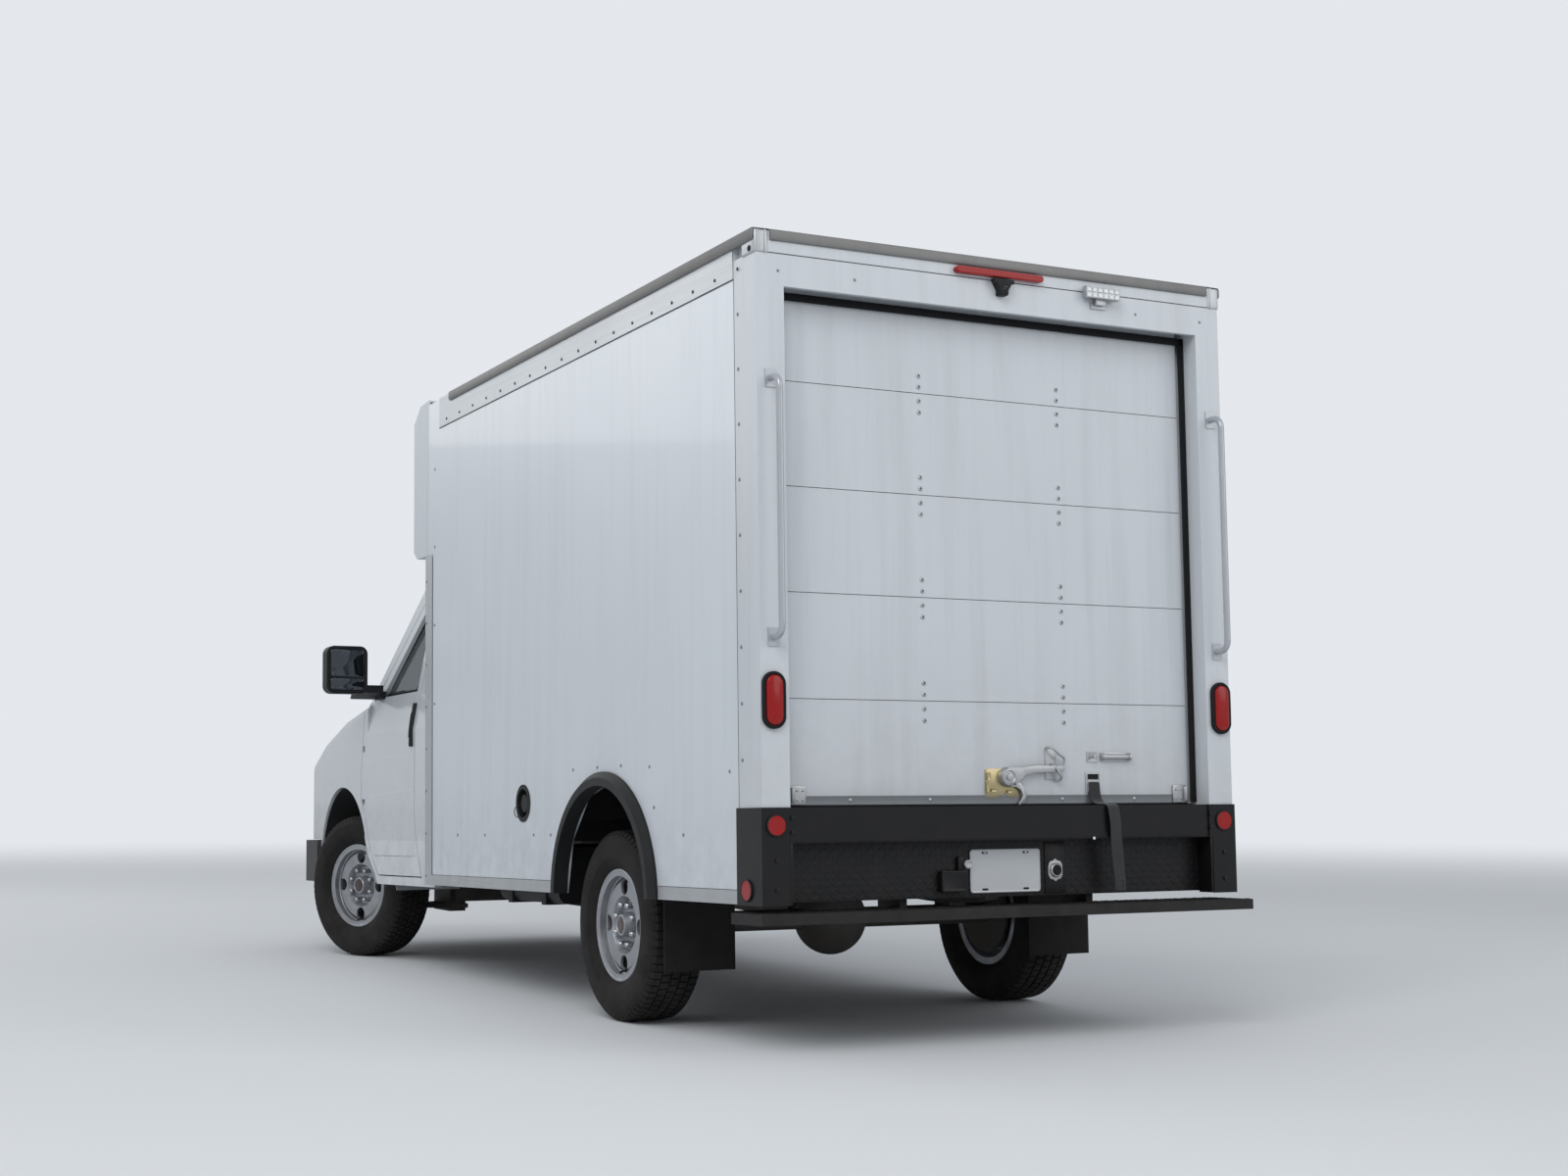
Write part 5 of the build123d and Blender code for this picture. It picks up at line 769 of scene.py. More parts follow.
def roof_lips():
    """Folded drip lips along the roof's long edges and over the rear rail, and a cast knuckle at each corner."""
    section = ((1.0222, 2.79), (1.03, 2.792), (1.0345, 2.8), (1.0345, 2.826), (1.029, 2.8335), (0.96, 2.835),
               (0.96, 2.832), (1.0222, 2.8312))
    for side, word in SIDES:
        lip = sheet_of("roof_lip_" + word, [(-1.334, side * y, z) for y, z in section], Vector((3.12, 0, 0)))
        # The lips take the darkened grey, which is painted shade under their overhang.
        fit(soften(lip, 0.0015, 2, 40), lip_painted_shade_grey)
    section = ((-1.3365, 2.792), (-1.344, 2.795), (-1.3475, 2.803), (-1.3475, 2.824), (-1.343, 2.832), (-1.29, 2.834),
               (-1.29, 2.83), (-1.3365, 2.828))
    lip = sheet_of("roof_lip_rear", [(x, -0.962, z) for x, z in section], Vector((0, 1.924, 0)))
    fit(soften(lip, 0.0015, 2, 40), lip_painted_shade_grey)
    corners = []
    for side in (1, -1):
        corner = side_slab("corner", side, (-1.34, -1.24), (0.968, 1.024), (2.746, 2.829))
        corners.append(soften(corner, 0.007, 3))
        rib = slab("rib", (-1.3425, side * 0.982 - 0.003, 2.746), (-1.3395, side * 0.982 + 0.003, 2.829))
        corners.append(soften(rib, 0.001))
    fit(joined("roof_corners", corners), aluminium)
    plugs = [bar("plug", (-1.302, side * 1.0235, 2.765), (-1.302, side * 1.0265, 2.765), 0.011, 20) for side in (1, -1)]
    fit(soften(joined("corner_plugs", plugs), 0.001), rubber)


def seams():
    """Sealant in the joints between rails, walls, posts and header, and painted shade strips in the roll door's panel
    seams.
    """
    lines = []
    for side in (1, -1):
        for x, z, out in (
            ((-1.168, 1.952), (2.6835, 2.6868), 1.0205),
            ((-1.1705, -1.168), (0.54, 2.686), 1.0188),
            ((2.05, 2.052), (0.54, 2.07), 1.02),
            ((-1.168, -0.506), (0.538, 0.54), 1.02),
            ((0.506, 2.05), (0.538, 0.54), 1.02),
        ):
            lines.append(side_slab("line", side, x, (1.0175, out), z))
    lines.append(slab("line", (-1.3368, -0.996, 2.748), (-1.3358, 0.996, 2.7515)))
    # Dark strips along the door's panel seams: painted shade standing in for the shadow in each groove.
    for height in DOOR_SEAMS:
        lines.append(slab("line", (-1.2466, -0.876, height - 0.0012), (-1.2458, 0.876, height + 0.0012)))
    for piece in lines:
        soften(piece, 0.0003, 1)
    fit(joined("sealant_and_seam_shade_lines", lines), sealant_and_seam_shade)


# Rear door and its hardware
def door_fittings():
    screws = []
    for y in (0.305, -0.305):
        for seam in DOOR_SEAMS:
            screws += [(-1.2464, y, seam + rise) for rise in (0.064, 0.023, -0.029, -0.071)]
        screws.append((-1.2464, y, 2.61))
    fit(spread("door_screws", rivet(0.0085, 0.005), facing(OUT_REAR, screws)), zinc)
    # A small black spot at the centre of each domed screw head: a painted dark reflection on the smooth carriage-bolt
    # head.
    painted_reflection_spots = facing(OUT_REAR, [(x - 0.0048, y, z + 0.001) for x, y, z in screws])
    fit(spread("door_screw_painted_reflections", rivet(0.0032, 0.0012), painted_reflection_spots), rubber)
    rail = slab("door_rail", (-1.25, -0.874, 0.829), (-1.2458, 0.874, 0.861))
    pressed(rail, (0.004, -0.0012))
    fit(soften(rail, 0.0008), rail_grey)
    bulb = slab("bottom_seal", (-1.249, -0.874, 0.8225), (-1.233, 0.874, 0.829))
    fit(soften(bulb, 0.003, 3), rubber)
    studs = facing(OUT_REAR, [(-1.2492, y, 0.845) for y in (0.289, -0.289, 0.62, -0.62)])
    fit(spread("rail_screws", rivet(0.0075, 0.0042), studs), zinc)
    strips = [side_slab("seal", side, (-1.264, -1.256), (0.9065, 0.8795), (0.83, 2.634)) for side in (1, -1)]
    strips.append(slab("seal", (-1.264, -0.9065, 2.606), (-1.256, 0.9065, 2.6345)))
    for strip in strips:
        soften(strip, 0.0025, 3)
    fit(joined("door_seals", strips), rubber)
    brackets = []
    for side in (1, -1):
        leaf = side_slab("leaf", side, (-1.2545, -1.25), (0.8, 0.862), (0.83, 0.896))
        pressed(leaf, (0.007, 0.0012))
        brackets.append(soften(leaf, 0.0012))
        knob = bar("barrel", (-1.26, side * 0.856, 0.836), (-1.26, side * 0.856, 0.89), 0.0085, 20)
        brackets.append(soften(knob, 0.0015))
        for y in (0.813, 0.836):
            for z in (0.846, 0.88):
                head = rivet(0.0055, 0.003)
                head.matrix_world = Matrix.Translation((-1.2555, side * y, z)) @ OUT_REAR
                brackets.append(set_down(head))
    fit(joined("corner_brackets", brackets), zinc)


def latch():
    """Slam latch low on the door: backing plate, pivot cup, lever, hook and its keeper."""
    y0, z0 = -0.04, 0.926
    outline = [(0.072, 0.952), (0.06, 0.957), (-0.07, 0.957), (-0.084, 0.946), (-0.084, 0.862), (-0.062, 0.85),
               (-0.03, 0.852), (-0.012, 0.868), (0.008, 0.852), (0.05, 0.849), (0.072, 0.858)]
    plate = sheet_of("latch_plate", [(-1.246, y + y0 + 0.02, z) for y, z in outline], Vector((-0.0035, 0, 0)))
    fit(soften(plate, 0.001), yellow_zinc)
    small = []
    for y, z, wide, tall in ((0.04, 0.93, 0.016, 0.026), (0.044, 0.892, 0.012, 0.034), (0.02, 0.878, 0.022, 0.01),
                             (-0.05, 0.874, 0.018, 0.01)):
        tab = slab("tab", (-1.258, y - wide / 2, z - tall / 2), (-1.2495, y + wide / 2, z + tall / 2))
        pressed(tab, (0.003, -0.002))
        small.append(soften(tab, 0.0012))
    spring = swept("spring", [(-1.256, 0.046 + 0.006 * (step % 2), 0.868 + 0.0045 * step) for step in range(10)],
                   0.0016)
    small.append(spring)
    fit(joined("latch_tabs", small), yellow_zinc)
    cup = turned(
        "latch_cup",
        [(0.0, 0.0), (0.0, 0.036), (0.016, 0.035), (0.024, 0.03), (0.026, 0.0245), (0.022, 0.021), (0.0225, 0.0135),
         (0.028, 0.0115), (0.03, 0.0)],
        (-1.249, y0, z0),
        (-1, 0, 0),
        40,
    )
    fit(cup, zinc)
    lever = [(y0 + 0.01, z0 + 0.036), (y0 - 0.06, z0 + 0.036), (-0.16, 0.97), (-0.276, 0.968), (-0.288, 0.962),
             (-0.288, 0.95), (-0.276, 0.944), (-0.16, 0.942), (-0.118, 0.934), (-0.092, 0.914), (y0 - 0.03, z0 - 0.03)]
    arm = sheet_of("latch_lever", [(-1.262, y, z) for y, z in lever], Vector((-0.009, 0, 0)))
    fit(soften(arm, 0.003, 3), zinc, stands_for=("door_latch",))
    hook = [(y0 - 0.026, z0 - 0.02), (-0.092, 0.908), (-0.116, 0.884), (-0.122, 0.858), (-0.11, 0.834), (-0.088, 0.824),
            (-0.086, 0.834), (-0.098, 0.845), (-0.104, 0.861), (-0.096, 0.878), (-0.074, 0.89), (y0 - 0.01, z0 - 0.036)]
    claw = sheet_of("latch_hook", [(-1.254, y, z) for y, z in hook], Vector((-0.008, 0, 0)))
    fit(soften(claw, 0.0025, 2), zinc)
    parts = []
    base = slab("base", (-1.25, -0.262, 0.916), (-1.246, -0.214, 1.036))
    parts.append(soften(base, 0.0015))
    upper = [(-1.25, -0.222, 1.034), (-1.268, -0.226, 1.036), (-1.278, -0.24, 1.026), (-1.274, -0.262, 1.008),
             (-1.27, -0.284, 1.0), (-1.266, -0.292, 0.984), (-1.26, -0.284, 0.97)]
    lower = [(-1.25, -0.24, 0.974), (-1.27, -0.246, 0.966), (-1.276, -0.256, 0.944), (-1.274, -0.272, 0.928),
             (-1.266, -0.27, 0.914), (-1.25, -0.256, 0.912)]
    parts.append(swept("upper", upper, 0.0045, sides=3))
    parts.append(swept("lower", lower, 0.005, sides=3))
    fit(joined("latch_keeper", parts), zinc)


def door_bolt():
    """Sliding bolt, and the bracket that holds the pull strap."""
    parts = []
    foot = slab("foot", (-1.249, -0.452, 0.982), (-1.246, -0.404, 1.022))
    pressed(foot, (0.004, -0.001))
    parts.append(soften(foot, 0.001))
    back = slab("back", (-1.249, -0.606, 0.984), (-1.246, -0.466, 1.02))
    parts.append(soften(back, 0.001))
    barrel = bar("barrel", (-1.256, -0.466, 1.002), (-1.256, -0.602, 1.002), 0.0105, 28)
    choose(barrel, lambda at, up: abs(up.y) > 0.9)
    bpy.ops.mesh.inset(thickness=0.003, depth=0.002)
    parts.append(soften(barrel, 0.001))
    for y in (-0.474, -0.594):
        hoop = turned("hoop", [(-0.005, 0.0105), (-0.005, 0.014), (0.005, 0.014), (0.005, 0.0105)],
                      (-1.256, y, 1.002), (0, 1, 0), 28)
        parts.append(hoop)
    parts.append(soften(bar("knob", (-1.256, -0.428, 1.002), (-1.27, -0.428, 1.002), 0.006, 18), 0.001))
    fit(joined("slide_bolt", parts), zinc)
    plate = slab("strap_plate", (-1.25, -0.46, 0.858), (-1.246, -0.396, 0.944))
    pressed(plate, (0.005, 0.002))
    rim = [slab("pad", (-1.256, -0.452, 0.872), (-1.25, -0.404, 0.914))]
    pressed(rim[0], (0.006, -0.0015))
    fit(joined("strap_bracket", [soften(plate, 0.0015), soften(rim[0], 0.002, 3)]), zinc)
    recess = slab("strap_slot", (-1.2545, -0.452, 0.918), (-1.25, -0.404, 0.938))
    pressed(recess, (0.003, -0.002))
    fit(soften(recess, 0.0008), rubber)


# Lamps and reflectors
def oval(name, out, centre, wide, tall, depth, steps=40):
    """Upright oval with straight sides, standing out from a face along the direction it faces."""
    pieces = bar(name, (0, 0, 0), (0, 0, depth), wide / 2, steps)
    shift(pieces, lambda at, up: at.x > 0.0001, ((tall - wide) / 2, 0, 0))
    shift(pieces, lambda at, up: at.x < -0.0001, (-(tall - wide) / 2, 0, 0))
    free()
    pieces.matrix_world = Matrix.Translation(centre) @ out
    return set_down(pieces)


def lamps():
    """Tail lamps, reflectors, the high lamp, the camera and the work lamp."""
    for side, word in SIDES:
        lamp = (side * 0.97, 1.187)
        gasket = oval("tail_gasket_" + word, OUT_REAR, (POST_FACE, *lamp), 0.09, 0.198, 0.015)
        pressed(gasket, (0.012, 0), (0.0015, -0.007))
        fit(soften(gasket, 0.003, 3), rubber)
        lens = oval("tail_lens_" + word, OUT_REAR, (-1.344, *lamp), 0.064, 0.172, 0.01)
        pressed(lens, (0.006, 0.003), (0.008, 0.0015))
        stands = ("rear_lamps",) if side == 1 else ()
        fit(soften(lens, 0.002, 2, 20), red_lens, stands_for=stands)
        spot = dome("tail_bulb_" + word, (-1.357, *lamp), (0.0016, 0.006, 0.006), 8, 16)
        choose(spot, lambda at, up: True)
        bpy.ops.mesh.bisect(plane_co=(-1.357, 0, 0), plane_no=(1, 0, 0), clear_outer=True, use_fill=True)
        fit(spot, lamp_clear)
    rings, lenses = [], []
    spots = [((-1.3435, side * 0.967, 0.7595), OUT_REAR) for side in (1, -1)]
    spots += [((-1.235, side * 1.0235, 0.539), OUT_LEFT if side == 1 else OUT_RIGHT) for side in (1, -1)]
    ring = [(0.0, 0.03), (0.0, 0.0385), (0.0045, 0.0385), (0.0065, 0.037), (0.0065, 0.0345), (0.003, 0.034)]
    lens = [(0.001, 0.0), (0.001, 0.0345), (0.005, 0.0345), (0.0062, 0.033), (0.0068, 0.0)]
    for centre, out in spots:
        direction = out @ Vector((0, 0, 1))
        rings.append(turned("ring", ring, centre, direction, 40))
        lenses.append(turned("lens", lens, centre, direction, 40))
    fit(joined("reflector_rings", rings), plastic)
    fit(joined("reflectors", lenses), reflector_red)
    high = bar("high_lamp", (POST_FACE, 0, 0), (-1.359, 0, 0), 0.0125, 24)
    shift(high, lambda at, up: at.y > 0.0001, (0, 0.19, 0))
    shift(high, lambda at, up: at.y < -0.0001, (0, -0.17, 0))
    free()
    high.location = (0, 0, 2.772)
    set_down(high)
    pressed(high, (0.0025, 0.0015))
    fit(soften(high, 0.0012, 2), red_lens)
    body = slab("camera_body", (-1.37, -0.044, 2.712), (POST_FACE, 0.044, 2.752))
    resized(body, lambda at, up: at.z < 2.72, (1.0, 0.45, 1.0), (-1.353, 0, 2.712))
    choose(body, lambda at, up: up.z < -0.9)
    bpy.ops.mesh.extrude_region_move(TRANSFORM_OT_translate={"value": (0.004, 0, -0.02)})
    soften(body, 0.005, 3)
    ears = [soften(bar("ear", (-1.364, side * 0.038, 2.742), (-1.369, side * 0.038, 2.742), 0.0075, 16), 0.001)
            for side in (1, -1)]
    fit(joined("camera_housing", [body] + ears), plastic)
    eye = [(0.0, 0.0), (0.0, 0.0125), (0.006, 0.0125), (0.007, 0.0105), (0.004, 0.009), (0.0055, 0.0)]
    fit(turned("camera_eye", eye, (-1.365, 0, 2.714), (-0.92, 0, -0.39), 28), lens_dark)
    case = slab("work_lamp", (-1.376, -0.52, 2.722), (-1.348, -0.366, 2.766))
    pressed(case, (0.005, 0), (0.001, -0.003))
    fins = [slab("fin", (-1.348, -0.515 + 0.012 * step, 2.724), (-1.342, -0.51 + 0.012 * step, 2.764))
            for step in range(12)]
    foot = [slab("foot", (-1.36, -0.464, 2.7), (-1.338, -0.42, 2.7225)),
            slab("plate", (-1.342, -0.476, 2.688), (-1.3365, -0.408, 2.708))]
    for piece in fins + foot:
        soften(piece, 0.0008)
    fit(joined("work_lamp", [soften(case, 0.003, 3)] + fins + foot), zinc, slot="aluminium")
    cells = []
    for row in (2.7335, 2.7545):
        for step in range(6):
            cells.append((-1.3735, -0.507 + 0.0256 * step, row))
    cell = slab("cell", (-0.0105, -0.0085, 0.0), (0.0105, 0.0085, 0.0025))
    pressed(cell, (0.003, -0.0015), out=UPWARD)
    upright = OUT_REAR @ Matrix.Rotation(pi / 2, 4, "Z")
    fit(spread("work_lamp_cells", cell, facing(upright, cells)), led_white)


rivet_rows()
roof_lips()
seams()
door_fittings()
latch()
door_bolt()
lamps()


# Bumper, number plate and step
def chequer(places, turn):
    """Raised lozenges of tread plate, set in two slants."""
    lozenge = dome("lozenge", (0, 0, 0), (0.0125, 0.0034, 0.0014), rings=4, segments=8)
    choose(lozenge, lambda at, up: True)
    bpy.ops.mesh.bisect(plane_co=(0, 0, 0), plane_no=(0, 0, 1), clear_inner=True)
    free()
    slants = [Matrix.Rotation(radians(45), 4, "Z"), Matrix.Rotation(radians(-45), 4, "Z")]
    rows = [Matrix.Translation(place) @ turn @ slants[(column + row) % 2] for place, column, row in places]
    return spread("chequer", lozenge, rows)


def tread_plates():
    pitch = 0.0235
    back = [((-1.2672, -0.894 + pitch * column, 0.506 + pitch * row), column, row)
            for column in range(77) for row in range(9)]
    fit(chequer(back, OUT_REAR), beam_black)
    deck = [((-1.375 + pitch * row, -1.035 + pitch * column, 0.462), column, row)
            for column in range(89) for row in range(10)]
    fit(chequer(deck, UPWARD), step_black)
    cleats = [Matrix.Translation((-1.3836, -1.036 + 0.0345 * step, 0.4618)) @ Matrix.Rotation(radians(35), 4, "Z")
              for step in range(61)]
    cleat = dome("cleat", (0, 0, 0), (0.0145, 0.005, 0.003), rings=6, segments=12)
    fit(spread("step_cleats", cleat, cleats), step_black)


def rounded(name, out, centre, wide, tall, depth, radius, steps=5):
    """Rounded oblong plate that stands out from a face: wide across, tall along Z."""
    plate = slab(name, (-tall / 2, -wide / 2, 0), (tall / 2, wide / 2, depth))
    choose(plate, lambda at, run: abs(run.z) > depth * 0.9, "EDGE")
    bpy.ops.mesh.bevel(offset=radius, segments=steps)
    free()
    plate.matrix_world = Matrix.Translation(centre) @ out
    return set_down(plate)


def number_plate():
    centre = Vector((-1.269, -0.0125, 0.587))
    plate = rounded("number_plate", OUT_REAR, centre, 0.305, 0.157, 0.004, 0.012)
    pressed(plate, (0.0035, 0.0016), (0.0035, -0.0022))
    fit(soften(plate, 0.0006), plate_white)
    slots = [rounded("slot", OUT_REAR, centre + Vector((-0.0034, y, z)), 0.026, 0.0075, 0.0006, 0.0036, 3)
             for y in (0.0889, -0.0889) for z in (0.0655, -0.0655)]
    fit(joined("plate_slots", slots), rubber)
    bolts = facing(OUT_REAR, [centre + Vector((-0.004, y, 0.0655)) for y in (0.0889, -0.0889)])
    fit(spread("plate_bolts", rivet(0.0062, 0.003), bolts), zinc)


def bumper_fittings():
    panel = slab("socket_panel", (-1.271, -0.276, 0.5), (-1.267, -0.187, 0.689))
    holder = slab("lamp_box", (-1.295, 0.166, 0.516), (-1.267, 0.273, 0.591))
    pressed(holder, (0.01, -0.004))
    arm = slab("lamp_arm", (-1.281, 0.17, 0.591), (-1.267, 0.196, 0.64))
    fit(joined("bumper_boxes", [soften(panel, 0.001), soften(holder, 0.005, 3), soften(arm, 0.003)]), beam_black)
    lamp = bar("plate_lamp", (-1.267, 0.158, 0.6135), (-1.291, 0.158, 0.6135), 0.0165, 28)
    pressed(lamp, (0.004, 0.002), (0.002, -0.003))
    fit(soften(lamp, 0.001), zinc)
    socket = (-0.232, 0.585)
    flange = oval("socket_flange", OUT_REAR, (-1.271, *socket), 0.064, 0.084, 0.0035)
    resized(flange, lambda at, up: abs(at.z - 0.585) > 0.034, (1, 0.42, 1), (-1.271, *socket))
    pressed(flange, (0.003, 0.0012))
    chrome = [soften(flange, 0.0006)]
    chrome.append(turned("collar", [(0.0, 0.018), (0.0, 0.0275), (0.008, 0.0255), (0.0105, 0.0225), (0.01, 0.018)],
                         (-1.2745, *socket), (-1, 0, 0), 36))
    screws = facing(OUT_REAR, [(-1.2745, socket[0], socket[1] + rise) for rise in (0.0345, -0.0345)])
    chrome.append(spread("screw", rivet(0.0045, 0.0022), screws))
    fit(joined("socket_flange", chrome), zinc)
    cap = turned("socket_cap", [(0.0, 0.0), (0.0, 0.0205), (0.0115, 0.02), (0.014, 0.017), (0.015, 0.0)],
                 (-1.2735, *socket), (-1, 0, 0), 36)
    fit(cap, rubber)
    spot = rivet(0.006, 0.004)
    spot.matrix_world = Matrix.Translation((BEAM_FACE, -0.359, 0.7)) @ OUT_REAR
    fit(set_down(spot), led_white)
    heads = []
    for side in (1, -1):
        for z in (0.735, 0.785):
            heads.append((BEAM_FACE, side * 0.905, z))
        heads += [(BEAM_FACE, side * 0.966, z) for z in (0.54, 0.64)]
    head = bar("head", (0, 0, 0), (0, 0, 0.0045), 0.0085, 6)
    fit(spread("bumper_bolts", soften(head, 0.001), facing(OUT_REAR, heads)), beam_black)
    cheeks = [soften(side_slab("cheek", side, (-1.3415, -1.267), (0.903, 0.9135), (0.4885, 0.7005)), 0.001)
              for side in (1, -1)]
    fit(joined("bumper_cheeks", cheeks), beam_black)
    joints = [side_slab("joint", side, (-1.3434, -1.3424), (0.9135, 0.915), (0.49, 0.818)) for side in (1, -1)]
    joints.append(slab("joint", (-1.3434, -0.912, 0.7005), (-1.3424, 0.912, 0.703)))
    for joint in joints:
        soften(joint, 0.0003, 1)
    fit(joined("bumper_joints", joints), rubber)


# Wheels, drawn about the hub with the outer side to the left, then set at their stations
def round_tyre(first):
    """Places of a row of lugs round the tyre, begun that part of a step on."""
    return [Matrix.Rotation(2 * pi * (step + first) / TREAD_LUGS, 4, "Y") for step in range(TREAD_LUGS)]


def tyre_model():
    profile = [(0.0844, 0.2208), (0.0905, 0.2218), (0.094, 0.2245), (0.1, 0.23), (0.104, 0.236), (0.1105, 0.245),
               (0.115, 0.254), (0.1178, 0.26), (0.119, 0.2605), (0.12, 0.264), (0.1215, 0.2755), (0.1224, 0.286),
               (0.1225, 0.295), (0.122, 0.305), (0.1205, 0.315), (0.119, 0.325), (0.1196, 0.3262), (0.1185, 0.33),
               (0.1165, 0.335), (0.113, 0.343), (0.109, 0.3505), (0.101, 0.3585), (0.094, 0.363), (0.08, 0.3655)]
    inner = [(0.0775, 0.206), (0.077, 0.213)]
    outline = inner + profile + [(-along, radius) for along, radius in reversed(profile)]
    outline += [(-along, radius) for along, radius in reversed(inner)]
    carcass = turned("carcass", outline, (0, 0, 0), (0, 1, 0), 96)
    lugs = []
    for row, (middle, wide, turn) in enumerate(
        ((-0.0395, 0.032, 14), (0.0, 0.03, 0), (0.0395, 0.032, -14))
    ):
        lug = slab("lug", (-0.0128, -wide / 2, 0.364), (0.0128, wide / 2, 0.3733))
        choose(lug, lambda at, up: up.z > 0.9)
        bpy.ops.mesh.inset(thickness=0.0016)
        choose(lug, lambda at, run: abs(run.y) > 0.01 and at.z > 0.37 and abs(at.x) < 0.012, "EDGE")
        bpy.ops.transform.translate(value=(0, 0, 0.0004))
        shift(lug, lambda at, up: at.y > 0, (0.0001 * turn, 0, 0))
        shift(lug, lambda at, up: at.y < 0, (-0.0001 * turn, 0, 0))
        free()
        places = [place @ Matrix.Translation((0, middle, 0)) for place in round_tyre(0.5 * (row % 2))]
        lugs.append(spread("lugs", lug, places))
    for side in (1, -1):
        lug = side_slab("lug", side, (-0.0125, 0.0125), (0.0625, 0.0945), (0.36, 0.3732))
        shift(lug, lambda at, up: abs(at.y) > 0.09, (0, 0, -0.003))
        choose(lug, lambda at, up: up.y * side > 0.9)
        bpy.ops.mesh.extrude_region_move(TRANSFORM_OT_translate={"value": (0, side * 0.0135, -0.0105)})
        bpy.ops.transform.resize(value=(0.9, 1, 0.45), center_override=(0, side * 0.108, 0.35))
        free()
        lugs.append(spread("lugs", lug, round_tyre(0.5)))
    return joined("tyre", [carcass] + lugs)


def lug_caps():
    """Long plated nuts."""
    nut = turned("nut", [(0.0, 0.0), (0.0, 0.0125), (0.018, 0.0125), (0.026, 0.0105), (0.03, 0.006), (0.031, 0.0)],
                 (0, 0, 0), (0, 1, 0), 18)
    spots = [Matrix.Rotation(radians(22.5 + 45 * step), 4, "Y") @ Matrix.Translation((0.08255, 0.0515, 0))
             for step in range(8)]
    return spread("lug_caps", nut, spots)


def hub_details():
    ring = turned("cap_ring", [(0.079, 0.033), (0.079, 0.0405), (0.085, 0.0402), (0.0866, 0.0385), (0.0866, 0.0355),
                               (0.0848, 0.034)], (0, 0, 0), (0, 1, 0), 48)
    disc = turned("cap_disc", [(0.08, 0.0), (0.08, 0.0345), (0.0846, 0.0345), (0.0853, 0.033), (0.0857, 0.0)],
                  (0, 0, 0), (0, 1, 0), 40)
    return ring, disc


def rim_trims():
    lip = turned("rim_lip", [(0.0885, 0.2085), (0.0925, 0.21), (0.095, 0.214), (0.095, 0.218), (0.0935, 0.2203),
                             (0.0885, 0.2205)], (0, 0, 0), (0, 1, 0), 96)
    step = turned("rim_step", [(0.056, 0.188), (0.06, 0.1935), (0.062, 0.194), (0.062, 0.191), (0.059, 0.188)],
                  (0, 0, 0), (0, 1, 0), 96)
    stem = swept("valve_stem", [(0.0, 0.05, -0.176), (0.0, 0.062, -0.178), (0.0, 0.078, -0.182)], 0.0038, sides=3)
    tip = bar("valve_cap", (0.0, 0.078, -0.182), (0.0, 0.089, -0.185), 0.0046, 12)
    weight = slab("balance_weight", (-0.018, 0.086, 0.201), (0.018, 0.0905, 0.2078))
    return joined("rim_lip", [lip, step, soften(weight, 0.0012)]), joined("valve_stem", [stem, soften(tip, 0.001)])


def wheel_place(x, y, turn, out=0.0):
    """A wheel's station, turned about the upright and set out from it."""
    upright = Matrix.Translation((x, y, AXLE_Z)) @ Matrix.Rotation(radians(turn), 4, "Z")
    return upright @ Matrix.Translation((0, out, 0))


WHEEL_PLACES = {
    "rear_left": wheel_place(0, REAR_HUB_OUT, 0),
    "rear_right": wheel_place(0, -REAR_HUB_OUT, 180),
    "front_left": wheel_place(WHEELBASE, KINGPIN_OUT, STEERED, HUB_FROM_KINGPIN),
    "front_right": wheel_place(WHEELBASE, -KINGPIN_OUT, 180 + STEERED, HUB_FROM_KINGPIN),
}


def wheels():
    ring, disc = hub_details()
    lip, stem = rim_trims()
    sets = (
        ("tyre_tread_", tyre_model(), tyre_rubber, "tyre_"),
        ("lug_caps_", lug_caps(), lug_chrome, None),
        ("cap_ring_", ring, cap_chrome, None),
        ("cap_disc_", disc, cap_brown, None),
        ("rim_lip_", lip, wheel_silver, None),
        ("valve_stem_", stem, rubber, None),
    )
    for name, model, material, node in sets:
        for station, place in WHEEL_PLACES.items():
            stands = (node + station,) if node else ()
            fit(twin(model, name + station), material, body="wheel_" + station, stands_for=stands,
                place=ON_THE_ROAD @ place)
        bpy.data.objects.remove(model)


# Cab outside
def touch(node, start, toward):
    """Where a line meets a solid, in the truck's own frame."""
    hit, where, *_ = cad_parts[node].ray_cast(STANCE @ Vector(start), STANCE.to_3x3() @ Vector(toward))
    return STANCE.inverted() @ where if hit else None


def on_side(node, points, out=0.0):
    """Points on a solid's left side at these X and heights, raised by out."""
    found = [touch(node, (x, 2.0, z), (0, -1, 0)) for x, z in points]
    return [place + Vector((0, out, 0)) for place in found if place]


def both_doors(piece, material):
    """The piece on the left door, and its mirror image on the right one."""
    fit(mirrored(piece, piece.name + "_right"), material, body="door_right")
    fit(piece, material, body="door_left")


def pane_face(z):
    """How far out the door's sloping glass lies at a height."""
    return 0.9452 - (z - 1.4395) * (0.9452 - 0.856) / 0.455


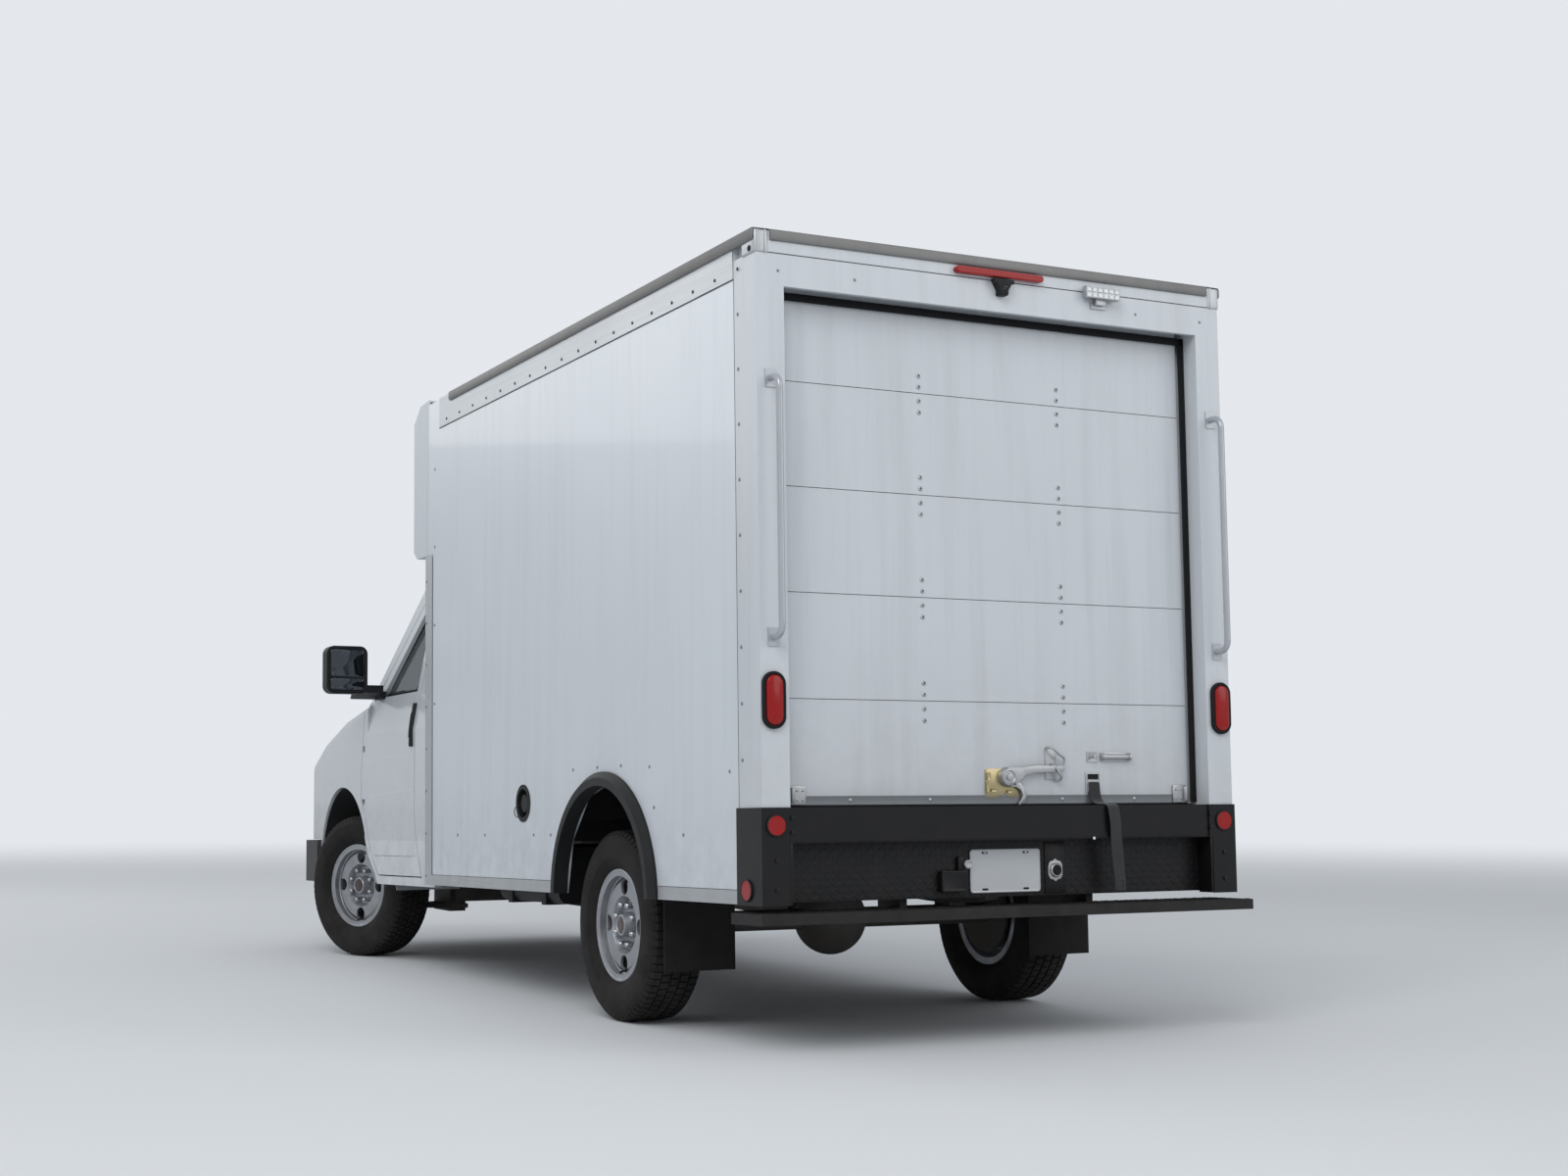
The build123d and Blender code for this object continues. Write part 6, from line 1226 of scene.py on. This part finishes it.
def door_trim():
    seat = on_side("door_left", [(2.397, 1.165), (2.397, 1.21), (2.398, 1.27), (2.4, 1.33), (2.404, 1.378)])
    bezel = swept("handle_bezel", seat, 0.0165, sides=4)
    grip = swept("handle_grip", [place + Vector((0, 0.01, 0)) for place in seat[1:-1]], 0.0095, sides=4)
    both_doors(joined("door_handle", [bezel, grip]), plastic)
    low = on_side("door_left", [(2.312 + 0.0715 * step, 0.629) for step in range(11)], -0.0035)
    both_doors(swept("door_moulding", low, 0.0085, sides=3), cab_white)
    upper = on_side("door_left", [(2.375 + 0.0785 * step, 1.1255 - 0.0011 * step) for step in range(11)], -0.0062)
    lower = on_side("door_left", [(2.375 + 0.0725 * step, 0.952 - 0.0024 * step) for step in range(11)], -0.0064)
    both_doors(joined("door_creases", [swept("upper", upper, 0.008, sides=3), swept("lower", lower, 0.008, sides=3)]),
               cab_white)
    corners = [(2.419, 1.4395), (2.99, 1.4395), (2.4745, 1.8945), (2.419, 1.8945)]
    edge = []
    for near, far in zip(corners, corners[1:] + corners[:1]):
        for step in range(8):
            edge.append((near[0] + (far[0] - near[0]) * step / 8, near[1] + (far[1] - near[1]) * step / 8))
    loop = [Vector((x, pane_face(z), z)) for x, z in edge + edge[:1]]
    both_doors(swept("window_seal", loop, 0.006, smooth_run=False, sides=3), rubber)
    run = [Vector((x, pane_face(1.452) + 0.001, 1.452)) for x in (2.424, 2.6, 2.8, 2.962)]
    both_doors(swept("window_wiper_strip", run, 0.0055, smooth_run=False, sides=3), rubber)


def mirror_faces():
    x = 2.905
    for name, z0, z1 in (("mirror_glass", 1.542, 1.682), ("mirror_wide_glass", 1.474, 1.533)):
        pane = rounded(name, OUT_REAR, (x, 1.1825, (z0 + z1) / 2), 0.176, z1 - z0, 0.003, 0.016, 4)
        pressed(pane, (0.0022, 0.0008))
        both_doors(soften(pane, 0.0005), mirror_silver)
    rim = rounded("mirror_rim", OUT_REAR, (x, 1.1825, 1.578), 0.2, 0.23, 0.007, 0.03, 6)
    pressed(rim, (0.006, 0), (0.002, -0.0062))
    both_doors(soften(rim, 0.0015), plastic)


def on_glass(y, z):
    """A point just off the windshield."""
    place = touch("windshield", (6.0, y, z), (-1, 0, 0))
    return place + Vector((0.0035, 0, 0)) if place else None


def cab_glass_trim():
    """Seal round the windshield, and its two wipers."""
    rows = [on_glass(0.8 - 0.1 * step, 1.957) for step in range(17)]
    right = [on_glass(-0.805 - 0.0105 * step, 1.94 - 0.0545 * step) for step in range(1, 9)]
    foot = [on_glass(-0.84 + 0.12 * step, 1.432) for step in range(15)]
    left = [on_glass(0.889 - 0.0105 * step, 1.504 + 0.0545 * step) for step in range(8)]
    loop = [place for place in rows + right + foot + left if place]
    fit(swept("windshield_seal", loop + loop[:1], 0.0065, smooth_run=False, sides=3), rubber)
    blades = []
    for heel, tip in (((0.6, 1.44), (0.06, 1.52)), ((-0.06, 1.44), (-0.58, 1.52))):
        points = [on_glass(heel[0] + (tip[0] - heel[0]) * step / 6, heel[1] + (tip[1] - heel[1]) * step / 6)
                  for step in range(7)]
        points = [place + Vector((0.01, 0, 0.004)) for place in points if place]
        if len(points) < 3:
            continue
        blades.append(swept("blade", points, 0.0048, sides=2))
        middle = points[len(points) // 2]
        blades.append(swept("arm", [points[0] + Vector((0.012, 0.1, -0.012)), points[0] + Vector((0.02, 0.02, 0.01)),
                                    middle + Vector((0.01, 0, 0.004))], 0.006, sides=3))
    if blades:
        fit(joined("wipers", blades), plastic)


def filler_neck():
    """Filler cap on its neck, a pull tab across it, and the tether that leaves the cup."""
    cap = turned("filler_cap", [(0.0, 0.0), (0.0, 0.043), (0.012, 0.043), (0.015, 0.04), (0.0155, 0.0)],
                 (0.862, 0.987, 0.864), (0, 1, 0), 40)
    fit(cap, cap_red)
    grip = slab("filler_grip", (0.826, 1.002, 0.857), (0.898, 1.013, 0.871))
    fit(soften(grip, 0.003, 3), cap_red)
    rim = turned("filler_rim", [(-0.001, 0.07), (-0.001, 0.08), (0.003, 0.0795), (0.0042, 0.0765), (0.003, 0.07)],
                 (0.862, 1.0185, 0.864), (0, 1, 0), 56)
    resized(rim, lambda at, up: True, (0.985, 1, 1), (0.862, 1.0185, 0.864), "FACE")
    fit(rim, rubber)
    tether = [(0.905, 1.017, 0.851), (0.94, 1.0195, 0.852), (0.966, 1.02, 0.841), (0.968, 1.02, 0.822),
              (0.95, 1.02, 0.808), (0.925, 1.0195, 0.803), (0.9, 1.017, 0.806)]
    fit(swept("filler_tether", tether, 0.0013, sides=2), rubber)


tread_plates()
number_plate()
bumper_fittings()
wheels()
door_trim()
mirror_faces()
cab_glass_trim()
filler_neck()


# Pull strap: webbing that hangs from its bracket, over the sill and down the beam
def pull_strap():
    run = [(-1.2575, -0.428, 0.908), (-1.259, -0.429, 0.872), (-1.264, -0.431, 0.845), (-1.28, -0.434, 0.83),
           (-1.308, -0.438, 0.8258), (-1.334, -0.442, 0.8252), (-1.347, -0.445, 0.817), (-1.352, -0.448, 0.786),
           (-1.35, -0.453, 0.735), (-1.3455, -0.459, 0.68), (-1.3425, -0.466, 0.62), (-1.3415, -0.472, 0.56),
           (-1.3425, -0.4765, 0.505)]
    band = chain("pull_strap_webbing", [(x, y - 0.025, z) for x, y, z in run])
    bpy.ops.mesh.select_all(action="SELECT")
    bpy.ops.mesh.extrude_region_move(TRANSFORM_OT_translate={"value": (0, 0.05, 0)})
    bpy.ops.mesh.select_all(action="SELECT")
    bpy.ops.mesh.remove_doubles(threshold=WELD)
    bpy.ops.mesh.normals_make_consistent(inside=False)
    bpy.ops.mesh.subdivide(number_cuts=2, smoothness=0.6)
    free()
    for z, y, push in ((0.74, -0.432, -0.0035), (0.64, -0.486, -0.003), (0.56, -0.45, -0.0028)):
        shift(band, lambda at, up: abs(at.z - z) < 0.014 and abs(at.y - y) < 0.012, (push, 0, 0),
              use_proportional_edit=True, proportional_size=0.05)
    free()
    apply(band, "SUBSURF", levels=2, render_levels=2)
    apply(band, "SOLIDIFY", thickness=0.0022, offset=0.0)
    stitches = []
    for y in (-0.49, -0.462):
        stitches.append(slab("stitch", (-1.3452, y - 0.0009, 0.512), (-1.3437, y + 0.0009, 0.545)))
    for z in (0.512, 0.545):
        stitches.append(slab("stitch", (-1.3452, -0.4905, z - 0.0009), (-1.3437, -0.4615, z + 0.0009)))
    fit(band, webbing, stands_for=("pull_strap",), angle=60)
    fit(joined("strap_stitching", [soften(piece, 0.0004, 1) for piece in stitches]), thread_grey, slot="strap_black")


# Cabin
def pad(name, low, high, cuts, crown, swell):
    """Upholstered pad: crowned on the side that is sat on, then swelled by a short cloth run."""
    piece = slab(name, low, high)
    choose(piece, lambda at, up: True)
    bpy.ops.mesh.subdivide(number_cuts=cuts)
    free()
    middle = [(a + b) / 2 for a, b in zip(low, high)]
    side = [(b - a) / 2 for a, b in zip(low, high)]
    axis = max(range(3), key=lambda which: abs(crown[which]))
    face = 1 if crown[axis] > 0 else -1
    choose(piece, lambda at, up: (at[axis] - middle[axis]) * face > side[axis] * 0.98
           and all(abs(at[other] - middle[other]) < side[other] * 0.62 for other in range(3) if other != axis), "VERT")
    bpy.ops.transform.translate(value=crown, use_proportional_edit=True, proportional_size=min(side) * 1.4)
    free()
    apply(piece, "REMESH", mode="VOXEL", voxel_size=0.01)
    take(piece)
    bpy.ops.object.modifier_add(type="CLOTH")
    cloth = piece.modifiers[-1]
    cloth.settings.use_pressure = True
    cloth.settings.uniform_pressure_force = 3.0
    cloth.settings.effector_weights.gravity = 0.0
    cloth.settings.tension_stiffness = 40
    cloth.settings.compression_stiffness = 40
    cloth.settings.quality = 4
    bpy.context.scene.frame_start = 1
    bpy.context.scene.frame_end = 12
    before = [point.co.copy() for point in piece.data.vertices]
    for step in range(1, 9):
        bpy.context.scene.frame_set(step)
    bpy.ops.object.modifier_apply(modifier=cloth.name)
    for point, was in zip(piece.data.vertices, before):
        moved = point.co - was
        if moved.length > swell:
            point.co = was + moved.normalized() * swell
    bpy.context.scene.frame_set(1)
    apply(piece, "SUBSURF", levels=1, render_levels=1)
    return piece


def piping(name, corners, radius=0.0035):
    """Sewn cord round a pad, its corners rounded."""
    loop = []
    for near, middle, far in zip(corners[-1:] + corners[:-1], corners, corners[1:] + corners[:1]):
        near, middle, far = Vector(near), Vector(middle), Vector(far)
        loop += [middle + (near - middle).normalized() * 0.03, middle + (near - middle).normalized() * 0.01,
                 middle + (far - middle).normalized() * 0.01, middle + (far - middle).normalized() * 0.03]
    return swept(name, loop + loop[:1], radius, smooth_run=False, sides=2)


def lean_back(piece):
    """The backrest's slope, about its foot."""
    take(piece)
    piece.matrix_world = (Matrix.Translation((2.515, 0, 0.93)) @ Matrix.Rotation(radians(-6.2), 4, "Y")
                          @ Matrix.Translation((-2.515, 0, -0.93)) @ piece.matrix_world)
    return set_down(piece)


def seats():
    """Pads, piping, frames and belts of both seats."""
    for side, word in SIDES:
        middle = side * SEAT_OUT
        y0, y1 = middle - 0.228, middle + 0.228
        cushion = pad("seat_cushion_" + word, (2.56, y0 + 0.004, 0.85), (3.0, y1 - 0.004, 0.975), 5,
                      (0, 0, 0.014), 0.01)
        back = pad("seat_back_" + word, (2.458, y0 + 0.006, 0.925), (2.568, y1 - 0.006, 1.55), 5, (0.012, 0, 0), 0.01)
        lean_back(back)
        head = pad("seat_head_" + word, (2.462, middle - 0.115, 1.6), (2.545, middle + 0.115, 1.755), 4,
                   (0.008, 0, 0), 0.008)
        lean_back(head)
        for piece, fill in ((cushion, 0.8), (back, 0.75), (head, 0.85)):
            fit(piece, seat_cloth, stands_for=("seats",), angle=70)
        level = [(2.57, y0 + 0.01, 0.972), (2.99, y0 + 0.01, 0.972), (2.99, y1 - 0.01, 0.972), (2.57, y1 - 0.01, 0.972)]
        upright = [(2.571, y0 + 0.012, 0.99), (2.571, y0 + 0.012, 1.545), (2.571, y1 - 0.012, 1.545),
                   (2.571, y1 - 0.012, 0.99)]
        welts = [piping("welt", level), lean_back(piping("welt", upright))]
        for z in (1.12, 1.26, 1.4):
            run = [(2.578, middle + y, z) for y in (-0.16, -0.08, 0, 0.08, 0.16)]
            welts.append(lean_back(swept("channel", run, 0.0022, sides=2)))
        fit(joined("seat_piping_" + word, welts), thread_grey)
        posts = [lean_back(bar("post", (2.503, middle + y, 1.52), (2.503, middle + y, 1.64), 0.006, 16))
                 for y in (-0.06, 0.06)]
        base = slab("base", (2.6, y0 + 0.03, 0.6525), (2.96, y1 - 0.03, 0.85))
        resized(base, lambda at, up: up.z > 0.9, (1.1, 1.06, 1), (2.78, middle, 0.85), "FACE")
        hinge = slab("hinge", (2.5, y0 + 0.002, 0.86), (2.6, y0 + 0.012, 0.99))
        fit(joined("seat_frame_" + word, posts + [soften(base, 0.012, 3), soften(hinge, 0.004)]), cabin_grey)
        belt = swept("belt", [(2.43, side * 0.745, 1.56), (2.5, side * 0.725, 1.35), (2.56, side * 0.712, 1.1),
                              (2.57, side * 0.708, 0.9), (2.56, side * 0.706, 0.76)], 0.0012, flat=0.044)
        fit(belt, webbing)


def cabin():
    """Dash fittings, and the wheel's rim, spokes and horn pad."""
    run = Vector((-cos(radians(32)), 0, sin(radians(32))))
    hub = Vector((3.04, SEAT_OUT, 1.12)) + run * 0.24
    grip = turned("wheel_grip", [(0.0155 * sin(step * pi / 6),
                                  0.19 + 0.0155 * cos(step * pi / 6)) for step in range(12)],
                  hub, run, 64)
    horn = turned("horn_pad", [(-0.01, 0.0), (-0.01, 0.07), (0.01, 0.07), (0.02, 0.062), (0.025, 0.04), (0.027, 0.0)],
                  hub, run, 40)
    turn = run.to_track_quat("Z", "Y").to_matrix().to_4x4()
    spokes = []
    for angle in (0, 90, 180):
        spoke = slab("spoke", (0.055, -0.02, -0.006), (0.182, 0.02, 0.006))
        resized(spoke, lambda at, up: at.x > 0.1, (1, 0.6, 0.8), (0.182, 0, 0))
        free()
        spoke.matrix_world = Matrix.Translation(hub) @ turn @ Matrix.Rotation(radians(angle), 4, "Z")
        spokes.append(soften(set_down(spoke), 0.004))
    fit(joined("wheel_rim_and_pad", [grip, horn] + spokes), plastic)
    hood = slab("cluster_hood", (2.972, 0.3, 1.255), (3.11, 0.64, 1.392))
    choose(hood, lambda at, up: up.x < -0.9)
    bpy.ops.mesh.inset(thickness=0.014)
    bpy.ops.mesh.extrude_region_move(TRANSFORM_OT_translate={"value": (0.036, 0, 0)})
    fit(soften(hood, 0.01, 3), cabin_grey)
    dials = []
    for y, z, size in ((0.545, 1.325, 0.046), (0.43, 1.325, 0.046), (0.36, 1.3, 0.024), (0.36, 1.352, 0.024)):
        dials.append(turned("dial", [(0.0, size - 0.004), (0.0, size), (0.006, size), (0.006, size - 0.003)],
                            (3.0075, y, z), (-1, 0, 0), 32))
        needle = slab("needle", (3.002, y - 0.0012, z), (3.004, y + 0.0012, z + size * 0.8))
        dials.append(needle)
    fit(joined("dials", dials), lamp_white)
    stack = slab("centre_stack", (2.972, -0.15, 1.085), (2.992, 0.15, 1.262))
    pressed(stack, (0.008, -0.003))
    screen = slab("radio", (2.966, -0.092, 1.17), (2.978, 0.092, 1.24))
    knobs = [soften(bar("knob", (2.976, y, z), (2.956, y, z), 0.0125, 24), 0.002)
             for y, z in ((-0.118, 1.205), (0.118, 1.205), (-0.08, 1.12), (0.0, 1.12), (0.08, 1.12))]
    fit(joined("centre_stack", [soften(stack, 0.003), soften(screen, 0.002)] + knobs), plastic)
    vents = []
    for y in (-0.64, -0.24, 0.22, 0.7):
        surround = slab("vent", (2.98, y - 0.055, 1.195), (2.992, y + 0.055, 1.255))
        pressed(surround, (0.006, 0), (0.001, -0.008))
        vents.append(soften(surround, 0.0015))
        for step in range(5):
            vents.append(slab("vane", (2.983, y - 0.048, 1.2045 + 0.01 * step), (2.99, y + 0.048, 1.206 + 0.01 * step)))
    fit(joined("dash_vents", vents), plastic)
    box = slab("glove_box", (2.984, -0.7, 1.02), (2.992, -0.3, 1.165))
    shift(box, lambda at, up: at.z < 1.1, (0.085, 0, 0))
    fit(soften(box, 0.004), cabin_grey)


# Cab front
def front_details():
    """Lamp bowls, turn signals, grille mesh, bumper strip and washer nozzles."""
    bowls, bulbs, ambers = [], [], []
    for side in (1, -1):
        for y, z, size in ((0.79, 0.985, 0.052), (0.67, 0.985, 0.044)):
            outline = [(0.0, 0.01), (0.012, size * 0.55), (0.03, size), (0.0315, size), (0.013, size * 0.52),
                       (-0.001, 0.01)]
            bowls.append(turned("bowl", outline, (4.316, side * y, z), (1, 0, 0), 36))
            bulbs.append(dome("bulb", (4.332, side * y, z), (0.01, 0.008, 0.008), 8, 16))
        amber = side_slab("amber", side, (4.316, 4.33), (0.615, 0.845), (0.876, 0.912))
        ambers.append(soften(amber, 0.003))
    fit(joined("lamp_bowls", bowls), cap_chrome, slot="lamp_clear")
    fit(joined("lamp_bulbs", bulbs), led_white)
    fit(joined("turn_signals", ambers), amber_lens)
    mesh_bars = []
    for step in range(22):
        y = -0.515 + 0.049 * step
        mesh_bars.append(slab("upright", (4.3385, y - 0.0018, 0.772), (4.345, y + 0.0018, 0.97)))
    for step in range(8):
        z = 0.784 + 0.0255 * step
        mesh_bars.append(slab("level", (4.339, -0.53, z - 0.0016), (4.3445, 0.53, z + 0.0016)))
    fit(joined("grille_mesh", mesh_bars), plastic)
    pad_strip = [(4.46 if abs(y) < 0.35 else 4.46 - (abs(y) - 0.35) * 0.135, y, 0.618)
                 for y in [-0.96 + 0.08 * step for step in range(25)]]
    pad_strip = [(touch("front_bumper", (6.0, y, z), (-1, 0, 0)) or Vector((x, y, z))) for x, y, z in pad_strip]
    strip = swept("bumper_strip", [Vector(at) + Vector((-0.0095, 0, 0)) for at in pad_strip[1:-1]], 0.01, sides=3)
    fit(strip, rubber)
    nozzles = []
    for y in (0.28, -0.28):
        seat = touch("hood", (3.56, y, 3.0), (0, 0, -1))
        if seat:
            nozzles.append(soften(slab("nozzle", (seat.x - 0.012, y - 0.011, seat.z - 0.002),
                                       (seat.x + 0.012, y + 0.011, seat.z + 0.01)), 0.004, 3))
    fit(joined("washer_nozzles", nozzles), plastic)


# Underbody
def underbody():
    """Rivets along the frame rails, and two brake lines."""
    heads = []
    for side, out in ((1, OUT_LEFT), (-1, OUT_RIGHT)):
        for x in [-1.05 + 0.34 * step for step in range(15)]:
            for z in (0.49, 0.64):
                hit = touch("frame", (x, side * 0.7, z), (0, -side, 0))
                if hit:
                    heads.append(Matrix.Translation(hit) @ out)
    fit(spread("frame_rivets", rivet(0.011, 0.006), heads), chassis_black)
    pipe = [(-0.6, 0.395, 0.706), (0.2, 0.395, 0.706), (1.2, 0.395, 0.706), (2.2, 0.395, 0.706)]
    lines = [swept("line", pipe, 0.004, sides=2),
             swept("line", [(x, y - 0.014, z) for x, y, z in pipe], 0.003, sides=2)]
    fit(joined("brake_lines", lines), cast_grey)


pull_strap()
seats()
cabin()
front_details()
underbody()


# Camera, where the photographer stood
def set_camera():
    lens = bpy.data.cameras.new("camera")
    lens.sensor_width = 36
    lens.lens = 49.014
    lens.shift_x = 0.0278
    lens.shift_y = 0.027
    lens.clip_end = 200
    camera = bpy.data.objects.new("camera", lens)
    bpy.context.scene.collection.objects.link(camera)
    camera.location = (-9.2816, 4.4077, 0.9573)
    yaw, pitch = -0.4754, 0.0685
    aim = Vector((cos(yaw) * cos(pitch), sin(yaw) * cos(pitch), sin(pitch)))
    camera.rotation_euler = aim.to_track_quat("-Z", "Y").to_euler()
    bpy.context.scene.camera = camera


def soft_lamp(name, place, aim, size, power):
    light = bpy.data.lights.new(name, "AREA")
    light.shape = "RECTANGLE"
    light.size, light.size_y = size
    light.energy = power
    lamp = bpy.data.objects.new(name, light)
    bpy.context.scene.collection.objects.link(lamp)
    lamp.location = place
    lamp.rotation_euler = (Vector(aim) - Vector(place)).to_track_quat("-Z", "Y").to_euler()


BACKDROP = (0.78, 0.81, 0.85, 1.0)


def studio():
    world = bpy.data.worlds.new("studio")
    bpy.context.scene.world = world
    world.use_nodes = True
    tree = world.node_tree
    back = tree.nodes["Background"]
    back.inputs["Color"].default_value = BACKDROP
    path = wire(tree, "ShaderNodeLightPath")
    seen = maths(tree, "MAXIMUM", path.outputs["Is Camera Ray"], path.outputs["Is Transmission Ray"])
    tree.links.new(ranged(tree, seen, low=0.62), back.inputs["Strength"])
    free()
    bpy.ops.mesh.primitive_plane_add(size=120, location=(0, 0, -0.001))
    floor = bpy.context.object
    floor.name = "studio_floor"
    set_down(floor)
    pale, tree, shader = new_finish("studio_floor")
    place = own_place(tree)
    tone = noise(tree, place, 0.4, 3.0)["Fac"]
    now = blend_colour(tree, tone, (0.7, 0.72, 0.74, 1.0), (0.74, 0.76, 0.78, 1.0))
    plug(tree, shader, {"Base Color": now, "Roughness": 0.85})
    away = vectors(tree, "LENGTH", place)["Value"]
    fade = wire(tree, "ShaderNodeMapRange", {"Value": away, "From Min": 6.0, "From Max": 26.0},
                interpolation_type="SMOOTHERSTEP")
    ray = wire(tree, "ShaderNodeLightPath")
    seen = maths(tree, "MULTIPLY", fade.outputs["Result"], ray.outputs["Is Camera Ray"])
    glow = wire(tree, "ShaderNodeEmission", {"Color": BACKDROP, "Strength": 1.0})
    blend = wire(tree, "ShaderNodeMixShader", {"Fac": seen, 1: shader.outputs[0], 2: glow.outputs[0]})
    tree.links.new(blend.outputs[0], tree.nodes["Material Output"].inputs["Surface"])
    floor.data.materials.append(pale)
    soft_lamp("key_light", (-9.0, 7.0, 9.5), (0, 0, 1.3), (7.0, 7.0), 620)
    soft_lamp("fill_light", (-10.0, -6.0, 6.0), (0, 0, 1.2), (7.0, 7.0), 220)
    soft_lamp("front_light", (9.0, 6.0, 7.0), (0, 0, 1.2), (8.0, 6.0), 260)


set_camera()
studio()
bpy.context.scene.view_settings.view_transform = "Standard"
